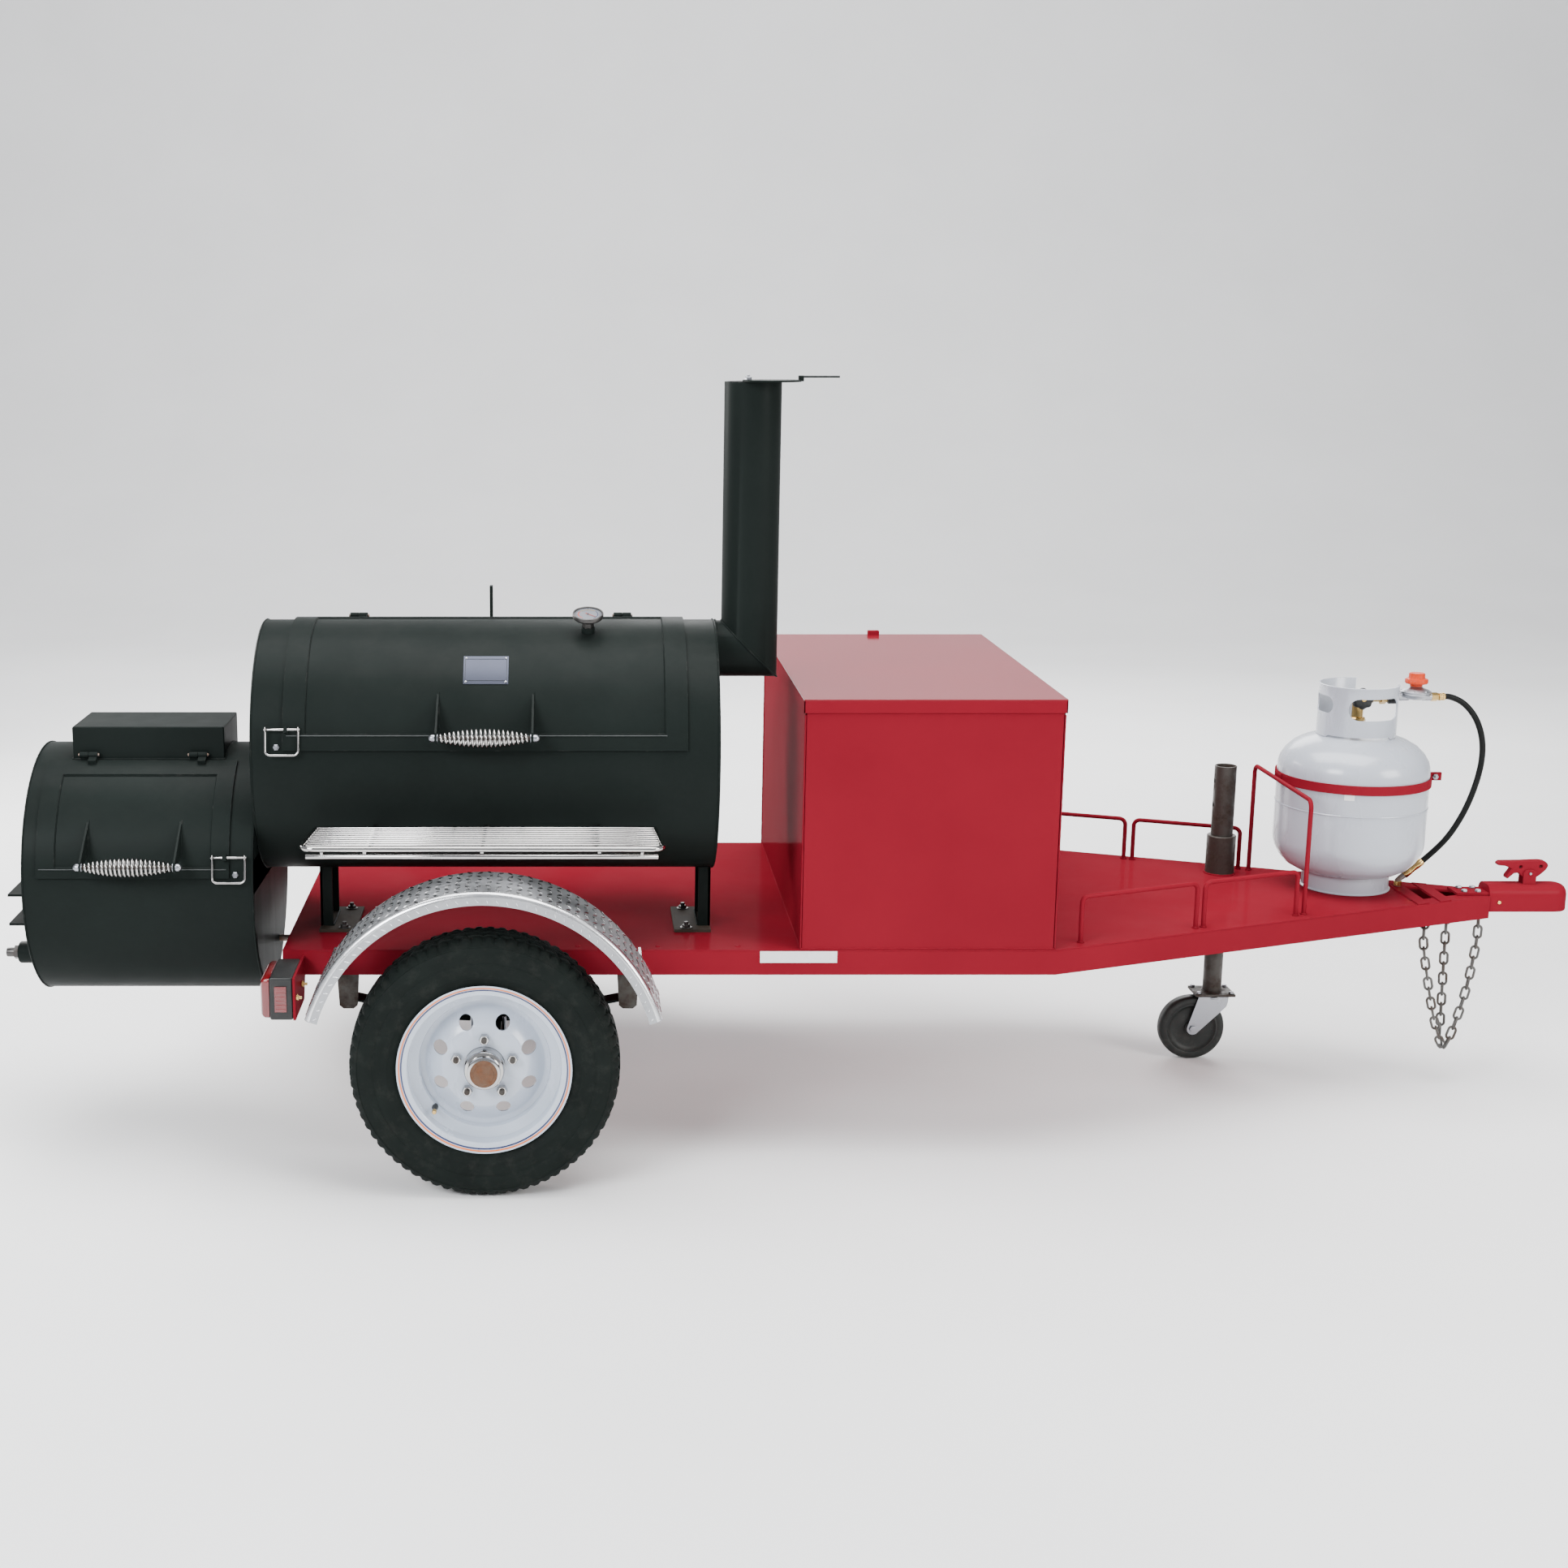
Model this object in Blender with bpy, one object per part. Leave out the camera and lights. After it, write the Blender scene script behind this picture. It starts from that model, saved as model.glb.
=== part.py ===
"""Offset smoker on a single-axle trailer, as named parts with their joint axes.

Units are metres. X runs forward along the trailer and is measured from the axle,
Y is measured from the centre plane with the smoker's doors on the -Y (near) side,
and Z is measured from the ground. Every part hangs on one empty, which moves the
whole trailer so that the middle of its length is at X = 0.
"""

import math

import bmesh
import bpy
from mathutils import Matrix, Vector

# Clearances
GAP = 0.0003
RUNNING = 0.0004
SWING = 0.003

# Chassis
DECK_REAR_X = -0.409
DECK_FRONT_X = 1.134
DECK_HALF_W = 0.457
DECK_TOP_Z = 0.441
PLATE_T = 0.0025
RAIL_H = 0.049
RAIL_T = 0.005
RAIL_FLANGE_W = 0.040
TONGUE_TIP_X = 2.175
TONGUE_TIP_HALF = 0.036
PLATE_FRONT_X = 1.982
CROSS_MEMBERS_X = (0.05, 0.56, 1.06)
CROSS_T = 0.005
CROSS_FLANGE = 0.030
STRAP_W = 0.028
STRAPS_X = (2.004, 2.062)

# Running gear
AXLE_Z = 0.262
TRACK_HALF = 0.610
TYRE_R = 0.262
BEAM = 0.0508
BEAM_HALF_L = 0.520
SPINDLE_R = 0.0127
SPRING_Y = 0.420
SPRING_W = 0.045
SPRING_HALF_L = 0.280
SPRING_EYE_Z = 0.335
SPRING_EYE_R = 0.0125
LEAF_T = 0.006
LEAF_HALF_LENGTHS = (0.280, 0.190, 0.100)
PIN_R = 0.006
RIM_SEAT_R = 0.152
RIM_FLANGE_R = 0.169
RIM_HALF_W = 0.0552
DISC_T = 0.0035
HUB_BORE_R = 0.040
LUG_CIRCLE_R = 0.05715
LUGS = 5
VENT_CIRCLE_R = 0.092
VENT_R = 0.014
VENTS = 8
WHEEL_STEPS = 20

# Fenders and rear lamps
FENDER_R = 0.356
FENDER_T = 0.003
FENDER_IN = 0.090
FENDER_OUT = 0.070
FENDER_LIP = 0.025
FENDER_END_DEG = 17.0
FENDER_BRACKET_X = 0.300
LAMP_PLATE_X = -0.370
LAMP_PLATE_T = 0.005
LAMP_Y = (0.478, 0.612)
LAMP_Z = (0.345, 0.430)
LAMP_DEPTH = 0.045
LENS_DEPTH = 0.018

# Cooking chamber
DRUM_STEPS = 48
DRUM_R = 0.254
DRUM_HALF_L = 0.457
DRUM_Y = -0.240
DRUM_Z = 0.819
DRUM_WALL = 0.0048
LID_HALF_L = 0.393
LID_DEG = (-15.0, 82.5)
LID_MOUTH_HALF_L = 0.357
LID_MOUTH_DEG = (-6.8, 74.3)
HINGE_BACK_DEG = 2.5
LID_HINGE_OUT = 0.012
LID_HINGES_X = (-0.272, 0.272)
STRIP_T = 0.005
PANEL_CLEAR_DEG = 0.75
PANEL_PROUD = 0.0015
STRIP_OVERLAP = 0.004
GRATE_Z = 0.790
LEDGE_W = 0.030
LEG_T = 0.025
LEG_HALF_W = 0.060
LEG_INSET = (0.1195, 0.017)
FOOT_L = 0.075
FOOT_HALF_W = 0.090
FOOT_T = 0.006
STOP_TIP_Z = 1.130
STOP_Y = (0.105, 0.130)
STOP_T = 0.006

# Coil handles
HANDLE_REACH = 0.0493
HANDLE_DEG = 77.4
HANDLE_ROD_R = 0.004
COIL_R = 0.020
COIL_END_R = 0.008
FIN_T = 0.004
FIN_TOP_DEG = 56.0
LID_FIN_HALF = 0.0925
DOOR_FIN_HALF = 0.0915
NUT_L = 0.012

# Pin hinges
PIN_HINGE_R = 0.003
KNUCKLE_R = 0.006
KNUCKLE_L = 0.018
KNUCKLE_INSET = 0.001

# Wire latches
LATCH_DEG = 73.5
LATCH_HALF_W = 0.032
LATCH_DROP = 0.050
LATCH_WIRE_R = 0.0022
LATCH_OUT = 0.0060
LATCH_LEAN_DEG = 6.0

# Fittings on the lid
GAUGE_X = 0.200
GAUGE_DEG = 18.75
GAUGE_R = 0.031
GAUGE_STEM = 0.030
PROBE_R = 0.003
PROBE_L = 0.070
LABEL_HALF_L = 0.044
LABEL_DEG = (37.5, 52.5)
LABEL_T = 0.001

# Front shelf
SHELF_HALF_L = 0.330
SHELF_DEPTH = 0.170
SHELF_OUT_Y = -0.673
SHELF_Z = 0.700
SHELF_RODS = 9
SHELF_ROD_R = 0.0025
SHELF_RAIL_R = 0.005

# Firebox
BOX_R = 0.254
BOX_L = 0.456
BOX_AXIS_Z = 0.564
BOX_WALL = 0.00635
DOOR_MID = 0.2365
DOOR_HALF_L = 0.1895
DOOR_DEG = (22.5, 82.5)
DOOR_MOUTH_HALF_L = 0.1610
DOOR_MOUTH_DEG = (30.8, 75.8)
DOOR_HINGE_BACK_DEG = 1.25
DOOR_HINGE_OUT = 0.014
DOOR_HINGES = (-0.110, 0.110)
TOP_BOX_L = 0.306
TOP_BOX_CLEAR = 0.005
TOP_BOX_RISE = 0.051
TOP_BOX_T = 0.004
FIRE_GRATE_DROP = 0.144
PASSAGE_HALF_W = 0.130
PASSAGE_Z = (0.630, 0.755)
SHUTTER_Z = 0.516
SHUTTER_H = 0.054
SHUTTER_L = 0.150
SHUTTER_T = 0.003
GUIDE_REACH = 0.045
GUIDE_T = 0.005
GUIDE_Y = (-0.430, -0.050)
VENT_HOLE_R = 0.017
DRAIN_Y = -0.400
DRAIN_Z = 0.420
DRAIN_R = 0.022
DRAIN_NIPPLE_R = 0.0095
DRAIN_REACH = 0.060

# Stack
STACK_R = 0.057
STACK_WALL = 0.003
STACK_SIDES = 20
STACK_OUT = 0.071
STACK_DROP = 0.057
STACK_TOP_Z = 1.550
DAMPER_R = 0.058
DAMPER_T = 0.004
DAMPER_SHUT_DEG = 73.0
DAMPER_ARM = 0.047
DAMPER_HANDLE = 0.180

# Storage box
STORE_X = (0.620, 1.134)
STORE_HALF_W = 0.458
STORE_TOP_Z = 0.947
STORE_LIP = 0.027
SHEET_T = 0.003
STORE_HINGES_X = (0.720, 1.034)

# Guard rails
GUARD_ROD_R = 0.00475
GUARD_H = 0.100
GUARD_INSET = 0.030
GUARD_SPANS_X = ((1.194, 1.456), (1.474, 1.694))
TANK_GUARD_X = 1.715
TANK_GUARD_HALF = 0.190
TANK_GUARD_H = 0.245

# Coupler
COUPLER_HALF_W = 0.032
COUPLER_L = 0.179
COUPLER_Z = (0.402, 0.460)
BALL_R = 0.0254
BALL_BACK = 0.051
LEVER_HALF_T = 0.009
LEVER_PIVOT = (0.093, 0.484)
LEVER_PIN_R = 0.003

# Jack and caster
JACK_X = 1.641
JACK_Y = 0.165
JACK_SOCKET_R = 0.032
JACK_SOCKET_TOP_Z = 0.530
JACK_SLEEVE_R = 0.02415
JACK_SLEEVE_BORE_R = 0.0213
JACK_SLEEVE_Z = (0.375, 0.690)
JACK_LEG_R = 0.0209
JACK_LEG_BORE_R = 0.0170
JACK_LEG_TOP_Z = 0.655
CASTER_R = 0.075
CASTER_HALF_W = 0.016
CASTER_TRAIL = 0.044
CASTER_PLATE_Z = 0.156
CASTER_PLATE_T = 0.006
FORK_T = 0.0025
KING_PIN_R = 0.006

# Gas cylinder and its fittings
TANK_X = 1.885
TANK_Y = 0.050
TANK_R = 0.159
TANK_SHELL_T = 0.003
FOOT_RING_R = 0.092
COLLAR_R = 0.083
COLLAR_T = 0.0025
COLLAR_Z = (0.3425, 0.455)
COLLAR_OPEN_DEG = (-9.0, 75.0)
COLLAR_WINDOWS = (
    (-123.0, -35.0, 0.385, 0.432),
    (-205.0, -147.0, 0.395, 0.432),
    (-158.0, -52.0, 0.330, 0.3475),
)
NECK_R = 0.0133
VALVE_Z = 0.425
STRAP_Z = 0.248
STRAP_H = 0.020
STRAP_T = 0.0035
REGULATOR_OUT = 0.124
REGULATOR_Z = 0.434
REGULATOR_EXIT = 0.050
HOSE_R = 0.0065
PIPE_R = 0.007
PIPE_DROP = 0.0112
PIPE_X = 2.004
PIPE_RISE_Z = 0.454
PIPE_TIP = (0.012, 0.0, 0.0105)
BURNER_Y = -0.150
BURNER_END_X = -0.870

# Safety chains
CHAIN_R = 0.0055

# Places worked out from the sizes above
FRAME_TOP_Z = DECK_TOP_Z - PLATE_T - GAP
FRAME_LOW_Z = FRAME_TOP_Z - RAIL_H
PIPE_Z = FRAME_LOW_Z - PIPE_DROP
BOX_FRONT_X = -DRUM_HALF_L - GAP
BOX_REAR_X = BOX_FRONT_X - BOX_L
BOX_MID_X = (BOX_FRONT_X + BOX_REAR_X) / 2
DOOR_X = BOX_FRONT_X - DOOR_MID
STACK_X = DRUM_HALF_L + STACK_OUT
COUPLER_X = TONGUE_TIP_X + GAP
BALL_X = COUPLER_X + COUPLER_L - BALL_BACK
REAR_X = BOX_REAR_X - DRAIN_REACH
FRONT_X = COUPLER_X + COUPLER_L
LID_HINGE_DEG = LID_DEG[0] - HINGE_BACK_DEG
DOOR_HINGE_DEG = DOOR_DEG[0] - DOOR_HINGE_BACK_DEG
TOP_BOX_HALF_W = BOX_R * math.sin(math.radians(DOOR_HINGE_DEG)) - TOP_BOX_CLEAR


# ---------------------------------------------------------------- shapes


def loft(loops, ring=False):
    """A solid skinned over loops of equal length, closed on itself or capped at both ends."""
    shape = bmesh.new()
    rows = [[shape.verts.new(point) for point in loop] for loop in loops]
    pairs = list(zip(rows, rows[1:] + rows[:1]))
    if not ring:
        pairs.pop()
        shape.faces.new(rows[0])
        shape.faces.new(rows[-1])
    for first, second in pairs:
        for i in range(len(first)):
            j = (i + 1) % len(first)
            shape.faces.new((first[i], first[j], second[j], second[i]))
    bmesh.ops.recalc_face_normals(shape, faces=shape.faces)
    return shape


def prism(outline, axis, low, high):
    """An outline in the plane across an axis, extruded along it from low to high."""
    order = {"X": lambda u, v, w: (w, u, v), "Y": lambda u, v, w: (u, w, v), "Z": lambda u, v, w: (u, v, w)}
    place = order[axis]
    return loft([[place(u, v, level) for u, v in outline] for level in (low, high)])


def block(x, y, z):
    """A box from its three (low, high) ranges."""
    outline = [(x[0], y[0]), (x[1], y[0]), (x[1], y[1]), (x[0], y[1])]
    return prism(outline, "Z", z[0], z[1])


def around(axis, centre, radius, height, degrees):
    """A point at a radius and angle about an axis; about X the angle is 0 at the top and grows to -Y."""
    turn = math.radians(degrees)
    cos, sin = radius * math.cos(turn), radius * math.sin(turn)
    x, y, z = centre
    if axis == "X":
        return (x + height, y - sin, z + cos)
    if axis == "Y":
        return (x + cos, y + height, z + sin)
    return (x + cos, y + sin, z + height)


def revolve(profile, axis, centre, steps=24, start=0.0, sweep=360.0):
    """(radius, height) points turned about an axis; a profile that starts and ends at radius 0 is open."""
    full = sweep >= 360.0
    on_axis = profile[0][0] == 0.0 and profile[-1][0] == 0.0
    shape = bmesh.new()
    turns = steps if full else steps + 1
    rows = []
    for k in range(turns):
        degrees = start + sweep * k / steps
        rows.append([shape.verts.new(around(axis, centre, r, h, degrees)) for r, h in profile])
    pairs = list(zip(rows, rows[1:] + rows[:1]))
    if not full:
        pairs.pop()
        shape.faces.new(rows[0])
        shape.faces.new(rows[-1])
    last = len(profile) - 1 if on_axis else len(profile)
    for first, second in pairs:
        for i in range(last):
            j = (i + 1) % len(profile)
            shape.faces.new((first[i], first[j], second[j], second[i]))
    bmesh.ops.remove_doubles(shape, verts=shape.verts, dist=1e-6)
    bmesh.ops.recalc_face_normals(shape, faces=shape.faces)
    return shape


def rod(axis, centre, radius, low, high, steps=12):
    """A solid round bar along an axis, from low to high of its centre."""
    return revolve([(0.0, low), (radius, low), (radius, high), (0.0, high)], axis, centre, steps)


def ring(axis, centre, outer, inner, low, high, steps=24, start=0.0, sweep=360.0):
    """A round wall between two radii, whole or over part of a turn."""
    profile = [(inner, low), (outer, low), (outer, high), (inner, high)]
    return revolve(profile, axis, centre, steps, start, sweep)


def rounded(points, bend, steps=4):
    """A path with each corner replaced by an arc of the bend radius."""
    path = [Vector(points[0])]
    for before, corner, after in zip(points, points[1:], points[2:]):
        corner = Vector(corner)
        back = (Vector(before) - corner).normalized()
        ahead = (Vector(after) - corner).normalized()
        half = back.angle(ahead) / 2
        middle = corner + (back + ahead).normalized() * bend / math.sin(half)
        for k in range(steps + 1):
            share = k / steps
            start = (corner + back * bend / math.tan(half)) - middle
            end = (corner + ahead * bend / math.tan(half)) - middle
            path.append(middle + start.slerp(end, share).normalized() * bend)
    path.append(Vector(points[-1]))
    return path


def tube(points, radius, sides=8):
    """A round bar along a path, mitred where the path turns."""
    path = [Vector(point) for point in points]
    first = (path[1] - path[0]).normalized()
    side = first.orthogonal().normalized()
    across = first.cross(side)
    turns = [2 * math.pi * k / sides for k in range(sides)]
    row = [path[0] + radius * (math.cos(t) * side + math.sin(t) * across) for t in turns]
    rows = [row]
    for i in range(1, len(path)):
        heading = (path[i] - path[i - 1]).normalized()
        ahead = heading if i == len(path) - 1 else (path[i + 1] - path[i]).normalized()
        plane = (heading + ahead).normalized()
        row = [p + heading * ((path[i] - p).dot(plane) / heading.dot(plane)) for p in row]
        rows.append(row)
    return loft(rows)


def merged(shapes):
    """Several shapes that don't meet, as one mesh."""
    whole = bmesh.new()
    for shape in shapes:
        mesh = bpy.data.meshes.new("part")
        shape.to_mesh(mesh)
        shape.free()
        whole.from_mesh(mesh)
        bpy.data.meshes.remove(mesh)
    return whole


# ---------------------------------------------------------------- scene


for old in list(bpy.data.objects):
    bpy.data.objects.remove(old, do_unlink=True)

trailer = bpy.data.objects.new("trailer", None)
trailer.location = (-(REAR_X + FRONT_X) / 2, 0, 0)
bpy.context.scene.collection.objects.link(trailer)


def paint(name, colour, roughness, metallic):
    """A Principled material."""
    material = bpy.data.materials.new(name)
    material.use_nodes = True
    surface = material.node_tree.nodes["Principled BSDF"]
    surface.inputs["Base Color"].default_value = (*colour, 1.0)
    surface.inputs["Roughness"].default_value = roughness
    surface.inputs["Metallic"].default_value = metallic
    material.diffuse_color = (*colour, 1.0)
    return material


BLACK = paint("satin_black", (0.035, 0.042, 0.044), 0.38, 0.0)
RED = paint("gloss_red", (0.42, 0.022, 0.036), 0.25, 0.0)
WHITE = paint("white_enamel", (0.80, 0.80, 0.80), 0.30, 0.0)
RUBBER = paint("tyre_rubber", (0.022, 0.024, 0.026), 0.75, 0.0)
HARD_RUBBER = paint("caster_rubber", (0.04, 0.045, 0.045), 0.6, 0.0)
CHROME = paint("chrome", (0.78, 0.78, 0.80), 0.12, 1.0)
POLISHED = paint("polished_aluminium", (0.80, 0.82, 0.85), 0.22, 1.0)
ZINC = paint("zinc_plate", (0.66, 0.68, 0.72), 0.35, 1.0)
RAW_STEEL = paint("raw_steel", (0.22, 0.20, 0.19), 0.55, 0.8)
TANK_WHITE = paint("tank_white", (0.72, 0.73, 0.75), 0.30, 0.0)
BRASS = paint("brass", (0.66, 0.45, 0.18), 0.30, 1.0)
PLASTIC = paint("black_plastic", (0.02, 0.025, 0.025), 0.5, 0.0)
LENS = paint("red_lens", (0.45, 0.01, 0.02), 0.15, 0.0)
ORANGE = paint("orange_plastic", (0.72, 0.13, 0.03), 0.4, 0.0)
HOSE = paint("hose_rubber", (0.03, 0.034, 0.032), 0.6, 0.0)
CAST_GREY = paint("cast_grey", (0.36, 0.37, 0.40), 0.4, 0.9)
IRON = paint("grate_iron", (0.06, 0.055, 0.05), 0.7, 0.6)


def place(name, shape, material, pivot=(0.0, 0.0, 0.0), sharp=35.0):
    """Makes the object, with its origin on the pivot and its round faces shaded smooth."""
    bmesh.ops.translate(shape, vec=-Vector(pivot), verts=shape.verts)
    mesh = bpy.data.meshes.new(name)
    shape.to_mesh(mesh)
    shape.free()
    mesh.polygons.foreach_set("use_smooth", [True] * len(mesh.polygons))
    mesh.set_sharp_from_angle(angle=math.radians(sharp))
    mesh.materials.append(material)
    obj = bpy.data.objects.new(name, mesh)
    obj.location = pivot
    obj.parent = trailer
    bpy.context.scene.collection.objects.link(obj)
    return obj


def combine(obj, operation, shape):
    """Adds a Boolean to the object, with the shape as a hidden helper.

    The exact solver drops slivers of the drums' many facets, so this uses the manifold one.
    """
    number = len(obj.modifiers) + 1
    helper = place(f"{obj.name}_{operation.lower()}_{number}", shape, obj.data.materials[0], obj.location)
    helper.hide_render = True
    helper.display_type = "WIRE"
    step = obj.modifiers.new(f"{operation.lower()} {number}", "BOOLEAN")
    step.operation = operation
    step.solver = "MANIFOLD"
    step.object = helper


def weld(obj, *shapes):
    """Joins each shape to the object."""
    for shape in shapes:
        combine(obj, "UNION", shape)


def cut(obj, *shapes):
    """Cuts each shape from the object."""
    for shape in shapes:
        combine(obj, "DIFFERENCE", shape)


SIDES = (("near", -1), ("far", 1))


# ---------------------------------------------------------------- chassis


def rail_half(x):
    """Half the tongue's width at a place along it."""
    slope = (DECK_HALF_W - TONGUE_TIP_HALF) / (TONGUE_TIP_X - DECK_FRONT_X)
    return DECK_HALF_W - slope * (x - DECK_FRONT_X)


def chassis_outline(inset, front_x):
    """The deck and tongue in plan, moved in by the inset, out to front_x."""
    slope = (DECK_HALF_W - TONGUE_TIP_HALF) / (TONGUE_TIP_X - DECK_FRONT_X)
    lean = inset * math.hypot(1.0, slope)
    half = DECK_HALF_W - inset
    shoulder = DECK_FRONT_X + (inset - lean) / slope
    narrowest = 0.006
    tip = min(front_x, DECK_FRONT_X + (DECK_HALF_W - lean - narrowest) / slope)
    tip_half = rail_half(tip) - lean
    rear = DECK_REAR_X + inset
    near = [(rear, -half), (shoulder, -half), (tip, -tip_half)]
    return near + [(x, -y) for x, y in reversed(near)]


def build_frame():
    """Angle-iron rails round the deck, with cross members, straps, spring hangers and lamp plates."""
    levels = (
        (0.0, TONGUE_TIP_X, FRAME_LOW_Z),
        (0.0, TONGUE_TIP_X, FRAME_TOP_Z),
        (RAIL_FLANGE_W, TONGUE_TIP_X - RAIL_T, FRAME_TOP_Z),
        (RAIL_FLANGE_W, TONGUE_TIP_X - RAIL_T, FRAME_TOP_Z - RAIL_T),
        (RAIL_T, TONGUE_TIP_X - RAIL_T, FRAME_TOP_Z - RAIL_T),
        (RAIL_T, TONGUE_TIP_X - RAIL_T, FRAME_LOW_Z),
    )
    loops = [[(x, y, z) for x, y in chassis_outline(inset, front)] for inset, front, z in levels]
    frame = place("trailer_frame", loft(loops, ring=True), RED)
    reach = DECK_HALF_W - RAIL_T / 2
    top = FRAME_TOP_Z - 0.001
    for x in CROSS_MEMBERS_X:
        low = FRAME_LOW_Z + 0.004
        angle = [(x, low), (x + CROSS_T, low), (x + CROSS_T, top - CROSS_T)]
        angle += [(x + CROSS_FLANGE, top - CROSS_T), (x + CROSS_FLANGE, top), (x, top)]
        weld(frame, prism(angle, "Y", -reach, reach))
    for x in STRAPS_X:
        span = (x - STRAP_W / 2, x + STRAP_W / 2)
        half = [rail_half(edge) - 0.004 for edge in span]
        strap = [(span[0], -half[0]), (span[1], -half[1]), (span[1], half[1]), (span[0], half[0])]
        weld(frame, prism(strap, "Z", FRAME_TOP_Z - 0.003, FRAME_TOP_Z + 0.002))
    cut(frame, rod("Z", (PIPE_X, TANK_Y, 0), PIPE_R + RUNNING, FRAME_LOW_Z - 0.01, DECK_TOP_Z + 0.02))
    ends = ((2.022, -1), (2.172, -1), (2.172, 1), (2.022, 1))
    gusset = [(x, side * (rail_half(x) - 0.002)) for x, side in ends]
    weld(frame, prism(gusset, "Z", FRAME_LOW_Z + 0.0005, FRAME_LOW_Z + 0.0045))
    for _, side in SIDES:
        inner = SPRING_Y + SPRING_W / 2 + 0.0005
        ear_y = sorted((side * inner, side * (DECK_HALF_W - RAIL_T / 2)))
        for x in (-SPRING_HALF_L, SPRING_HALF_L):
            ear_x = (x - 0.022, x + 0.022)
            weld(frame, block(ear_x, ear_y, (SPRING_EYE_Z - 0.018, FRAME_LOW_Z + 0.012)))
            ends = sorted((side * (SPRING_Y - SPRING_W / 2 - 0.004), side * (inner + 0.004)))
            weld(frame, rod("Y", (x, 0, SPRING_EYE_Z), PIN_R, *ends))
        edge = side * (DECK_HALF_W - 0.003)
        plate = [(edge, FRAME_LOW_Z + 0.001), (edge, LAMP_Z[1])]
        plate += [(side * LAMP_Y[1], LAMP_Z[1]), (side * LAMP_Y[1], LAMP_Z[0]), (side * LAMP_Y[0], LAMP_Z[0])]
        weld(frame, prism(plate, "X", LAMP_PLATE_X, LAMP_PLATE_X + LAMP_PLATE_T))


def build_deck():
    """The deck sheet, with the socket that holds the jack welded to it."""
    outline = chassis_outline(0.0, PLATE_FRONT_X)
    deck = place("deck_plate", prism(outline, "Z", FRAME_TOP_Z + GAP, DECK_TOP_Z), RED)
    centre = (JACK_X, JACK_Y, 0)
    weld(deck, rod("Z", centre, JACK_SOCKET_R, FRAME_TOP_Z + 0.001, JACK_SOCKET_TOP_Z, 24))
    cut(deck, rod("Z", centre, JACK_SLEEVE_R + GAP, FRAME_LOW_Z, JACK_SOCKET_TOP_Z + 0.02, 24))


def build_rear_lamps():
    """A black housing and a red lens behind each lamp plate."""
    for name, side in SIDES:
        y = sorted((side * LAMP_Y[0], side * LAMP_Y[1]))
        back = LAMP_PLATE_X - GAP
        housing = block((back - LAMP_DEPTH, back), y, LAMP_Z)
        place(f"tail_lamp_{name}", housing, PLASTIC)
        front = back - LAMP_DEPTH - GAP
        edge = 0.003
        rows = []
        for depth, inset in ((0.0, edge), (0.6 * LENS_DEPTH, edge), (LENS_DEPTH, 3 * edge)):
            low, high = y[0] + inset, y[1] - inset
            bottom, top = LAMP_Z[0] + inset, LAMP_Z[1] - inset
            x = front - depth
            rows.append([(x, low, bottom), (x, high, bottom), (x, high, top), (x, low, top)])
        place(f"lamp_lens_{name}", loft(rows), LENS)


def build_guards():
    """Bent-rod guards along both sides of the tongue, and a tall one across it behind the gas cylinder."""
    foot = DECK_TOP_Z + GAP
    for name, side in SIDES:
        for place_name, span in zip(("rear", "front"), GUARD_SPANS_X):
            ends = [(x, side * (rail_half(x) - GUARD_INSET)) for x in span]
            top = DECK_TOP_Z + GUARD_H - GUARD_ROD_R
            path = [(*ends[0], foot), (*ends[0], top), (*ends[1], top), (*ends[1], foot)]
            place(f"guard_{name}_{place_name}", tube(rounded(path, 0.014), GUARD_ROD_R), RED)
    top = DECK_TOP_Z + TANK_GUARD_H
    half = TANK_GUARD_HALF
    path = [(TANK_GUARD_X, y, z) for y, z in ((-half, foot), (-half, top), (half, top), (half, foot))]
    place("tank_guard", tube(rounded(path, 0.018), GUARD_ROD_R), RED)


# ---------------------------------------------------------------- running gear


def build_axle():
    """The square axle beam with a spindle at each end."""
    half = BEAM / 2
    beam = block((-half, half), (-BEAM_HALF_L, BEAM_HALF_L), (AXLE_Z - half, AXLE_Z + half))
    axle = place("axle_beam", beam, BLACK)
    for _, side in SIDES:
        ends = sorted((side * (BEAM_HALF_L - 0.010), side * (TRACK_HALF + 0.046)))
        weld(axle, rod("Y", (0, 0, AXLE_Z), SPINDLE_R, *ends, 16))


def leaf_top(x):
    """The height of the main leaf's upper face."""
    middle = AXLE_Z + BEAM / 2 + GAP + len(LEAF_HALF_LENGTHS) * LEAF_T
    return middle + (SPRING_EYE_Z + LEAF_T / 2 - middle) * (x / SPRING_HALF_L) ** 2


def build_springs():
    """A leaf pack on each side, seated on the beam and pinned to the frame's ears through its eyes."""
    upper = [SPRING_HALF_L * (k / 5 - 1) for k in range(11)]
    outline = [(x, leaf_top(x)) for x in upper]
    lower = []
    tips = LEAF_HALF_LENGTHS + (0.0,)
    for leaf, (far, close) in enumerate(zip(tips, tips[1:]), start=1):
        lower += [(x, leaf_top(x) - leaf * LEAF_T) for x in (far, (far + close) / 2, close)]
    lower.pop()
    outline += lower + [(-x, z) for x, z in reversed(lower)]
    for name, side in SIDES:
        y = sorted((side * (SPRING_Y - SPRING_W / 2), side * (SPRING_Y + SPRING_W / 2)))
        spring = place(f"leaf_spring_{name}", prism(outline, "Y", *y), BLACK)
        for x in (-SPRING_HALF_L, SPRING_HALF_L):
            weld(spring, rod("Y", (x, 0, SPRING_EYE_Z), SPRING_EYE_R, *y, 16))
        for x in (-SPRING_HALF_L, SPRING_HALF_L):
            cut(spring, rod("Y", (x, 0, SPRING_EYE_Z), PIN_R + RUNNING, y[0] - 0.01, y[1] + 0.01, 16))


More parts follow.
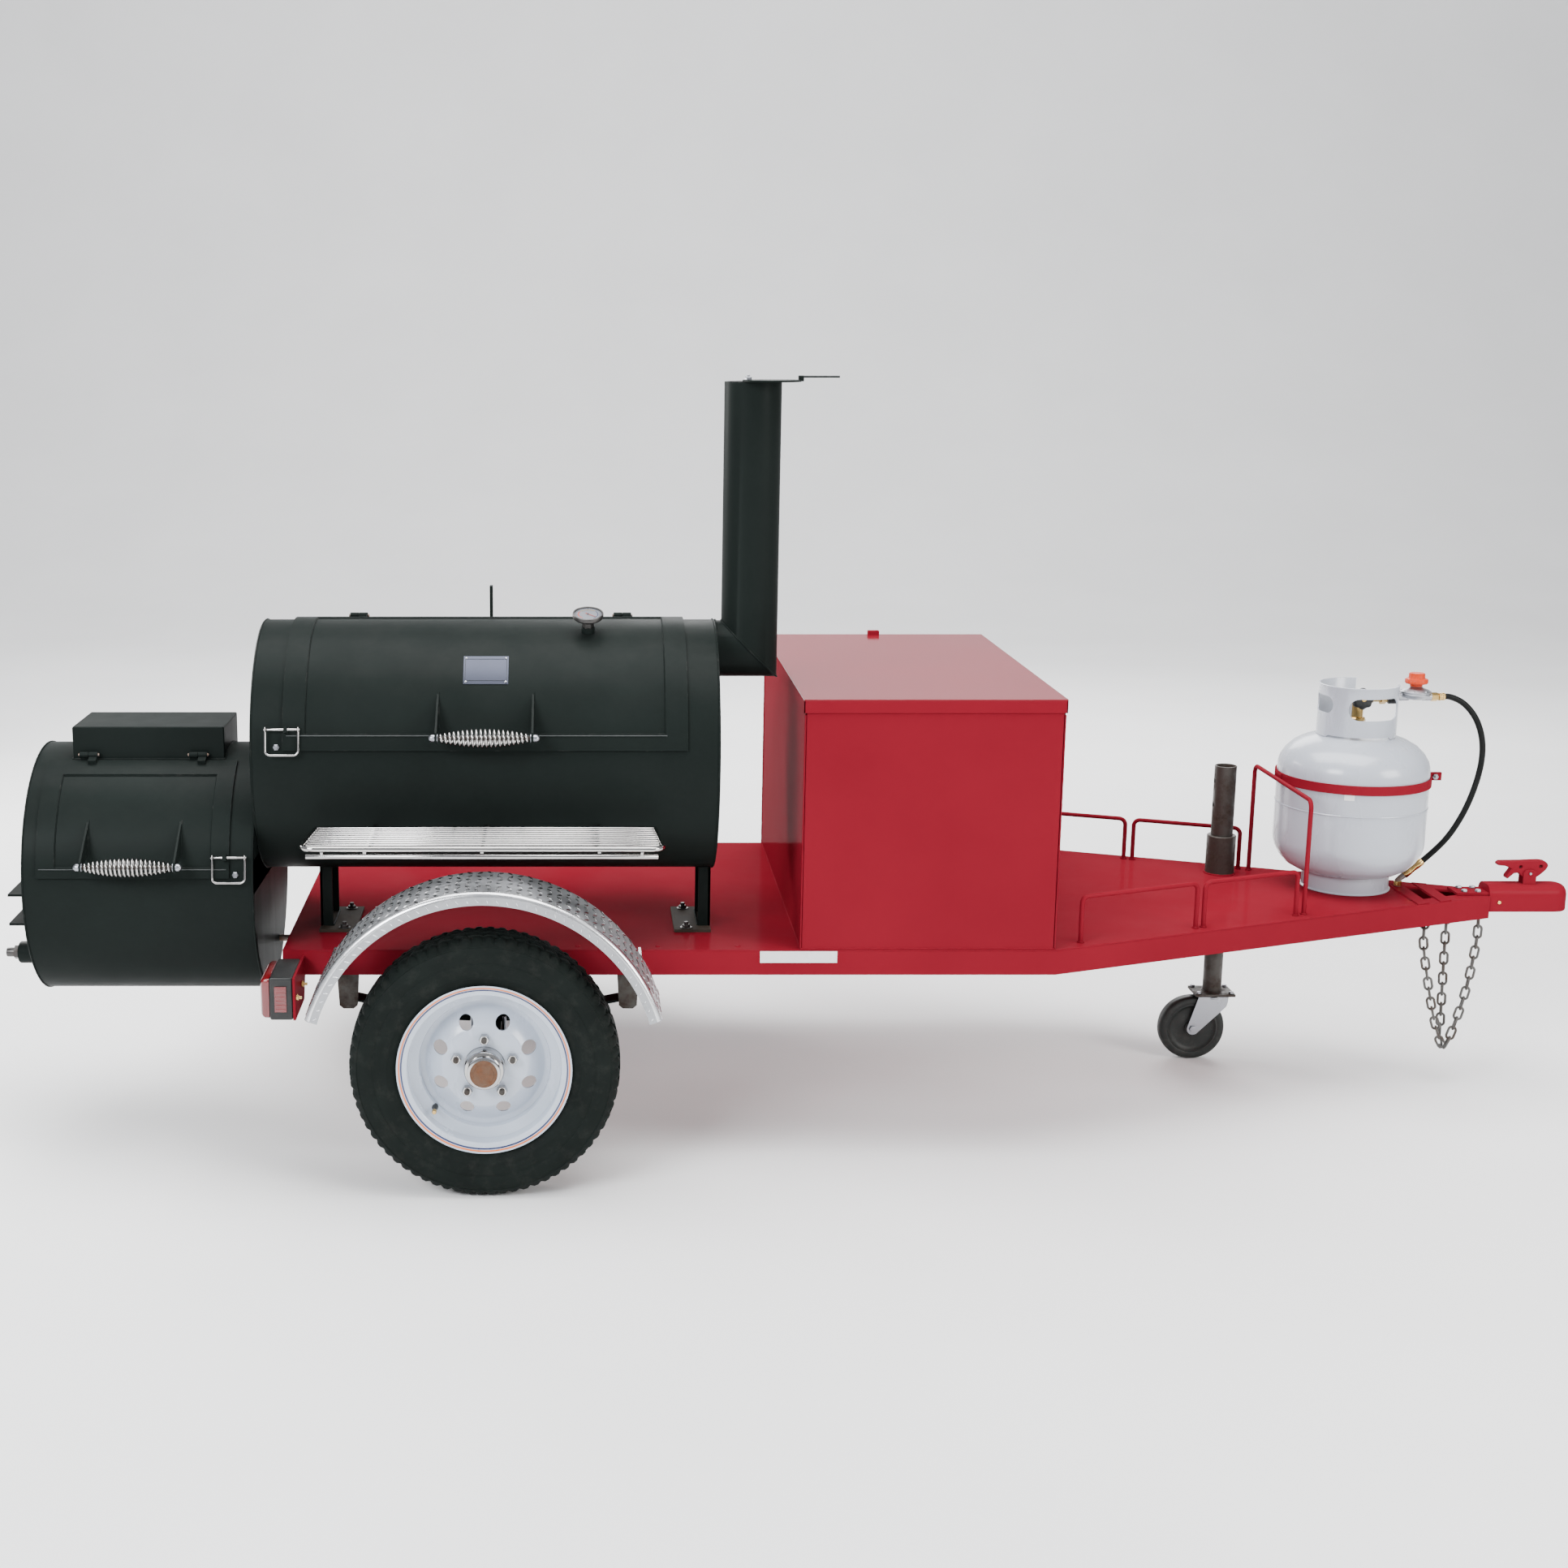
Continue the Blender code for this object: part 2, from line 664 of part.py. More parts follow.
def mirrored(points):
    """A half profile of (radius, height) points followed by its mirror image."""
    return points + [(r, -h) for r, h in reversed(points)]


def tyre_profile():
    """The tyre's section, hollow and open between its beads."""
    bead = RIM_SEAT_R + GAP
    outer = [(bead, 0.0487), (0.172, 0.0487), (0.190, 0.058), (0.215, 0.061), (0.245, 0.055)]
    outer += [(TYRE_R - 0.003, 0.040), (TYRE_R, 0.018)]
    inner = [(bead, 0.034), (0.172, 0.040), (0.200, 0.050), (0.235, 0.047), (TYRE_R - 0.012, 0.030)]
    hollow = [(r, -h) for r, h in inner] + list(reversed(inner))
    return mirrored(outer) + hollow


def rim_profile():
    """The rim's section: the barrel with its drop centre, and the disc that bolts to the hub."""
    wall = DISC_T
    seat, well = RIM_SEAT_R, 0.130
    lip = [(RIM_FLANGE_R, RIM_HALF_W), (seat, 0.0490), (seat, 0.022)]
    outer = mirrored(lip + [(well, 0.014)])
    inner_side = [(RIM_FLANGE_R - wall, RIM_HALF_W), (seat - wall, 0.0525)]
    inner_side += [(seat - wall, 0.0245), (well - wall, 0.0165)]
    face = 0.030
    disc = [(well - wall, 0.0005 - wall), (0.112, 0.0005 - wall)]
    disc += [(0.080, face - wall), (HUB_BORE_R, face - wall)]
    disc += [(HUB_BORE_R, face), (0.082, face), (0.114, 0.0005), (well - wall, 0.0005)]
    return outer + [(r, -h) for r, h in inner_side] + disc + list(reversed(inner_side))


def outward(profile, side):
    """A profile turned so that its positive heights point away from the trailer."""
    return [(r, side * h) for r, h in profile]


def on_circle(count, radius, profile, side, centre, steps, first=90.0):
    """Copies of a small turned shape, set evenly round the wheel's axis."""
    shapes = []
    for k in range(count):
        turn = math.radians(first + 360.0 * k / count)
        spot = (centre[0] + radius * math.cos(turn), centre[1], centre[2] + radius * math.sin(turn))
        shapes.append(revolve(outward(profile, side), "Y", spot, steps))
    return merged(shapes)


def build_wheels():
    """Tyre, rim and hub on each side, turning about the axle."""
    hub = [(0.0, 0.050), (SPINDLE_R + RUNNING, 0.050), (SPINDLE_R + RUNNING, -0.055), (0.032, -0.055)]
    hub += [(0.032, 0.010), (0.070, 0.010), (0.070, 0.0262), (HUB_BORE_R - 0.0005, 0.0262)]
    hub += [(HUB_BORE_R - 0.0005, 0.058), (0.031, 0.060), (0.031, 0.074), (0.0265, 0.074), (0.0265, 0.080)]
    hub += [(0.0, 0.080)]
    stud = [(0.0, 0.009), (0.005, 0.009), (0.005, 0.030 + GAP)]
    stud += [(0.0105, 0.030 + GAP), (0.0105, 0.045), (0.0, 0.045)]
    for name, side in SIDES:
        centre = (0.0, side * TRACK_HALF, AXLE_Z)
        tread = revolve(outward(tyre_profile(), side), "Y", centre, WHEEL_STEPS)
        place(f"tyre_{name}", tread, RUBBER, centre)
        well = revolve(outward(rim_profile(), side), "Y", centre, WHEEL_STEPS)
        rim = place(f"rim_{name}", well, WHITE, centre)
        drill = [(0.0, -0.02), (VENT_R, -0.02), (VENT_R, 0.05), (0.0, 0.05)]
        cut(rim, on_circle(VENTS, VENT_CIRCLE_R, drill, side, centre, 8, 90.0 + 180.0 / VENTS))
        drill = [(0.0, 0.0), (0.0062, 0.0), (0.0062, 0.05), (0.0, 0.05)]
        cut(rim, on_circle(LUGS, LUG_CIRCLE_R, drill, side, centre, 6))
        wheel_hub = place(f"hub_{name}", revolve(outward(hub, side), "Y", centre, 16), CHROME, centre)
        weld(wheel_hub, on_circle(LUGS, LUG_CIRCLE_R, stud, side, centre, 6))


def build_fenders():
    """A rolled fender over each wheel, on two plates from the side rail."""
    high, low = FENDER_R, FENDER_R - FENDER_T
    lip = FENDER_R - FENDER_LIP
    profile = [(high, -FENDER_IN), (high, FENDER_OUT), (lip, FENDER_OUT)]
    profile += [(lip, FENDER_OUT - FENDER_T), (low, FENDER_OUT - FENDER_T), (low, -FENDER_IN)]
    sweep = 180.0 - 2 * FENDER_END_DEG
    x = FENDER_BRACKET_X
    top = AXLE_Z + math.sqrt((FENDER_R - FENDER_T / 2) ** 2 - (x + LAMP_PLATE_T / 2) ** 2)
    for name, side in SIDES:
        centre = (0.0, side * TRACK_HALF, AXLE_Z)
        arc = revolve(outward(profile, side), "Y", centre, 24, FENDER_END_DEG, sweep)
        fender = place(f"fender_{name}", arc, POLISHED)
        y = sorted((side * (DECK_HALF_W + GAP), side * (TRACK_HALF - FENDER_IN + 0.040)))
        for end in (-1, 1):
            plate_x = sorted((end * x, end * (x + LAMP_PLATE_T)))
            weld(fender, block(plate_x, y, (FRAME_LOW_Z + 0.004, top)))


# ---------------------------------------------------------------- cooking chamber


def barrel(centre, radius, low, high):
    """A plain cylinder along X whose facets line up with every other part on the same axis."""
    return rod("X", centre, radius, low, high, DRUM_STEPS)


def panel(centre, inner, outer, x, degrees):
    """Part of a round wall along X, between two angles from the top."""
    sweep = degrees[1] - degrees[0]
    steps = max(1, math.ceil(sweep * DRUM_STEPS / 360.0 - 1e-6))
    return ring("X", centre, outer, inner, x[0], x[1], steps, degrees[0], sweep)


def facet_panel(centre, inner, outer, x, degrees):
    """As panel, with its ends between the drum's facets and its joints on them."""
    step = 360.0 / DRUM_STEPS
    inside = [step * k for k in range(-DRUM_STEPS, DRUM_STEPS) if degrees[0] < step * k < degrees[1]]
    loops = []
    for angle in [degrees[0], *inside, degrees[1]]:
        low = step * math.floor(angle / step)
        share = math.cos(math.radians(step / 2)) / math.cos(math.radians(angle - low - step / 2))
        points = ((inner, x[0]), (outer, x[0]), (outer, x[1]), (inner, x[1]))
        loops.append([around("X", centre, r * share, h, angle) for r, h in points])
    return loft(loops)


def hinge_axis(centre, radius, out, degrees):
    """The (x, y, z) of a hinge line held off a drum; x is the drum's centre."""
    return around("X", centre, radius + out, 0.0, degrees)


def knuckle(axis_point, x, length, radius=KNUCKLE_R):
    """A hinge knuckle or its pin: a round bar along X about the middle at x."""
    spot = (x, axis_point[1], axis_point[2])
    return rod("X", spot, radius, -length / 2, length / 2, 12)


def spoke(centre, inner, outer, x, degrees, half_width):
    """A small block that stands out from a drum, along its radius."""
    middle = math.radians(degrees)
    out = Vector((0, -math.sin(middle), math.cos(middle)))
    along = Vector((0, -math.cos(middle), -math.sin(middle)))
    loops = []
    for level in x:
        base = Vector((level, centre[1], centre[2]))
        near, far = -half_width[0], half_width[1]
        corners = ((inner, near), (outer, near), (outer, far), (inner, far))
        loops.append([base + out * r + along * t for r, t in corners])
    return loft(loops)


def add_hinges(body, door, centre, radius, out, degrees, places_x):
    """Pin hinges: a fixed knuckle with its pin on the body, and a bored knuckle on the door."""
    axis_point = hinge_axis(centre, radius, out, degrees)
    for x in places_x:
        fixed = (x - KNUCKLE_L - GAP + KNUCKLE_INSET, x - GAP - KNUCKLE_INSET)
        weld(body, spoke(centre, radius - 0.002, radius + out, fixed, degrees, (0.0035, 0.0035)))
        weld(body, knuckle(axis_point, x - KNUCKLE_L / 2 - GAP, KNUCKLE_L))
        weld(body, knuckle(axis_point, x, 2 * KNUCKLE_L - 2 * KNUCKLE_INSET, PIN_HINGE_R))
        moving = (x + KNUCKLE_INSET, x + KNUCKLE_L - KNUCKLE_INSET)
        foot = (radius + GAP + 0.0005, radius + out - 0.001)
        weld(door, spoke(centre, foot[0], foot[1], moving, degrees, (-0.0015, 0.0205)))
        weld(door, knuckle(axis_point, x + KNUCKLE_L / 2, KNUCKLE_L))
        bore = PIN_HINGE_R + GAP
        spot = (x, axis_point[1], axis_point[2])
        cut(door, rod("X", spot, bore, -0.004, KNUCKLE_L + 0.004, 12))


def door_shell(name, centre, radius, pivot, x, degrees, mouth_x, mouth_degrees, wall):
    """A lid cut from a drum's wall, with a raised strip welded round its edge that laps over the mouth."""
    strip = panel(centre, radius + GAP, radius + GAP + STRIP_T, x, degrees)
    door = place(name, strip, BLACK, pivot)
    inset_deg = PANEL_CLEAR_DEG + math.degrees(STRIP_OVERLAP / radius)
    hole_deg = (mouth_degrees[0] + inset_deg, mouth_degrees[1] - inset_deg)
    hole_x = (mouth_x[0] + SWING + STRIP_OVERLAP, mouth_x[1] - SWING - STRIP_OVERLAP)
    cut(door, facet_panel(centre, radius - 0.02, radius + 0.02, hole_x, hole_deg))
    panel_deg = (mouth_degrees[0] + PANEL_CLEAR_DEG, mouth_degrees[1] - PANEL_CLEAR_DEG)
    panel_x = (mouth_x[0] + SWING, mouth_x[1] - SWING)
    weld(door, facet_panel(centre, radius - wall, radius + PANEL_PROUD, panel_x, panel_deg))
    return door


def fin_outline(centre, radius):
    """One handle bracket: it leaves the lid high up and reaches out to the handle's rod."""
    root = radius - 0.001
    tip = radius + HANDLE_REACH
    points = [(root, FIN_TOP_DEG), (root, 0.5 * (FIN_TOP_DEG + HANDLE_DEG)), (root, HANDLE_DEG - 4.6)]
    points += [(tip - 0.006, HANDLE_DEG + 1.6), (tip + 0.007, HANDLE_DEG + 1.6)]
    points += [(tip + 0.007, HANDLE_DEG - 2.0)]
    return [around("X", centre, r, 0.0, degrees)[1:] for r, degrees in points]


def add_handle(name, door, centre, radius, pivot, middle_x, half):
    """Two brackets on a lid, and the rod between them with its coil grip."""
    rod_spot = around("X", (middle_x, centre[1], centre[2]), radius + HANDLE_REACH, 0.0, HANDLE_DEG)
    for side in (-1, 1):
        x = middle_x + side * half
        weld(door, prism(fin_outline(centre, radius), "X", x - FIN_T / 2, x + FIN_T / 2))
    cut(door, rod("X", rod_spot, HANDLE_ROD_R + GAP, -half - 0.01, half + 0.01, 12))
    inside = half - FIN_T / 2 - GAP
    outside = half + FIN_T / 2 + GAP
    end = outside + NUT_L
    profile = [(0.0, -end), (0.005, -end), (0.0075, -end + 0.004)]
    profile += [(0.0075, -outside), (HANDLE_ROD_R, -outside)]
    profile += [(HANDLE_ROD_R, -inside)]
    rises = 4
    for k in range(rises + 1):
        swell = math.sin(math.pi / 2 * k / rises)
        profile.append((COIL_END_R + (COIL_R - COIL_END_R) * swell, -inside * (1 - k / rises)))
    profile += [(r, -h) for r, h in reversed(profile[:-1])]
    place(name, revolve(profile, "X", rod_spot, 10), CHROME, pivot)


def add_latch(name, door, centre, radius, body, edge_x, inward, wall):
    """A wire bail that swings on a lug just inward of the lid's edge, over a stud on the body."""
    strip_out = radius + GAP + STRIP_T
    pivot = around("X", (edge_x, centre[1], centre[2]), strip_out + LATCH_OUT, 0.0, LATCH_DEG)
    lug_x = sorted((edge_x + inward * 0.004, edge_x + inward * 0.011))
    lug_out = strip_out + LATCH_OUT + 0.006
    lug = spoke(centre, strip_out - 0.003, lug_out, lug_x, LATCH_DEG, (0.006, 0.006))
    weld(door, lug)
    cut(door, rod("X", pivot, LATCH_WIRE_R + GAP, -0.02, 0.02, 10))
    half = LATCH_HALF_W
    x = pivot[0]
    ends = [around("X", pivot, drop, 0.0, LATCH_DEG + 90.0 + LATCH_LEAN_DEG) for drop in (-0.004, LATCH_DROP)]
    path = [(x + side * half, *ends[low][1:]) for side, low in ((-1, 0), (-1, 1), (1, 1), (1, 0))]
    bail = place(name, tube(rounded(path, 0.006, 3), LATCH_WIRE_R, 6), CHROME, pivot)
    weld(bail, rod("X", pivot, LATCH_WIRE_R, -half - 0.003, half + 0.003, 10))
    stud = around("X", centre, 1.0, 0.0, LATCH_DEG + 7.5)
    out = Vector((0.0, stud[1] - centre[1], stud[2] - centre[2]))
    start = Vector((edge_x - inward * 0.012, centre[1], centre[2]))
    ends = [start + out * (radius - wall / 2), start + out * (radius + 0.005)]
    weld(body, tube(ends, 0.004, 8))


def build_chamber():
    """The cooking chamber with its lid, grate and fittings."""
    centre = (0.0, DRUM_Y, DRUM_Z)
    half = DRUM_HALF_L
    shell = place("chamber_shell", barrel(centre, DRUM_R, -half, half), BLACK)
    cut(shell, barrel(centre, DRUM_R - DRUM_WALL, -half + DRUM_WALL, half - DRUM_WALL))
    mouth = (-LID_MOUTH_HALF_L, LID_MOUTH_HALF_L)
    cut(shell, panel(centre, DRUM_R - 0.03, DRUM_R + 0.03, mouth, LID_MOUTH_DEG))
    passage_y = (DRUM_Y - PASSAGE_HALF_W, DRUM_Y + PASSAGE_HALF_W)
    cut(shell, block((-half - 0.02, -half + 0.02), passage_y, PASSAGE_Z))
    flue = (half, DRUM_Y, DRUM_Z + DRUM_R - STACK_DROP)
    cut(shell, rod("X", flue, STACK_R - STACK_WALL - 0.003, -0.02, 0.02, 24))
    ledge_in = math.sqrt((DRUM_R - DRUM_WALL) ** 2 - (GRATE_Z - DRUM_Z) ** 2)
    for side in (-1, 1):
        y = sorted((DRUM_Y + side * (ledge_in - LEDGE_W), DRUM_Y + side * (ledge_in + 0.002)))
        weld(shell, block((-half + 0.02, half - 0.02), y, (GRATE_Z - 0.006, GRATE_Z)))
    stop_y = (DRUM_Y + STOP_Y[0], DRUM_Y + STOP_Y[1])
    stop_low = DRUM_Z + math.sqrt(DRUM_R**2 - STOP_Y[1] ** 2) - 0.003
    weld(shell, block((-STOP_T / 2, STOP_T / 2), stop_y, (stop_low, STOP_TIP_Z)))

    pivot = hinge_axis(centre, DRUM_R, LID_HINGE_OUT, LID_HINGE_DEG)
    lid_x = (-LID_HALF_L, LID_HALF_L)
    lid = door_shell("chamber_lid", centre, DRUM_R, pivot, lid_x, LID_DEG, mouth, LID_MOUTH_DEG, DRUM_WALL)
    add_hinges(shell, lid, centre, DRUM_R, LID_HINGE_OUT, LID_HINGE_DEG, LID_HINGES_X)
    add_handle("lid_handle", lid, centre, DRUM_R, pivot, 0.0, LID_FIN_HALF)
    add_latch("lid_latch", lid, centre, DRUM_R, shell, -LID_HALF_L, 1, DRUM_WALL)

    facet = (DRUM_R + PANEL_PROUD) * math.cos(math.radians(180.0 / DRUM_STEPS))
    lean = Matrix.Rotation(math.radians(GAUGE_DEG), 4, "X")
    seat = Matrix.Translation((GAUGE_X, DRUM_Y, DRUM_Z)) @ lean
    profile = [(0.0, -PROBE_L), (PROBE_R, -PROBE_L), (PROBE_R, GAP), (0.012, GAP), (0.012, GAUGE_STEM)]
    profile += [(0.026, GAUGE_STEM), (GAUGE_R, GAUGE_STEM + 0.004)]
    profile += [(GAUGE_R, GAUGE_STEM + 0.012), (0.0, GAUGE_STEM + 0.012)]
    gauge = revolve([(r, facet + h) for r, h in profile], "Z", (0, 0, 0), 20)
    bmesh.ops.transform(gauge, matrix=seat, verts=gauge.verts)
    place("thermometer", gauge, CHROME, pivot)
    drill = rod("Z", (0, 0, 0), PROBE_R + RUNNING, DRUM_R - 0.03, DRUM_R + 0.02)
    bmesh.ops.transform(drill, matrix=seat, verts=drill.verts)
    cut(lid, drill)
    skin = DRUM_R + PANEL_PROUD + GAP
    label = panel(centre, skin, skin + LABEL_T, (-LABEL_HALF_L, LABEL_HALF_L), LABEL_DEG)
    place("name_plate", label, POLISHED, pivot)

    width = ledge_in - 0.006
    x_range = (-half + 0.012, half - 0.012)
    build_grate("cooking_grate", x_range, DRUM_Y, width, GRATE_Z + GAP, 12)


def build_grate(name, x, middle_y, half_w, low, bars):
    """A rod grate: bars across Y on two runners along X."""
    radius, runner_r = 0.004, 0.005
    level = low + radius
    spacing = (x[1] - x[0] - 4 * radius) / (bars - 1)
    first = x[0] + 2 * radius
    rods = [rod("Y", (first + spacing * k, middle_y, level), radius, -half_w, half_w, 4) for k in range(bars)]
    grate = place(name, merged(rods), IRON)
    for share in (-0.6, 0.6):
        spot = (0, middle_y + share * half_w, level + radius)
        weld(grate, rod("X", spot, runner_r, x[0], x[1], 4))


def build_legs():
    """A saddle leg under each end of the chamber, with its foot on the deck."""
    for name, inset, inward in (("rear", LEG_INSET[0], 1), ("front", LEG_INSET[1], -1)):
        x = -inward * (DRUM_HALF_L - inset)
        leg_x = (x - LEG_T / 2, x + LEG_T / 2)
        y = (DRUM_Y - LEG_HALF_W, DRUM_Y + LEG_HALF_W)
        low = DECK_TOP_Z + GAP
        leg = place(f"leg_{name}", block(leg_x, y, (low + 0.001, DRUM_Z - DRUM_R + 0.02)), BLACK)
        cut(leg, barrel((0, DRUM_Y, DRUM_Z), DRUM_R + GAP, -DRUM_HALF_L, DRUM_HALF_L))
        outer = x - inward * LEG_T / 2
        foot_x = sorted((outer + inward * 0.0005, outer + inward * FOOT_L))
        foot_y = (DRUM_Y - FOOT_HALF_W, DRUM_Y + FOOT_HALF_W)
        weld(leg, block(foot_x, foot_y, (low, low + FOOT_T)))


def build_shelf():
    """The front shelf: long rods on two arms from the chamber, with a double front rail."""
    back_y = DRUM_Y - math.sqrt(DRUM_R**2 - (SHELF_Z - DRUM_Z) ** 2)
    inner_y = SHELF_OUT_Y + SHELF_DEPTH
    length = (-SHELF_HALF_L, SHELF_HALF_L)
    corners = [(length[0], inner_y), (length[0] - 0.012, SHELF_OUT_Y)]
    corners += [(length[1] + 0.012, SHELF_OUT_Y), (length[1], inner_y)]
    path = [(x, y, SHELF_Z) for x, y in corners]
    shelf = place("front_shelf", tube(rounded(path, 0.025, 2), SHELF_RAIL_R, 6), CHROME)
    spacing = (SHELF_DEPTH - 0.012) / SHELF_RODS
    rods = []
    for k in range(SHELF_RODS):
        y = inner_y - 0.001 - spacing * k
        reach = SHELF_HALF_L + 0.001
        rods.append(rod("X", (0, y, SHELF_Z + 0.001), SHELF_ROD_R, -reach, reach, 4))
    weld(shelf, merged(rods))
    lower = [(x, y, SHELF_Z - 0.014) for x, y in ((length[0], SHELF_OUT_Y), (length[1], SHELF_OUT_Y))]
    weld(shelf, tube(lower, SHELF_RAIL_R, 6))
    low = (SHELF_Z - 0.020, SHELF_Z + 0.0005)
    deep = (SHELF_OUT_Y - 0.001, back_y + 0.02)
    arms = [block((x - 0.003, x + 0.003), deep, low) for x in (-0.22, 0.0, 0.22)]
    weld(shelf, merged(arms))
    cut(shelf, barrel((0, DRUM_Y, DRUM_Z), DRUM_R + GAP, -DRUM_HALF_L, DRUM_HALF_L))


# ---------------------------------------------------------------- firebox


def build_firebox():
    """The firebox behind the chamber, with its door, fire grate, top box and air shutter."""
    centre = (BOX_MID_X, DRUM_Y, BOX_AXIS_Z)
    half = BOX_L / 2
    shell = place("firebox_shell", barrel(centre, BOX_R, -half, half), BLACK)
    cut(shell, barrel(centre, BOX_R - BOX_WALL, -half + BOX_WALL, half - BOX_WALL))
    middle = DOOR_X - BOX_MID_X
    mouth = (middle - DOOR_MOUTH_HALF_L, middle + DOOR_MOUTH_HALF_L)
    cut(shell, panel(centre, BOX_R - 0.03, BOX_R + 0.03, mouth, DOOR_MOUTH_DEG))
    passage_y = (DRUM_Y - PASSAGE_HALF_W, DRUM_Y + PASSAGE_HALF_W)
    cut(shell, block((BOX_FRONT_X - 0.02, BOX_FRONT_X + 0.02), passage_y, PASSAGE_Z))
    cut(shell, rod("X", (BOX_FRONT_X, BURNER_Y, PIPE_Z), PIPE_R + RUNNING, -0.02, 0.02))
    spots = [(BOX_REAR_X, DRUM_Y + dy, SHUTTER_Z) for dy in (-0.05, 0.0, 0.05)]
    vents = [rod("X", spot, VENT_HOLE_R, -0.02, 0.02, 10) for spot in spots]
    cut(shell, merged(vents))

    grate_z = BOX_AXIS_Z - FIRE_GRATE_DROP
    ledge_in = math.sqrt((BOX_R - BOX_WALL) ** 2 - FIRE_GRATE_DROP**2)
    for side in (-1, 1):
        y = sorted((DRUM_Y + side * (ledge_in - LEDGE_W), DRUM_Y + side * (ledge_in + 0.003)))
        weld(shell, block((BOX_REAR_X + 0.02, BOX_FRONT_X - 0.02), y, (grate_z - 0.006, grate_z)))
    grate_x = (BOX_REAR_X + BOX_WALL + 0.012, BOX_FRONT_X - BOX_WALL - 0.012)
    build_grate("fire_grate", grate_x, DRUM_Y, ledge_in - 0.006, grate_z + GAP, 8)

    back = BOX_REAR_X - GUIDE_REACH
    for low in (SHUTTER_Z - SHUTTER_H / 2 - GUIDE_T - GAP, SHUTTER_Z + SHUTTER_H / 2 + GAP):
        weld(shell, block((back, BOX_REAR_X + 0.002), GUIDE_Y, (low, low + GUIDE_T)))
    drain = (BOX_REAR_X, DRAIN_Y, DRAIN_Z)
    profile = [(0.0, 0.003), (DRAIN_R, 0.003), (DRAIN_R, -0.034), (DRAIN_NIPPLE_R, -0.034)]
    profile += [(DRAIN_NIPPLE_R, -DRAIN_REACH), (0.0, -DRAIN_REACH)]
    weld(shell, revolve(profile, "X", drain, 12))

    plate_x = (BOX_REAR_X - GAP - SHUTTER_T, BOX_REAR_X - GAP)
    low, high = SHUTTER_Z - SHUTTER_H / 2, SHUTTER_Z + SHUTTER_H / 2
    plate_y = (DRUM_Y - SHUTTER_L / 2, DRUM_Y + SHUTTER_L / 2)
    shutter = place("air_shutter", block(plate_x, plate_y, (low, high)), BLACK)
    tab_y = (plate_y[0], plate_y[0] + SHUTTER_T)
    weld(shutter, block((back, plate_x[1] - 0.001), tab_y, (low + 0.008, high - 0.008)))

    axis = (0, DRUM_Y, BOX_AXIS_Z)
    pivot = hinge_axis((DOOR_X, DRUM_Y, BOX_AXIS_Z), BOX_R, DOOR_HINGE_OUT, DOOR_HINGE_DEG)
    door_x = (middle - DOOR_HALF_L, middle + DOOR_HALF_L)
    door = door_shell("firebox_door", centre, BOX_R, pivot, door_x, DOOR_DEG, mouth, DOOR_MOUTH_DEG, BOX_WALL)
    hinges = [DOOR_X + offset for offset in DOOR_HINGES]
    add_hinges(shell, door, axis, BOX_R, DOOR_HINGE_OUT, DOOR_HINGE_DEG, hinges)
    add_handle("door_handle", door, axis, BOX_R, pivot, DOOR_X, DOOR_FIN_HALF)
    add_latch("door_latch", door, axis, BOX_R, shell, DOOR_X + DOOR_HALF_L, -1, BOX_WALL)

    top = BOX_AXIS_Z + BOX_R + TOP_BOX_RISE
    box_x = (BOX_MID_X - TOP_BOX_L / 2, BOX_MID_X + TOP_BOX_L / 2)
    box_y = (DRUM_Y - TOP_BOX_HALF_W, DRUM_Y + TOP_BOX_HALF_W)
    low = BOX_AXIS_Z + math.sqrt(BOX_R**2 - TOP_BOX_HALF_W**2) - 0.004
    cook_top = place("cook_top", block(box_x, box_y, (low, top)), BLACK)
    t = TOP_BOX_T
    cut(cook_top, block((box_x[0] + t, box_x[1] - t), (box_y[0] + t, box_y[1] - t), (low - 0.01, top - t)))
    cut(cook_top, barrel(centre, BOX_R + GAP, -half, half))


# ---------------------------------------------------------------- stack


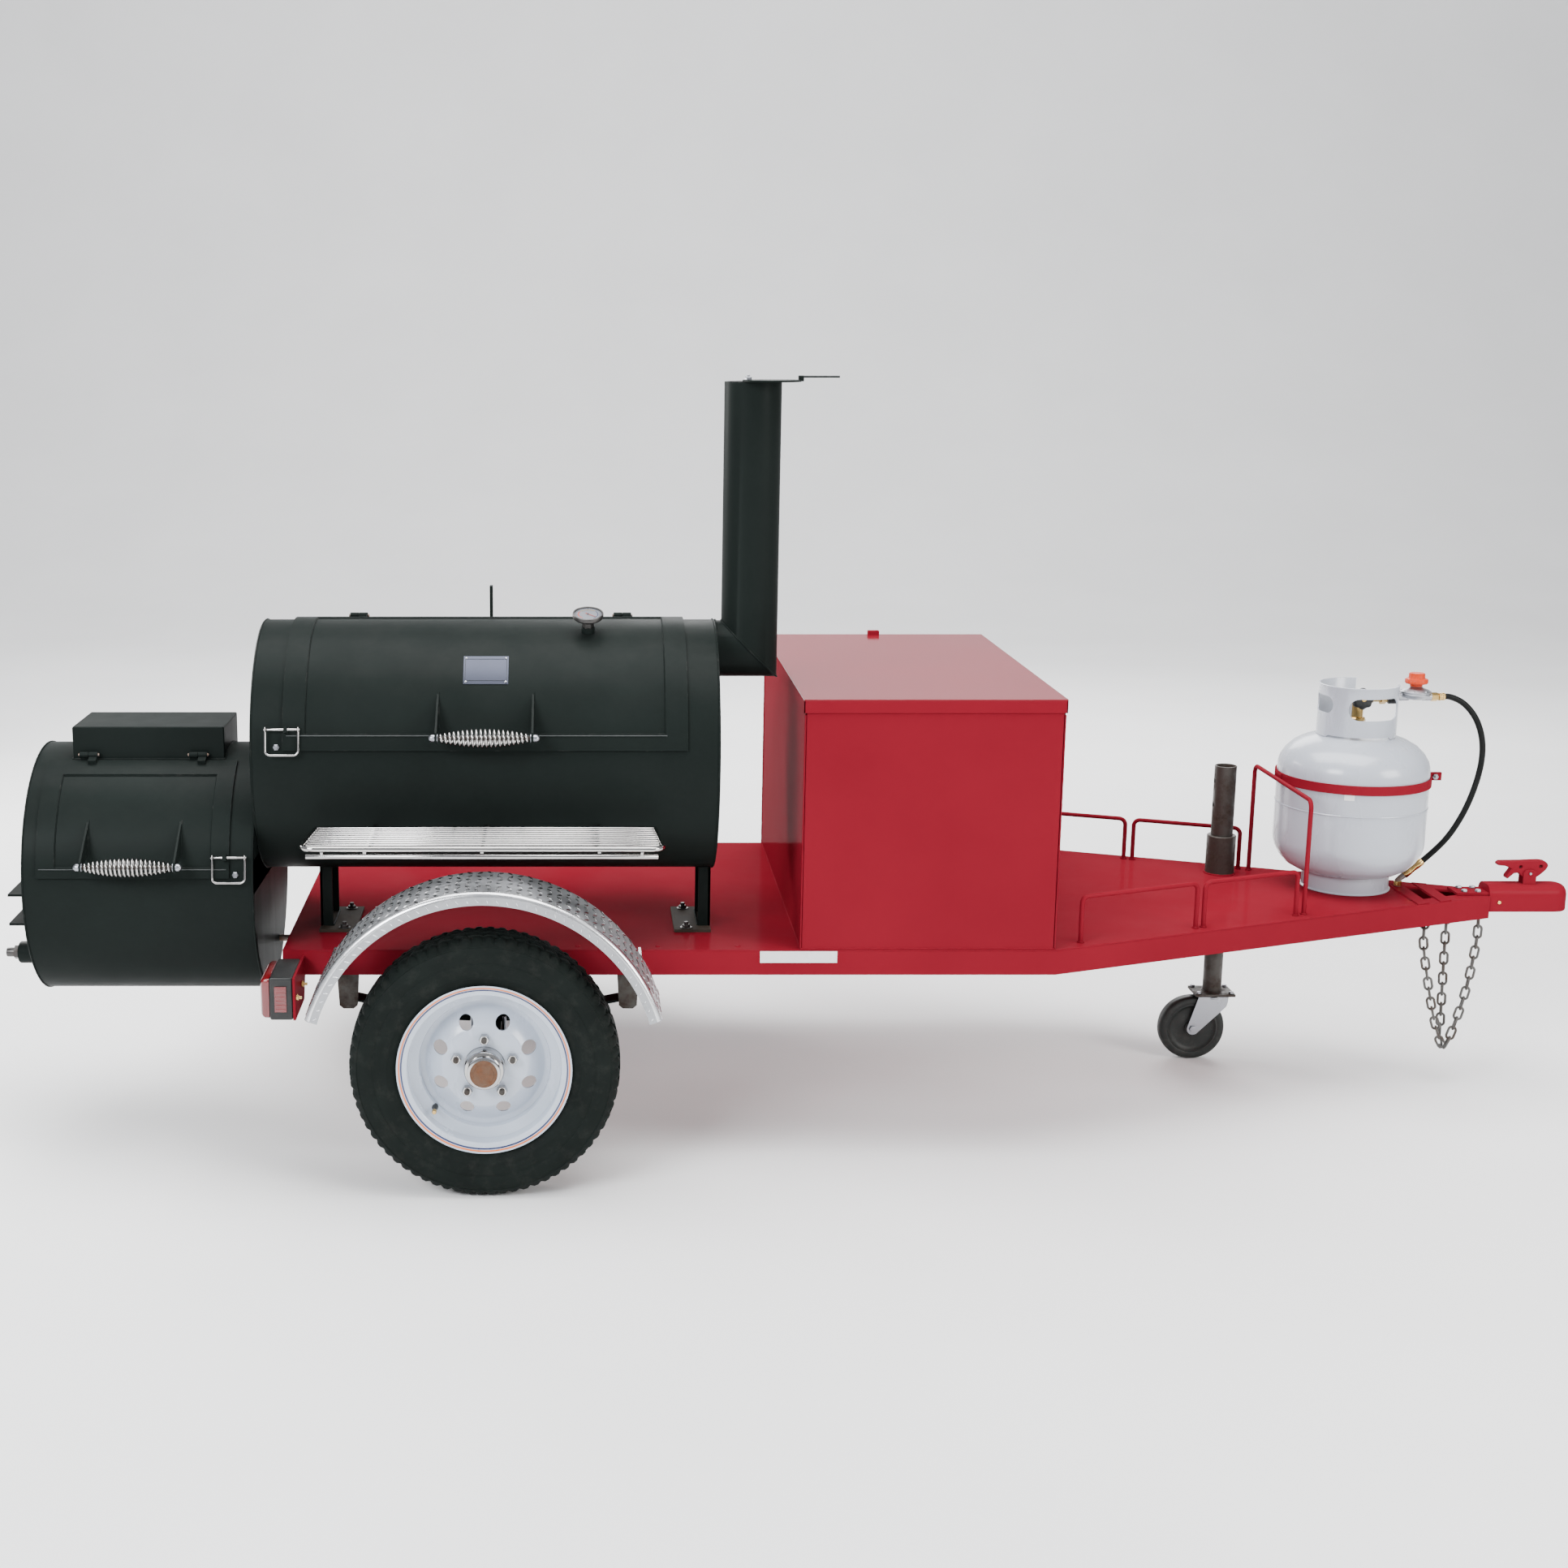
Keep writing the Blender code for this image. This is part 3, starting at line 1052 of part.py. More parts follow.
def build_stack():
    """The chimney: a mitred elbow out of the chamber's front end, with a swing damper on top."""
    level = DRUM_Z + DRUM_R - STACK_DROP
    start = DRUM_HALF_L + GAP
    path = [(start, DRUM_Y, level), (STACK_X, DRUM_Y, level), (STACK_X, DRUM_Y, STACK_TOP_Z)]
    stack = place("stack_pipe", tube(path, STACK_R, STACK_SIDES), BLACK)
    bore = [(start - 0.02, DRUM_Y, level), (STACK_X, DRUM_Y, level), (STACK_X, DRUM_Y, STACK_TOP_Z + 0.02)]
    cut(stack, tube(bore, STACK_R - STACK_WALL, STACK_SIDES))

    shut = math.radians(DAMPER_SHUT_DEG)
    arm = Vector((math.cos(shut), math.sin(shut), 0)) * DAMPER_ARM
    pivot = Vector((STACK_X, DRUM_Y, STACK_TOP_Z)) - arm
    lug = (pivot.x, pivot.y, 0)
    weld(stack, rod("Z", lug, 0.009, STACK_TOP_Z - 0.035, STACK_TOP_Z - 0.001, 12))
    weld(stack, rod("Z", lug, 0.0035, STACK_TOP_Z - 0.003, STACK_TOP_Z + 0.014, 12))
    bore_r = STACK_R - STACK_WALL - 0.0002
    bore_z = (STACK_TOP_Z - 0.06, STACK_TOP_Z - 0.004)
    cut(stack, rod("Z", (STACK_X, DRUM_Y, 0), bore_r, *bore_z, STACK_SIDES))
    low = STACK_TOP_Z + GAP
    disc = (pivot.x + DAMPER_ARM, pivot.y, low)
    damper = place("stack_damper", rod("Z", disc, DAMPER_R, 0.0, DAMPER_T, 24), BLACK, tuple(pivot))
    grip_x = (pivot.x + DAMPER_ARM + DAMPER_R - 0.006, pivot.x + DAMPER_HANDLE)
    grip_y = (pivot.y - 0.008, pivot.y + 0.008)
    weld(damper, block((grip_x[0], grip_x[0] + 0.010), grip_y, (low + 0.001, low + 0.012)))
    weld(damper, block(grip_x, (pivot.y - 0.0075, pivot.y + 0.0075), (low + 0.008, low + 0.0115)))
    cut(damper, rod("Z", lug, 0.0035 + RUNNING, STACK_TOP_Z - 0.01, STACK_TOP_Z + 0.03, 12))


# ---------------------------------------------------------------- storage box


def build_storage():
    """The storage box in front of the smoker and its hinged lid."""
    t = SHEET_T
    inset = t + 0.0006
    x = (STORE_X[0] + inset, STORE_X[1] - inset)
    half = STORE_HALF_W - inset
    low, top = DECK_TOP_Z + GAP, STORE_TOP_Z - t - GAP
    box = place("storage_box", block(x, (-half, half), (low, top)), RED)
    cut(box, block((x[0] + t, x[1] - t), (-half + t, half - t), (low + t, top + 0.01)))
    lid_low = STORE_TOP_Z - STORE_LIP
    axis_y, axis_z = STORE_HALF_W + 0.010, lid_low
    pivot = ((x[0] + x[1]) / 2, axis_y, axis_z)
    lid_block = block(STORE_X, (-STORE_HALF_W, STORE_HALF_W), (lid_low, STORE_TOP_Z))
    lid = place("storage_lid", lid_block, RED, pivot)
    inner_x = (STORE_X[0] + t, STORE_X[1] - t)
    cut(lid, block(inner_x, (-STORE_HALF_W + t, STORE_HALF_W - t), (lid_low - 0.01, STORE_TOP_Z - t)))
    for hinge_x in STORE_HINGES_X:
        fixed = (hinge_x - KNUCKLE_L - GAP + KNUCKLE_INSET, hinge_x - GAP - KNUCKLE_INSET)
        shelf_z = (lid_low - 0.014, lid_low - 0.004)
        weld(box, block(fixed, (half - 0.001, axis_y + 0.0055), shelf_z))
        riser_x = (fixed[0] + 0.0005, fixed[1] - 0.0005)
        weld(box, block(riser_x, (axis_y - 0.004, axis_y + 0.005), (lid_low - 0.013, axis_z - 0.001)))
        weld(box, knuckle(pivot, hinge_x - KNUCKLE_L / 2 - GAP, KNUCKLE_L))
        weld(box, knuckle(pivot, hinge_x, 2 * KNUCKLE_L - 2 * KNUCKLE_INSET, PIN_HINGE_R))
        moving = (hinge_x + KNUCKLE_INSET, hinge_x + KNUCKLE_L - KNUCKLE_INSET)
        weld(lid, block(moving, (STORE_HALF_W - 0.001, axis_y), (axis_z + 0.0005, axis_z + 0.0055)))
        weld(lid, knuckle(pivot, hinge_x + KNUCKLE_L / 2, KNUCKLE_L))
        cut(lid, rod("X", (hinge_x, axis_y, axis_z), PIN_HINGE_R + GAP, -0.004, KNUCKLE_L + 0.004, 12))
    middle = pivot[0]
    grip_y = (STORE_HALF_W - 0.018, STORE_HALF_W - 0.002)
    grip_z = (STORE_TOP_Z - 0.001, STORE_TOP_Z + 0.010)
    weld(lid, block((middle - 0.013, middle + 0.013), grip_y, grip_z))


# ---------------------------------------------------------------- coupler


def build_coupler():
    """The ball coupler on the tongue's tip, its latch lever, and the two safety chains."""
    nose_x = COUPLER_X + COUPLER_L - COUPLER_HALF_W
    outline = [(COUPLER_X, -COUPLER_HALF_W)]
    for k in range(13):
        turn = math.radians(-90 + 15 * k)
        outline.append((nose_x + COUPLER_HALF_W * math.cos(turn), COUPLER_HALF_W * math.sin(turn)))
    outline.append((COUPLER_X, COUPLER_HALF_W))
    coupler = place("coupler", prism(outline, "Z", *COUPLER_Z), RED)
    seat_x = (COUPLER_X - 0.070, COUPLER_X + 0.010)
    weld(coupler, block(seat_x, (-0.028, 0.028), (FRAME_TOP_Z + GAP, FRAME_TOP_Z + 0.006)))
    ball_z = COUPLER_Z[0] + 0.6 * BALL_R
    socket = [(0.0, 0.022)]
    for k in range(1, 5):
        turn = math.radians(90 * (1 - k / 4))
        socket.append(((BALL_R + 0.001) * math.cos(turn), 0.022 - BALL_R + BALL_R * math.sin(turn)))
    socket += [(BALL_R + 0.001, COUPLER_Z[0] - ball_z - 0.01), (0.0, COUPLER_Z[0] - ball_z - 0.01)]
    cut(coupler, revolve(socket, "Z", (BALL_X, 0, ball_z), 20))
    pivot = (COUPLER_X + LEVER_PIVOT[0], 0.0, LEVER_PIVOT[1])
    ears = []
    for side in (-1, 1):
        y = sorted((side * (LEVER_HALF_T + GAP), side * (LEVER_HALF_T + 0.004)))
        ears.append(block((pivot[0] - 0.014, pivot[0] + 0.014), y, (COUPLER_Z[1] - 0.003, pivot[2] + 0.009)))
    weld(coupler, merged(ears))
    weld(coupler, rod("Y", pivot, LEVER_PIN_R, -LEVER_HALF_T - 0.007, LEVER_HALF_T + 0.007))
    shape = ((-0.072, 0.024), (0.032, 0.027), (0.040, 0.016), (0.030, 0.002))
    shape += ((0.012, -0.012), (-0.014, -0.009), (-0.024, 0.001), (-0.034, -0.001))
    shape += ((-0.047, -0.013), (-0.050, -0.006), (-0.040, 0.010), (-0.054, 0.016))
    outline = [(pivot[0] + dx, pivot[2] + dz) for dx, dz in shape]
    lever = place("coupler_lever", prism(outline, "Y", -LEVER_HALF_T, LEVER_HALF_T), RED, pivot)
    cut(lever, rod("Y", pivot, LEVER_PIN_R + GAP, -0.02, 0.02))


def build_chains():
    """The two safety chains as plain cords under the tongue's tip."""
    top = FRAME_LOW_Z + 0.0005 - GAP
    rear = [(2.040, -0.030, top), (2.040, -0.030, 0.330), (2.060, -0.028, 0.230), (2.082, -0.026, 0.145)]
    rear += [(2.106, -0.024, 0.092), (2.128, -0.022, 0.145), (2.148, -0.020, 0.230), (2.160, -0.020, 0.330)]
    rear += [(2.160, -0.020, top)]
    place("safety_chain_loop", tube(rear, CHAIN_R, 6), ZINC)
    middle = [(2.104, 0.012, top), (2.104, 0.012, 0.330), (2.105, 0.008, 0.230), (2.106, 0.002, 0.110)]
    place("safety_chain_hook", tube(middle, CHAIN_R, 6), ZINC)


# ---------------------------------------------------------------- jack


def build_jack():
    """The tongue jack: a fixed sleeve, the leg that slides in it, and the swivel caster."""
    centre = (JACK_X, JACK_Y, 0.0)
    sleeve = ring("Z", centre, JACK_SLEEVE_R, JACK_SLEEVE_BORE_R, *JACK_SLEEVE_Z, 24)
    place("jack_sleeve", sleeve, RAW_STEEL, centre)
    plate_top = CASTER_PLATE_Z + CASTER_PLATE_T
    tube = rod("Z", centre, JACK_LEG_R, plate_top - 0.001, JACK_LEG_TOP_Z, 24)
    leg = place("jack_leg", tube, RAW_STEEL, centre)
    cut(leg, rod("Z", centre, JACK_LEG_BORE_R, plate_top - 0.01, JACK_LEG_TOP_Z + 0.01, 24))
    plate_x = (JACK_X - 0.045, JACK_X + 0.045)
    plate = block(plate_x, (JACK_Y - 0.036, JACK_Y + 0.036), (CASTER_PLATE_Z, plate_top))
    weld(leg, plate)
    cut(leg, rod("Z", centre, KING_PIN_R + RUNNING, CASTER_PLATE_Z - 0.01, plate_top + 0.02))

    fork_top = CASTER_PLATE_Z - GAP
    fork_low = fork_top - 2 * FORK_T
    inner = CASTER_HALF_W + 0.003
    outer = inner + FORK_T
    bridge_x = (JACK_X - 0.034, JACK_X + 0.034)
    bridge = block(bridge_x, (JACK_Y - outer, JACK_Y + outer), (fork_low, fork_top))
    fork = place("caster_fork", bridge, ZINC, centre)
    wheel_x = JACK_X - CASTER_TRAIL
    cheek = [(JACK_X - 0.034, fork_low + 0.002), (JACK_X + 0.034, fork_low + 0.002)]
    cheek += [(JACK_X + 0.030, fork_low - 0.022)]
    for k in range(7):
        turn = math.radians(-50 - 27 * k)
        cheek.append((wheel_x + 0.014 * math.cos(turn), CASTER_R + 0.014 * math.sin(turn)))
    for side in (-1, 1):
        y = sorted((JACK_Y + side * inner, JACK_Y + side * outer))
        weld(fork, prism(cheek, "Y", *y))
    weld(fork, rod("Y", (wheel_x, JACK_Y, CASTER_R), KING_PIN_R, -outer - 0.005, outer + 0.005))
    pin = [(0.0, fork_top - 0.002), (KING_PIN_R, fork_top - 0.002), (KING_PIN_R, plate_top + RUNNING)]
    pin += [(0.010, plate_top + RUNNING), (0.010, plate_top + 0.006), (0.0, plate_top + 0.006)]
    weld(fork, revolve(pin, "Z", centre, 12))
    wheel = [(KING_PIN_R + RUNNING, -0.018), (0.018, -0.018)]
    wheel += [(0.018, -CASTER_HALF_W + 0.004), (0.050, -CASTER_HALF_W + 0.004)]
    wheel += [(0.054, -CASTER_HALF_W), (0.070, -CASTER_HALF_W), (CASTER_R, -0.010)]
    spot = (wheel_x, JACK_Y, CASTER_R)
    place("caster_wheel", revolve(mirrored(wheel), "Y", spot, 16), HARD_RUBBER, spot)


# ---------------------------------------------------------------- gas cylinder


def build_tank():
    """The gas cylinder on its foot ring, with its collar, valve, regulator and strap."""
    base = (TANK_X, TANK_Y, DECK_TOP_Z + GAP)
    t = TANK_SHELL_T
    dome = [(0.060, 0.030), (0.110, 0.042), (0.145, 0.070), (TANK_R, 0.105)]
    crown = [(TANK_R, 0.270), (0.145, 0.305), (0.110, 0.332), (0.060, 0.348), (0.022, 0.352)]
    outer = [(0.0, 0.028)] + dome + crown + [(0.022, 0.362), (NECK_R, 0.362)]
    inner = [(NECK_R, 0.348), (0.059, 0.345), (0.108, 0.3295), (0.1425, 0.303), (TANK_R - t, 0.269)]
    inner += [(TANK_R - t, 0.106), (0.1425, 0.072), (0.108, 0.0445), (0.059, 0.033), (0.0, 0.031)]
    shell = place("tank_shell", revolve(outer + inner, "Z", base, 20), TANK_WHITE, base)
    weld(shell, ring("Z", base, FOOT_RING_R, FOOT_RING_R - t, 0.0, 0.0385, 20))

    start = COLLAR_OPEN_DEG[1]
    sweep = 360.0 - (COLLAR_OPEN_DEG[1] - COLLAR_OPEN_DEG[0])
    collar_shape = ring("Z", base, COLLAR_R, COLLAR_R - COLLAR_T, *COLLAR_Z, 29, start, sweep)
    collar = place("tank_collar", collar_shape, TANK_WHITE, base)
    for first, last, low, high in COLLAR_WINDOWS:
        window = ring("Z", base, COLLAR_R + 0.01, COLLAR_R - 0.01, low, high, 8, first, last - first)
        cut(collar, window)

    valve_profile = [(0.0, 0.352), (NECK_R - GAP, 0.352), (NECK_R - GAP, 0.362 + GAP), (0.017, 0.362 + GAP)]
    valve_profile += [(0.017, 0.380), (0.012, 0.382), (0.012, VALVE_Z + 0.004), (0.0, VALVE_Z + 0.004)]
    valve = place("tank_valve", revolve(valve_profile, "Z", base, 16), BRASS, base)
    level = (TANK_X, TANK_Y, base[2] + VALVE_Z)
    port = [(0.0, -0.036), (0.008, -0.036), (0.008, -0.014)]
    port += [(0.0135, -0.010), (0.0135, 0.030), (0.011, 0.032)]
    port += [(0.011, 0.046), (0.015, 0.048), (0.015, 0.062), (0.0, 0.062)]
    weld(valve, revolve([(r, h) for r, h in port], "X", level, 12))
    weld(valve, rod("Y", level, 0.005, -0.034, 0.0, 10))
    grip = [(0.0055, -0.036), (0.021, -0.034), (0.024, -0.028), (0.024, -0.018), (0.0055, -0.018)]
    place("tank_handwheel", revolve(grip, "Y", level, 16), PLASTIC, level)

    body_spot = (TANK_X + REGULATOR_OUT, TANK_Y, base[2] + REGULATOR_Z)
    body = [(0.0, -0.014), (0.020, -0.014), (0.030, -0.006), (0.0325, 0.0), (0.030, 0.006), (0.014, 0.012)]
    body += [(0.010, 0.0145), (0.0, 0.0145)]
    regulator = place("regulator", revolve(body, "Z", body_spot, 20), CAST_GREY, body_spot)
    inlet = (body_spot[0], body_spot[1], level[2])
    reach = REGULATOR_OUT - 0.062 - GAP
    weld(regulator, rod("X", inlet, 0.0085, -reach, -0.015))
    weld(regulator, rod("X", inlet, 0.0085, 0.015, REGULATOR_EXIT))
    knob = [(0.0, 0.0145 + GAP), (0.013, 0.0145 + GAP), (0.013, 0.019), (0.024, 0.021), (0.024, 0.031)]
    knob += [(0.017, 0.034), (0.017, 0.044), (0.0, 0.044)]
    place("regulator_knob", revolve(knob, "Z", body_spot, 16), ORANGE, body_spot)

    strap_spot = (base[0], base[1], base[2] + STRAP_Z - STRAP_H / 2)
    inside = TANK_R + 0.0006
    strap_shape = ring("Z", strap_spot, inside + STRAP_T, inside, 0.0, STRAP_H, 20)
    strap = place("tank_strap", strap_shape, RED, strap_spot)
    strap_z = (strap_spot[2] + 0.001, strap_spot[2] + STRAP_H - 0.001)
    ear_x = (TANK_X + TANK_R + 0.002, TANK_X + TANK_R + 0.036)
    weld(strap, block(ear_x, (TANK_Y - 0.003, TANK_Y + 0.003), strap_z))
    tab_x = (TANK_GUARD_X + GUARD_ROD_R + GAP, TANK_X - TANK_R - 0.002)
    weld(strap, block(tab_x, (TANK_Y - 0.02, TANK_Y + 0.02), strap_z))


def build_gas_line():
    """The hose from the regulator to the tongue, and the pipe that runs under the deck into the firebox."""
    start = (TANK_X + REGULATOR_OUT + REGULATOR_EXIT + GAP, TANK_Y, DECK_TOP_Z + GAP + VALVE_Z)
    tip = Vector((PIPE_X, TANK_Y, PIPE_RISE_Z)) + Vector(PIPE_TIP)
    heading = Vector(PIPE_TIP).normalized()
    end = tip + heading * GAP
    route = [Vector(start), Vector((2.086, 0.050, 0.8660))]
    route += [Vector((2.118, 0.050, 0.850)), Vector((2.146, 0.050, 0.817))]
    route += [Vector((2.163, 0.050, 0.772)), Vector((2.166, 0.050, 0.722)), Vector((2.156, 0.050, 0.664))]
    route += [Vector((2.136, 0.050, 0.606)), Vector((2.106, 0.050, 0.552))]
    route += [Vector((2.066, 0.050, 0.508)), end]
    place("gas_hose", tube(route, HOSE_R, 10), HOSE)
    path = [tip, (PIPE_X, TANK_Y, PIPE_RISE_Z), (PIPE_X, TANK_Y, PIPE_Z), (1.200, TANK_Y, PIPE_Z)]
    path += [(0.900, BURNER_Y, PIPE_Z), (BURNER_END_X, BURNER_Y, PIPE_Z)]
    place("gas_pipe", tube(path, PIPE_R, 10), RAW_STEEL)


build_frame()
build_deck()
build_rear_lamps()
build_guards()
build_axle()
build_springs()
build_wheels()
build_fenders()
build_chamber()
build_legs()
build_shelf()
build_firebox()
build_stack()
build_storage()
build_coupler()
build_chains()
build_jack()
build_tank()
build_gas_line()
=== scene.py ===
"""Visual scene of the trailer smoker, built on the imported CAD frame. Metres, +X forward, +Z up."""

import math
import random

import bmesh
import bpy
from mathutils import Matrix, Vector


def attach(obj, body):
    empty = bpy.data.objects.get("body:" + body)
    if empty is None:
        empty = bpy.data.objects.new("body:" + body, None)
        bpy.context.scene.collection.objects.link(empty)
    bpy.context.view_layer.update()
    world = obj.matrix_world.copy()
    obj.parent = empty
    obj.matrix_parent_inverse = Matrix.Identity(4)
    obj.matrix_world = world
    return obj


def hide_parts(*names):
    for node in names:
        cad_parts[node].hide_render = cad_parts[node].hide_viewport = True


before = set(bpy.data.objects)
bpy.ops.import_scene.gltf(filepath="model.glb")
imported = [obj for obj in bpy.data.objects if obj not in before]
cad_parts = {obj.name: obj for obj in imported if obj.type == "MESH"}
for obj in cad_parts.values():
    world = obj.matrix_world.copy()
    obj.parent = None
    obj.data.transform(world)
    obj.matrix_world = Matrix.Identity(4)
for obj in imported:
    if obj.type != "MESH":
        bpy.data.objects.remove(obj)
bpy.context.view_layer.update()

AXLE_X = -0.6905  # the axle's place along the row frame; shapes below measure X from it
DRUM_Y = -0.240  # both drums' axis, across the trailer
DRUM_R = 0.254  # both drums, outside
CHAMBER_Z = 0.819  # the cooking drum's axis above the ground
DECK_SEAT = 0.4413  # the deck's top plus the gap that parts on it keep
HUB_Z = 0.262  # wheel centres above the ground
TRACK_Y = 0.610  # wheel centres from the centre plane
rng = random.Random(7)


# ---------------------------------------------------------------- materials


def material(name, metallic=0.0, roughness=0.5, coat=0.0, coat_rough=0.1, shine=0.5):
    """A Principled material with its constants set on the shader; returns (material, nodes, links, shader)."""
    mat = bpy.data.materials.new(name)
    mat.use_nodes = True
    tree = mat.node_tree
    shader = tree.nodes["Principled BSDF"]
    shader.inputs["Metallic"].default_value = metallic
    shader.inputs["Roughness"].default_value = roughness
    shader.inputs["Coat Weight"].default_value = coat
    shader.inputs["Coat Roughness"].default_value = coat_rough
    shader.inputs["Specular IOR Level"].default_value = shine
    return mat, tree.nodes, tree.links, shader


def noise(nodes, links, scale, detail=4.0, rough=0.55, stretch=(1, 1, 1), seed=0.0):
    """A noise texture on object coordinates; returns its factor socket."""
    place = nodes.new("ShaderNodeTexCoord")
    turn = nodes.new("ShaderNodeMapping")
    turn.inputs["Scale"].default_value = stretch
    turn.inputs["Location"].default_value = (seed, seed * 0.7, seed * 1.3)
    tex = nodes.new("ShaderNodeTexNoise")
    tex.inputs["Scale"].default_value = scale
    tex.inputs["Detail"].default_value = detail
    tex.inputs["Roughness"].default_value = rough
    links.new(place.outputs["Object"], turn.inputs["Vector"])
    links.new(turn.outputs["Vector"], tex.inputs["Vector"])
    return tex.outputs["Fac"]


def ramp(nodes, links, source, stops):
    """A colour ramp from (position, colour) stops; returns its colour socket."""
    node = nodes.new("ShaderNodeValToRGB")
    band = node.color_ramp
    while len(band.elements) < len(stops):
        band.elements.new(0.5)
    for element, (at, colour) in zip(band.elements, stops):
        element.position = at
        element.color = (*colour, 1.0) if len(colour) == 3 else colour
    links.new(source, node.inputs["Fac"])
    return node.outputs["Color"]


def grey(value):
    """A grey as the three channels that a colour ramp takes."""
    return (value, value, value)


def mix(nodes, links, factor, first, second, mode="MIX"):
    """Mixes two colour sockets or colours by a factor socket or number; returns the result."""
    node = nodes.new("ShaderNodeMix")
    node.data_type = "RGBA"
    node.blend_type = mode
    for socket, value in ((node.inputs[0], factor), (node.inputs[6], first), (node.inputs[7], second)):
        if isinstance(value, bpy.types.NodeSocket):
            links.new(value, socket)
        elif isinstance(value, tuple):
            socket.default_value = (*value, 1.0) if len(value) == 3 else value
        else:
            socket.default_value = value
    return node.outputs[2]


def bump(nodes, links, shader, height, strength, distance=0.001):
    """Feeds a height socket to the shader's normal; later calls stack on earlier ones."""
    node = nodes.new("ShaderNodeBump")
    node.inputs["Strength"].default_value = strength
    node.inputs["Distance"].default_value = distance
    links.new(height, node.inputs["Height"])
    socket = shader.inputs["Normal"]
    if socket.is_linked:
        links.new(socket.links[0].from_socket, node.inputs["Normal"])
    links.new(node.outputs["Normal"], socket)


def edges(nodes, links, low=0.04, high=0.22):
    """White within a millimetre or so of an edge, broken up by noise."""
    shape = nodes.new("ShaderNodeNewGeometry")
    soft = nodes.new("ShaderNodeBevel")
    soft.samples = 4
    soft.inputs["Radius"].default_value = 0.0016
    turn = nodes.new("ShaderNodeVectorMath")
    turn.operation = "DOT_PRODUCT"
    links.new(soft.outputs["Normal"], turn.inputs[0])
    links.new(shape.outputs["Normal"], turn.inputs[1])
    bend = nodes.new("ShaderNodeMath")
    bend.operation = "SUBTRACT"
    bend.inputs[0].default_value = 1.0
    links.new(turn.outputs["Value"], bend.inputs[1])
    worn = ramp(nodes, links, bend.outputs[0], [(low, grey(0)), (high, grey(1))])
    patch = ramp(
        nodes, links, noise(nodes, links, 55.0, 6.0, 0.65, seed=3.0), [(0.54, grey(0)), (0.66, grey(0.8))]
    )
    return mix(nodes, links, 1.0, worn, patch, "MULTIPLY")


def upward(nodes, links, low=0.3, high=1.0):
    """White where a face looks up, for settled dust."""
    shape = nodes.new("ShaderNodeNewGeometry")
    split = nodes.new("ShaderNodeSeparateXYZ")
    links.new(shape.outputs["Normal"], split.inputs[0])
    return ramp(nodes, links, split.outputs["Z"], [(low, grey(0)), (high, grey(1))])


def painted(
    name, colour, rough, coat, peel, dust=0.12, under=(0.10, 0.09, 0.085), coat_rough=0.12, mottle=0.12,
    shine=0.5
):
    """Paint over steel: soft mottling, orange peel, dust on upward faces and chips along edges."""
    mat, nodes, links, shader = material(name, 0.0, rough, coat, coat_rough, shine)
    cloud = noise(nodes, links, 3.2, 5.0)
    dark = tuple(c * (1 - mottle) for c in colour)
    light = tuple(min(1.0, c * (1 + mottle)) for c in colour)
    base = ramp(nodes, links, cloud, [(0.30, dark), (0.70, light)])
    haze = mix(
        nodes, links, 1.0, upward(nodes, links),
        ramp(
            nodes, links, noise(nodes, links, 9.0, 8.0, 0.7, seed=5.0),
            [(0.42, grey(0)), (0.75, grey(dust * 2.2))]
        ),
        "MULTIPLY"
    )
    base = mix(nodes, links, haze, base, (0.42, 0.39, 0.36))
    chips = edges(nodes, links)
    base = mix(nodes, links, chips, base, under)
    links.new(base, shader.inputs["Base Color"])
    smear = noise(nodes, links, 14.0, 6.0, 0.6, (1, 1, 0.35), seed=2.0)
    links.new(
        ramp(nodes, links, smear, [(0.3, grey(max(0.0, rough - 0.03))), (0.75, grey(rough + 0.04))]),
        shader.inputs["Roughness"]
    )
    bump(nodes, links, shader, noise(nodes, links, peel, 2.0), 0.10, 0.0006)
    bump(nodes, links, shader, noise(nodes, links, 6.0, 3.0, seed=9.0), 0.10, 0.004)
    return mat


def metal(
    name, colour, rough, grain=None, tarnish=(0.25, 0.22, 0.19), amount=0.25, spots=40.0, depth=0.05
):
    """Bare or plated metal with cloudy roughness, tarnish spots and, if given, a brushed grain."""
    mat, nodes, links, shader = material(name, 1.0, rough)
    cloud = noise(nodes, links, 11.0, 6.0, 0.65)
    stain = ramp(
        nodes, links, noise(nodes, links, spots, 8.0, 0.7, seed=4.0),
        [(0.56, grey(0)), (0.74, grey(amount))]
    )
    base = ramp(nodes, links, cloud, [(0.3, tuple(c * 0.86 for c in colour)), (0.7, colour)])
    links.new(mix(nodes, links, stain, base, tarnish), shader.inputs["Base Color"])
    links.new(
        ramp(nodes, links, cloud, [(0.3, grey(rough * 0.8)), (0.7, grey(min(1, rough * 1.35)))]),
        shader.inputs["Roughness"]
    )
    if grain:
        bump(nodes, links, shader, noise(nodes, links, 220.0, 3.0, 0.5, grain), depth, 0.0004)
    bump(nodes, links, shader, noise(nodes, links, 90.0, 4.0, seed=8.0), depth, 0.0004)
    return mat


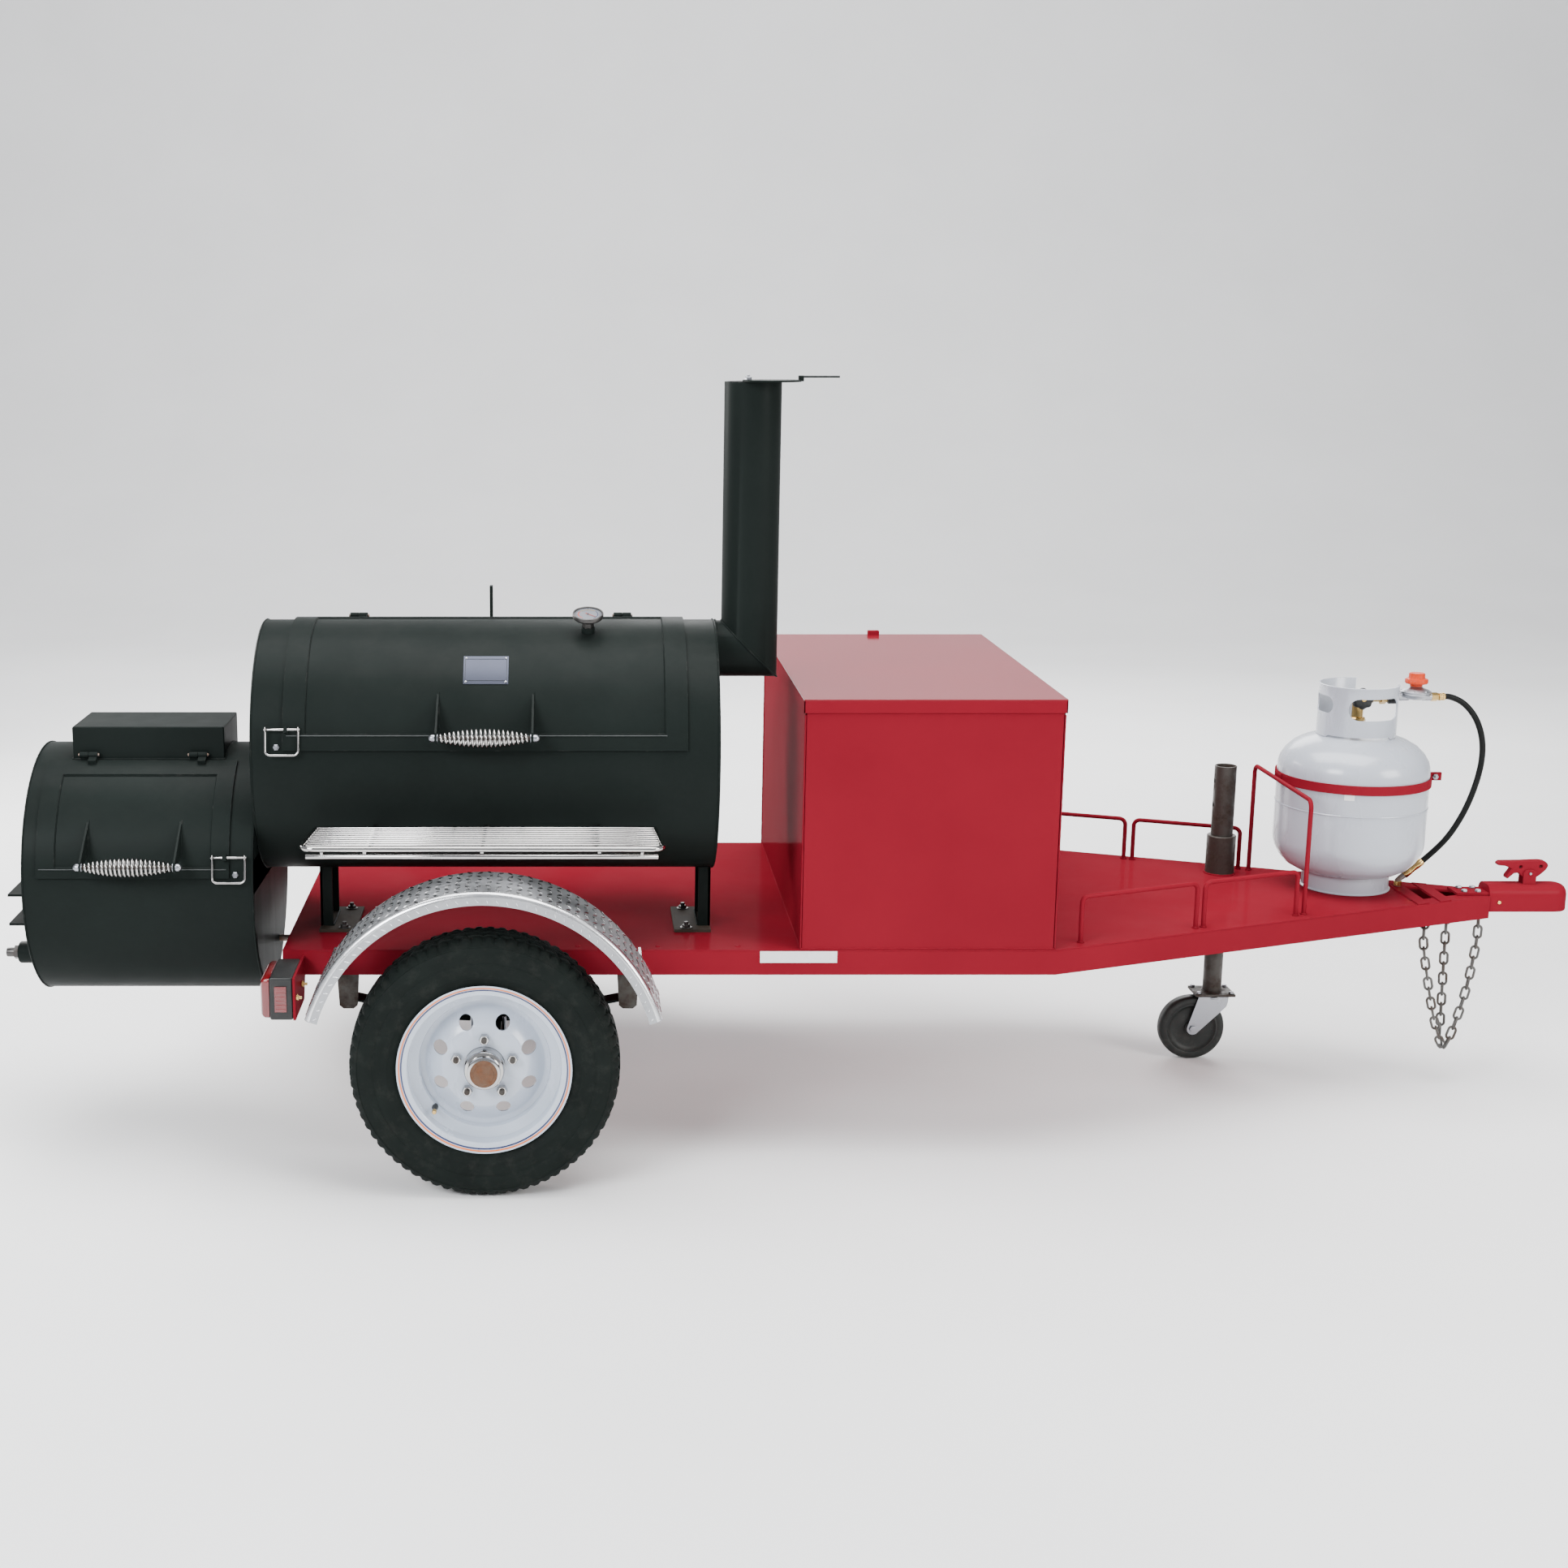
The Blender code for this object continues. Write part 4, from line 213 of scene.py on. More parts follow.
def rusty(name, steel, rust, low, high, rough=0.55, metallic=0.85):
    """Mill steel partly browned with rust."""
    mat, nodes, links, shader = material(name, metallic, rough)
    patch = noise(nodes, links, 26.0, 9.0, 0.68)
    fine = noise(nodes, links, 160.0, 6.0, 0.7, seed=6.0)
    share = ramp(nodes, links, patch, [(low, grey(0)), (high, grey(1))])
    rust_tone = ramp(nodes, links, fine, [(0.3, tuple(c * 0.5 for c in rust)), (0.7, rust)])
    links.new(mix(nodes, links, share, steel, rust_tone), shader.inputs["Base Color"])
    links.new(
        ramp(nodes, links, share, [(0.0, grey(metallic)), (1.0, grey(0.15))]), shader.inputs["Metallic"]
    )
    links.new(
        ramp(nodes, links, share, [(0.0, grey(rough * 0.75)), (1.0, grey(0.85))]),
        shader.inputs["Roughness"]
    )
    bump(nodes, links, shader, fine, 0.25, 0.0006)
    bump(nodes, links, shader, patch, 0.2, 0.0010)
    return mat


def plain(name, colour, rough, fine=200.0, coat=0.0, depth=0.12, vary=0.2, dust=0.08, shine=0.5):
    """Moulded plastic or rubber: fine moulded grain, slight colour drift and dust."""
    mat, nodes, links, shader = material(name, 0.0, rough, coat, 0.15, shine)
    cloud = noise(nodes, links, 12.0, 6.0, 0.6)
    base = ramp(
        nodes, links, cloud,
        [
            (0.3, tuple(c * (1 - vary) for c in colour)),
            (0.7, tuple(min(1, c * (1 + vary)) for c in colour))
        ]
    )
    haze = ramp(
        nodes, links, noise(nodes, links, 34.0, 8.0, 0.72, seed=5.0),
        [(0.5, grey(0)), (0.8, grey(dust * 3))]
    )
    links.new(mix(nodes, links, haze, base, (0.40, 0.36, 0.32)), shader.inputs["Base Color"])
    links.new(
        ramp(nodes, links, cloud, [(0.3, grey(max(0.02, rough - 0.08))), (0.7, grey(min(1, rough + 0.08)))]),
        shader.inputs["Roughness"]
    )
    bump(nodes, links, shader, noise(nodes, links, fine, 3.0), depth, 0.0004)
    return mat


BLACK = painted(
    "satin_black_paint", (0.0085, 0.0115, 0.0105), 0.46, 0.025, 420.0, 0.006, under=(0.060, 0.058, 0.055),
    coat_rough=0.30, mottle=0.12, shine=0.02
)
RED = painted(
    "red_enamel", (0.170, 0.0080, 0.0165), 0.28, 0.03, 260.0, 0.004, under=(0.07, 0.010, 0.012),
    mottle=0.06, shine=0.0
)
RED_TOP = painted(
    "red_enamel_gloss", (0.165, 0.0060, 0.0140), 0.28, 0.50, 260.0, 0.004, under=(0.07, 0.010, 0.012),
    mottle=0.06, shine=0.0
)
WHITE = painted(
    "white_wheel_enamel", (0.44, 0.49, 0.57), 0.26, 0.4, 300.0, 0.03, under=(0.35, 0.31, 0.28),
    mottle=0.03
)
TANK = painted(
    "cylinder_paint", (0.37, 0.395, 0.445), 0.28, 0.4, 320.0, 0.04, under=(0.30, 0.28, 0.26), mottle=0.05
)
RUBBER = plain("tyre_rubber", (0.0070, 0.0095, 0.0085), 0.62, 300.0, depth=0.18, dust=0.008, shine=0.05)
CASTER = plain("caster_rubber", (0.010, 0.012, 0.011), 0.5, 240.0, dust=0.02, shine=0.35)
PLASTIC = plain("black_plastic", (0.010, 0.011, 0.011), 0.42, 260.0, dust=0.02, shine=0.4)
HOSE = plain("hose_rubber", (0.0045, 0.0050, 0.0048), 0.45, 340.0, dust=0.006, shine=0.12)
ORANGE = plain("orange_plastic", (0.46, 0.035, 0.006), 0.4, 260.0, coat=0.05, dust=0.01, shine=0.15)
CHROME = metal(
    "chrome_plate", (0.50, 0.49, 0.48), 0.12, amount=0.25, tarnish=(0.30, 0.26, 0.20), depth=0.02
)
POLISHED = metal(
    "bright_aluminium", (0.83, 0.84, 0.86), 0.24, amount=0.10, spots=60.0, tarnish=(0.45, 0.45, 0.46)
)
ZINC = metal("zinc_plate", (0.36, 0.37, 0.40), 0.30, amount=0.30, tarnish=(0.30, 0.28, 0.26))
BRASS = metal("brass", (0.70, 0.47, 0.17), 0.24, amount=0.35, tarnish=(0.22, 0.14, 0.06))
CAST = metal("cast_grey", (0.40, 0.41, 0.44), 0.36, amount=0.2, depth=0.2)
STEEL = rusty("raw_steel", (0.30, 0.27, 0.25), (0.20, 0.085, 0.035), 0.44, 0.62)
GRATE = rusty("grate_iron", (0.05, 0.045, 0.04), (0.09, 0.045, 0.025), 0.5, 0.7, 0.6, 0.6)
SOOT = rusty("heated_steel", (0.045, 0.045, 0.048), (0.075, 0.045, 0.032), 0.50, 0.72, 0.55, 0.3)
# Lighter grey than the black paint, for the beads along the lid's and the door's top seam: partly weld bead,
# partly painted highlight of the bright line along that ledge.
WELD_HIGHLIGHT = plain("weld_bead", (0.045, 0.050, 0.050), 0.5, 120.0, depth=0.4, dust=0.01, shine=0.15)
RUST = rusty("rusted_cap", (0.10, 0.055, 0.030), (0.15, 0.055, 0.020), 0.35, 0.6, 0.55, 0.25)
JACK = rusty("aged_steel", (0.042, 0.037, 0.032), (0.036, 0.021, 0.013), 0.42, 0.64, 0.55, 0.30)
FOOT = plain(
    "browned_plate", (0.036, 0.027, 0.021), 0.7, 90.0, depth=0.3, vary=0.35, dust=0.015, shine=0.1
)
BOLT = metal("dark_bolt", (0.085, 0.082, 0.080), 0.38, amount=0.5, tarnish=(0.06, 0.04, 0.03))
CHAIN = rusty("chain_steel", (0.095, 0.092, 0.088), (0.06, 0.034, 0.020), 0.46, 0.66, 0.42, 0.80)
TREAD = metal("tread_sheet", (0.46, 0.47, 0.49), 0.50, amount=0.25, tarnish=(0.12, 0.12, 0.13))
LENS = plain("red_lens", (0.16, 0.003, 0.006), 0.14, 30.0, coat=0.9, depth=0.02, dust=0.02)
PLATE = metal(
    "etched_plate", (0.046, 0.050, 0.067), 0.34, (1, 14, 1), amount=0.10, tarnish=(0.08, 0.08, 0.09)
)
DIAL = plain("dial_grey", (0.14, 0.15, 0.17), 0.4, 80.0, coat=0.08, dust=0.01, vary=0.04)
MARK = plain("marker_white", (0.72, 0.72, 0.72), 0.35, 80.0, coat=0.3, dust=0.05, vary=0.05)
PIN_ORANGE = plain("pinstripe_orange", (0.72, 0.16, 0.03), 0.3, 80.0, coat=0.4, dust=0.02)
PIN_BLUE = plain("pinstripe_blue", (0.02, 0.03, 0.10), 0.3, 80.0, coat=0.4, dust=0.02)


# ---------------------------------------------------------------- shapes


def loft(loops, ring=False, caps=True):
    """A skin over loops of equal length, closed on itself or capped at both ends."""
    shape = bmesh.new()
    rows = [[shape.verts.new(point) for point in loop] for loop in loops]
    pairs = list(zip(rows, rows[1:] + rows[:1]))
    if not ring:
        pairs.pop()
        if caps:
            shape.faces.new(rows[0])
            shape.faces.new(rows[-1])
    for first, second in pairs:
        for i in range(len(first)):
            j = (i + 1) % len(first)
            shape.faces.new((first[i], first[j], second[j], second[i]))
    bmesh.ops.recalc_face_normals(shape, faces=shape.faces)
    return shape


def prism(outline, axis, low, high):
    """An outline in the plane across an axis, extruded along it from low to high."""
    order = {
        "X": lambda u, v, w: (w, u, v), "Y": lambda u, v, w: (u, w, v), "Z": lambda u, v, w: (u, v, w)
    }
    return loft([[order[axis](u, v, level) for u, v in outline] for level in (low, high)])


def block(x, y, z):
    """A box from its three (low, high) ranges."""
    return prism([(x[0], y[0]), (x[1], y[0]), (x[1], y[1]), (x[0], y[1])], "Z", z[0], z[1])


def around(axis, centre, radius, height, degrees):
    """A point at a radius and angle about an axis; about X the angle is 0 at the top and grows to -Y."""
    turn = math.radians(degrees)
    cos, sin = radius * math.cos(turn), radius * math.sin(turn)
    x, y, z = centre
    if axis == "X":
        return (x + height, y - sin, z + cos)
    if axis == "Y":
        return (x + cos, y + height, z + sin)
    return (x + cos, y + sin, z + height)


def revolve(profile, axis, centre, steps=48, start=0.0, sweep=360.0, closed=True):
    """A profile of (radius, height) points turned about an axis."""
    full = sweep >= 360.0
    on_axis = profile[0][0] == 0.0 and profile[-1][0] == 0.0
    shape = bmesh.new()
    rows = []
    for k in range(steps if full else steps + 1):
        rows.append(
            [shape.verts.new(around(axis, centre, r, h, start + sweep * k / steps)) for r, h in profile]
        )
    pairs = list(zip(rows, rows[1:] + rows[:1]))
    if not full:
        pairs.pop()
        if closed:
            shape.faces.new(rows[0])
            shape.faces.new(rows[-1])
    last = len(profile) - 1 if on_axis or not closed else len(profile)
    for first, second in pairs:
        for i in range(last):
            j = (i + 1) % len(profile)
            shape.faces.new((first[i], first[j], second[j], second[i]))
    bmesh.ops.remove_doubles(shape, verts=shape.verts, dist=2e-6)
    bmesh.ops.recalc_face_normals(shape, faces=shape.faces)
    return shape


def rod(axis, centre, radius, low, high, steps=20, chamfer=0.0):
    """A solid round bar along an axis, with chamfered ends."""
    c = chamfer or radius * 0.12
    profile = [
        (0.0, low), (radius - c, low), (radius, low + c), (radius, high - c), (radius - c, high),
        (0.0, high)
    ]
    return revolve(profile, axis, centre, steps)


def nut(axis, centre, radius, low, high):
    """A hexagon head with a chamfered crown on its high side."""
    step = (high - low) * 0.25
    profile = [(0.0, low), (radius, low), (radius, high - step), (radius * 0.82, high), (0.0, high)]
    return revolve(profile, axis, centre, 6)


def rounded(points, bend, steps=8):
    """A path with each corner replaced by an arc of the bend radius."""
    path = [Vector(points[0])]
    for before, corner, after in zip(points, points[1:], points[2:]):
        corner = Vector(corner)
        back = (Vector(before) - corner).normalized()
        ahead = (Vector(after) - corner).normalized()
        half = back.angle(ahead) / 2
        middle = corner + (back + ahead).normalized() * bend / math.sin(half)
        start = (corner + back * bend / math.tan(half)) - middle
        end = (corner + ahead * bend / math.tan(half)) - middle
        for k in range(steps + 1):
            path.append(middle + start.slerp(end, k / steps).normalized() * bend)
    path.append(Vector(points[-1]))
    return path


def smooth_path(points, per=6):
    """A Catmull-Rom curve through the points."""
    p = [Vector(q) for q in points]
    p = [2 * p[0] - p[1]] + p + [2 * p[-1] - p[-2]]
    path = []
    for a, b, c, d in zip(p, p[1:], p[2:], p[3:]):
        for k in range(per):
            t = k / per
            path.append(
                0.5 * (2 * b + (c - a) * t + (2 * a - 5 * b + 4 * c - d) * t * t + (3 * b - a - 3 * c + d) * t**3)
            )
    path.append(p[-2])
    return path


def tube(points, radius, sides=14, closed=False, radii=None):
    """A round bar along a path, carried without twist; radii gives one radius for each point."""
    path = [Vector(point) for point in points]
    count = len(path)
    rows = []
    side = None
    for i in range(count):
        before = path[i - 1] if i or closed else path[0]
        after = path[(i + 1) % count] if i < count - 1 or closed else path[-1]
        heading = (after - before).normalized()
        if side is None:
            side = heading.orthogonal().normalized()
        side = (side - heading * side.dot(heading)).normalized()
        across = heading.cross(side)
        size = radii[i] if radii else radius
        rows.append(
            [
                path[i] + size * (math.cos(t) * side + math.sin(t) * across)
                for t in (2 * math.pi * k / sides for k in range(sides))
            ]
        )
    return loft(rows, ring=closed)


def sheet(centre, radius, x, degrees, hole=None, step=2.5, x_step=0.05):
    """A curved sheet about X as an open grid, with an optional (x range, degree range) hole in it."""
    def samples(low, high, pitch, extra):
        count = max(1, math.ceil((high - low) / pitch - 1e-6))
        marks = [low + (high - low) * k / count for k in range(count + 1)]
        for mark in extra:
            if low < mark < high:
                nearest = min(
                    range(1, len(marks) - 1), key=lambda i: abs(marks[i] - mark)
                ) if len(marks) > 2 else None
                if nearest is not None and abs(marks[nearest] - mark) < 0.5 * pitch:
                    marks[nearest] = mark
                else:
                    marks.append(mark)
        return sorted(set(marks))

    holes = hole or ((9, 9), (999, 999))
    xs = samples(x[0], x[1], x_step, holes[0])
    turns = samples(degrees[0], degrees[1], step, holes[1])
    full = degrees[1] - degrees[0] >= 360.0
    if full:
        turns.pop()
    shape = bmesh.new()
    rows = [[shape.verts.new(around("X", centre, radius, level, turn)) for level in xs] for turn in turns]
    spans = list(
        zip(
            turns, turns[1:] + ([turns[0] + 360.0] if full else []), rows,
            rows[1:] + (rows[:1] if full else [])
        )
    )
    for low, high, first, second in spans:
        for i in range(len(xs) - 1):
            inside = holes[0][0] - 1e-6 <= xs[i] and xs[i + 1] <= holes[0][1] + 1e-6
            if inside and holes[1][0] - 1e-6 <= low and high <= holes[1][1] + 1e-6:
                continue
            shape.faces.new((first[i], second[i], second[i + 1], first[i + 1]))
    for vertex in [v for v in shape.verts if not v.link_faces]:
        shape.verts.remove(vertex)
    bmesh.ops.recalc_face_normals(shape, faces=shape.faces)
    middle = Vector(centre)
    face = next(iter(shape.faces))
    away = face.calc_center_median() - middle
    away.x = 0
    if face.normal.dot(away) < 0:
        bmesh.ops.reverse_faces(shape, faces=shape.faces)
    return shape


def path_on_drum(centre, radius, x, degrees, step=2.0, radius_corner=0.0):
    """The closed outline of a rectangle laid on a drum, as points."""
    count = max(2, int((degrees[1] - degrees[0]) / step))
    angles = [degrees[0] + (degrees[1] - degrees[0]) * k / count for k in range(count + 1)]
    xs = [x[0] + (x[1] - x[0]) * k / 12 for k in range(13)]
    points = [around("X", centre, radius, x[0], a) for a in angles]
    points += [around("X", centre, radius, level, degrees[1]) for level in xs[1:]]
    points += [around("X", centre, radius, x[1], a) for a in reversed(angles[:-1])]
    points += [around("X", centre, radius, level, degrees[0]) for level in reversed(xs[1:-1])]
    return points


class Piece:
    """Collects shapes with their materials and makes one object of them."""

    def __init__(self):
        self.mesh = bmesh.new()
        self.materials = []

    def add(self, mat, *shapes, matrix=None):
        if mat not in self.materials:
            self.materials.append(mat)
        index = self.materials.index(mat)
        for shape in shapes:
            for face in shape.faces:
                face.material_index = index
            if matrix:
                bmesh.ops.transform(shape, matrix=matrix, verts=shape.verts)
            temp = bpy.data.meshes.new("part")
            shape.to_mesh(temp)
            shape.free()
            self.mesh.from_mesh(temp)
            bpy.data.meshes.remove(temp)
        return self

    def make(self, name, body, nodes=(), slot=None, bevel=0.0, sharp=35.0, solid=0.0, shift=AXLE_X):
        mesh = bpy.data.meshes.new(name)
        bmesh.ops.translate(self.mesh, vec=(shift, 0, 0), verts=self.mesh.verts)
        self.mesh.to_mesh(mesh)
        self.mesh.free()
        mesh.polygons.foreach_set("use_smooth", [True] * len(mesh.polygons))
        mesh.set_sharp_from_angle(angle=math.radians(sharp))
        for mat in self.materials:
            mesh.materials.append(mat)
        obj = bpy.data.objects.new(name, mesh)
        bpy.context.scene.collection.objects.link(obj)
        if solid:
            wall = obj.modifiers.new("wall", "SOLIDIFY")
            wall.thickness = solid
            wall.offset = -1.0
            wall.use_even_offset = True
            wall.use_quality_normals = True
            split = obj.modifiers.new("split", "EDGE_SPLIT")
            split.split_angle = math.radians(40)
            split.use_edge_sharp = False
        if bevel:
            trim = obj.modifiers.new("bevel", "BEVEL")
            trim.width = bevel
            trim.segments = 2
            trim.limit_method = "ANGLE"
            trim.angle_limit = math.radians(40)
            trim.harden_normals = True
        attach(obj, body)
        if nodes:
            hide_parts(*nodes)
        return obj


def weld_bead(points, radius, closed=False):
    """A rippled fillet along a path."""
    path = []
    radii = []
    pts = [Vector(p) for p in points]
    if closed:
        pts = pts + [pts[0]]
    for a, b in zip(pts, pts[1:]):
        parts = max(1, int((b - a).length / 0.004))
        for k in range(parts):
            path.append(a.lerp(b, k / parts))
            radii.append(radius * (0.86 + 0.28 * rng.random()))
    if not closed:
        path.append(pts[-1])
        radii.append(radius)
    return tube(path, radius, 6, closed, radii)


def cut_by(obj, *shapes):
    """Cuts closed shapes, given in the same frame as Piece, from the object."""
    whole = Piece()
    for shape in shapes:
        whole.add(PLASTIC, shape)
    mesh = bpy.data.meshes.new("cutter")
    bmesh.ops.translate(whole.mesh, vec=(AXLE_X, 0, 0), verts=whole.mesh.verts)
    whole.mesh.to_mesh(mesh)
    whole.mesh.free()
    helper = bpy.data.objects.new(f"{obj.name}_cutter", mesh)
    bpy.context.scene.collection.objects.link(helper)
    helper.hide_render = True
    helper.hide_viewport = True
    step = obj.modifiers.new("holes", "BOOLEAN")
    step.operation = "DIFFERENCE"
    step.solver = "EXACT"
    step.object = helper
    while obj.modifiers[0] != step:
        obj.modifiers.move(obj.modifiers.find(step.name), obj.modifiers.find(step.name) - 1)


def mitred(points, radius, sides=48):
    """An open pipe wall along straight runs, mitred where they turn."""
    path = [Vector(point) for point in points]
    first = (path[1] - path[0]).normalized()
    side = first.orthogonal().normalized()
    across = first.cross(side)
    row = [
        path[0] + radius * (math.cos(t) * side + math.sin(t) * across)
        for t in (2 * math.pi * k / sides for k in range(sides))
    ]
    rows = [row]
    for i in range(1, len(path)):
        heading = (path[i] - path[i - 1]).normalized()
        ahead = heading if i == len(path) - 1 else (path[i + 1] - path[i]).normalized()
        plane = (heading + ahead).normalized()
        row = [p + heading * ((path[i] - p).dot(plane) / heading.dot(plane)) for p in row]
        rows.append(row)
    return loft(rows, caps=False)


def radial(centre, degrees, spot_x, radius):
    """A frame whose Z points out of the drum at an angle, at a radius."""
    turn = math.radians(degrees)
    out = Vector((0, -math.sin(turn), math.cos(turn)))
    down = Vector((0, -math.cos(turn), -math.sin(turn)))
    base = Vector((spot_x, centre[1], centre[2])) + out * radius
    return Matrix.Translation(base) @ Matrix((Vector((1, 0, 0)), -down, out)).transposed().to_4x4()


# ---------------------------------------------------------------- camera, lights and floor


camera = bpy.data.objects.new("camera", bpy.data.cameras.new("camera"))
bpy.context.scene.collection.objects.link(camera)
camera.location = (-0.5155, -4.56, 1.649)
camera.rotation_euler = (math.radians(90 - 11.97), 0, 0)
camera.data.lens = 49.12
camera.data.sensor_width = 36
camera.data.shift_x = 0.133
camera.data.clip_end = 200
bpy.context.scene.camera = camera

floor_mesh = bpy.data.meshes.new("floor")
sweep = [(-30.0, 0.0), (7.0, 0.0)]
sweep += [
    (7.0 + 5.0 * math.sin(a), 5.0 * (1 - math.cos(a)))
    for a in (math.radians(6 * k) for k in range(1, 16))
]
sweep += [(12.0, 16.0)]
corners = [(x, y, z) for y, z in sweep for x in (-30.0, 30.0)]
floor_mesh.from_pydata(corners, [], [(k, k + 1, k + 3, k + 2) for k in range(0, len(corners) - 2, 2)])
floor_mesh.polygons.foreach_set("use_smooth", [True] * len(floor_mesh.polygons))
ground = bpy.data.objects.new("floor", floor_mesh)
bpy.context.scene.collection.objects.link(ground)
pale, pale_nodes, pale_links, pale_shader = material("pale_floor", 0.0, 0.75)
tone = noise(pale_nodes, pale_links, 1.4, 4.0)
pale_links.new(
    ramp(pale_nodes, pale_links, tone, [(0.3, grey(0.84)), (0.7, grey(0.88))]),
    pale_shader.inputs["Base Color"]
)
floor_mesh.materials.append(pale)


def lamp(name, at, target, size, power, colour=(1, 1, 1)):
    """A soft rectangular area light aimed at a target."""
    light = bpy.data.lights.new(name, "AREA")
    light.shape = "RECTANGLE"
    light.size, light.size_y = size
    light.energy = power
    light.color = colour
    obj = bpy.data.objects.new(name, light)
    obj.location = at
    obj.rotation_euler = (Vector(target) - Vector(at)).to_track_quat("-Z", "Y").to_euler()
    bpy.context.scene.collection.objects.link(obj)


lamp("overhead", (-0.3, -0.4, 5.2), (0, 0, 0.5), (6.0, 3.0), 590)
lamp("key", (-3.8, -4.4, 3.6), (-0.3, 0, 0.6), (2.6, 2.0), 390, (0.96, 0.98, 1.0))
lamp("fill", (4.2, -3.6, 2.4), (0.3, 0, 0.6), (2.2, 2.2), 230, (1.0, 0.98, 0.95))
lamp("side", (-3.6, 2.4, 1.9), (0.2, 0.1, 0.7), (1.8, 1.4), 150, (1.0, 0.99, 0.97))
lamp("rear", (1.5, 4.6, 3.2), (0, 0, 0.6), (4.0, 2.0), 160)
lamp("backdrop", (0.0, 3.0, 4.5), (0, 12.0, 2.0), (9.0, 2.0), 600)
world = bpy.data.worlds.new("studio")
world.use_nodes = True
world.node_tree.nodes["Background"].inputs["Color"].default_value = (0.93, 0.95, 1.0, 1)
world.node_tree.nodes["Background"].inputs["Strength"].default_value = 0.55
bpy.context.scene.world = world


# ---------------------------------------------------------------- cords


HOSE_R = 0.0065
hose_tip = Vector((2.004, 0.050, 0.454)) + Vector((0.012, 0.0, 0.0105))
hose_end = hose_tip + Vector((0.012, 0.0, 0.0105)).normalized() * 0.0003
route = [(2.0593, 0.050, 0.8663), (2.086, 0.050, 0.8660), (2.118, 0.050, 0.850), (2.146, 0.050, 0.817)]
route += [(2.163, 0.050, 0.772), (2.166, 0.050, 0.722), (2.156, 0.050, 0.664), (2.136, 0.050, 0.606)]
route += [(2.106, 0.050, 0.552), (2.066, 0.050, 0.508), tuple(hose_end)]


def hose_piece():
    """The gas hose with its two brass ferrules."""
    points = smooth_path(route, 4)
    hose = Piece().add(HOSE, tube(points, HOSE_R, 18)).make(
        "gas_hose_rubber", "trailer", ["gas_hose"], "hose_rubber", sharp=60
    )
    crimp = Piece()
    for a, b in ((points[0], points[2]), (points[-1], points[-4])):
        span = b - a
        ends = [a + span * t for t in (0.0, 0.05, 0.30, 0.34, 0.62, 0.66, 0.95, 1.0)]
        radii = [0.0078, 0.0086, 0.0086, 0.0080, 0.0080, 0.0086, 0.0086, 0.0072]
        crimp.add(BRASS, tube(ends, 0.008, 24, radii=radii))
    crimp.make("gas_hose_ferrules", "trailer", slot="brass", sharp=30)


def chain(name, node, points, link=0.029, wire=0.0027, width=0.0105):
    """Welded oval links strung along a path, each turned a quarter from the last."""
    path = smooth_path(points, 8)
    total = sum((b - a).length for a, b in zip(path, path[1:]))
    count = max(3, round(total / (link - 2 * wire)))
    pitch = total / count
    half = pitch / 2 + wire * 0.9
    piece = Piece()
    travelled, index = 0.0, 0
    for k in range(count):
        want = (k + 0.5) * pitch
        while index < len(path) - 2 and travelled + (path[index + 1] - path[index]).length < want:
            travelled += (path[index + 1] - path[index]).length
            index += 1
        span = path[index + 1] - path[index]
        spot = path[index] + span.normalized() * (want - travelled)
        heading = span.normalized()
        side = Vector((0.3, 1, 0)) if k % 2 else Vector((1, -0.3, 0))
        side = (side - heading * side.dot(heading)).normalized()
        bow = width - wire
        loop = []
        for j in range(20):
            t = 2 * math.pi * j / 20
            run = (half - bow) * (1 if math.cos(t) > 0 else -1) + bow * math.cos(t)
            loop.append(spot + heading * run + side * bow * math.sin(t))
        piece.add(CHAIN, tube(loop, wire, 8, closed=True))
    made = piece.make(name, "trailer", [node], "zinc_plate", sharp=60)


CHAIN_TOP = 0.3897
hose_piece()
loop_route = [
    (2.040, -0.030, CHAIN_TOP), (2.040, -0.030, 0.330), (2.060, -0.028, 0.230), (2.082, -0.026, 0.145)
]
loop_route += [
    (2.106, -0.024, 0.092), (2.128, -0.022, 0.145), (2.148, -0.020, 0.230), (2.160, -0.020, 0.330)
]
loop_route += [(2.160, -0.020, CHAIN_TOP)]
chain("chain_loop", "safety_chain_loop", loop_route)
hook_route = [
    (2.104, 0.012, CHAIN_TOP), (2.104, 0.012, 0.330), (2.105, 0.008, 0.230), (2.106, 0.002, 0.110)
]
hook_wire = [
    (2.106, 0.0075, 0.124), (2.106, 0.0090, 0.117), (2.106, 0.0040, 0.1085), (2.106, -0.0040, 0.104),
    (2.106, -0.0110, 0.0985)
]
hook_wire += [
    (2.106, -0.0130, 0.090), (2.106, -0.0095, 0.0835), (2.106, -0.0030, 0.0825), (2.106, 0.0010, 0.0880)
]
s_hook = Piece().add(CHAIN, tube(smooth_path(hook_wire, 5), 0.0028, 12))
s_hook.make("chain_s_hook", "trailer", slot="zinc_plate", sharp=60)
chain("chain_hook", "safety_chain_hook", hook_route)


# ---------------------------------------------------------------- drums and doors


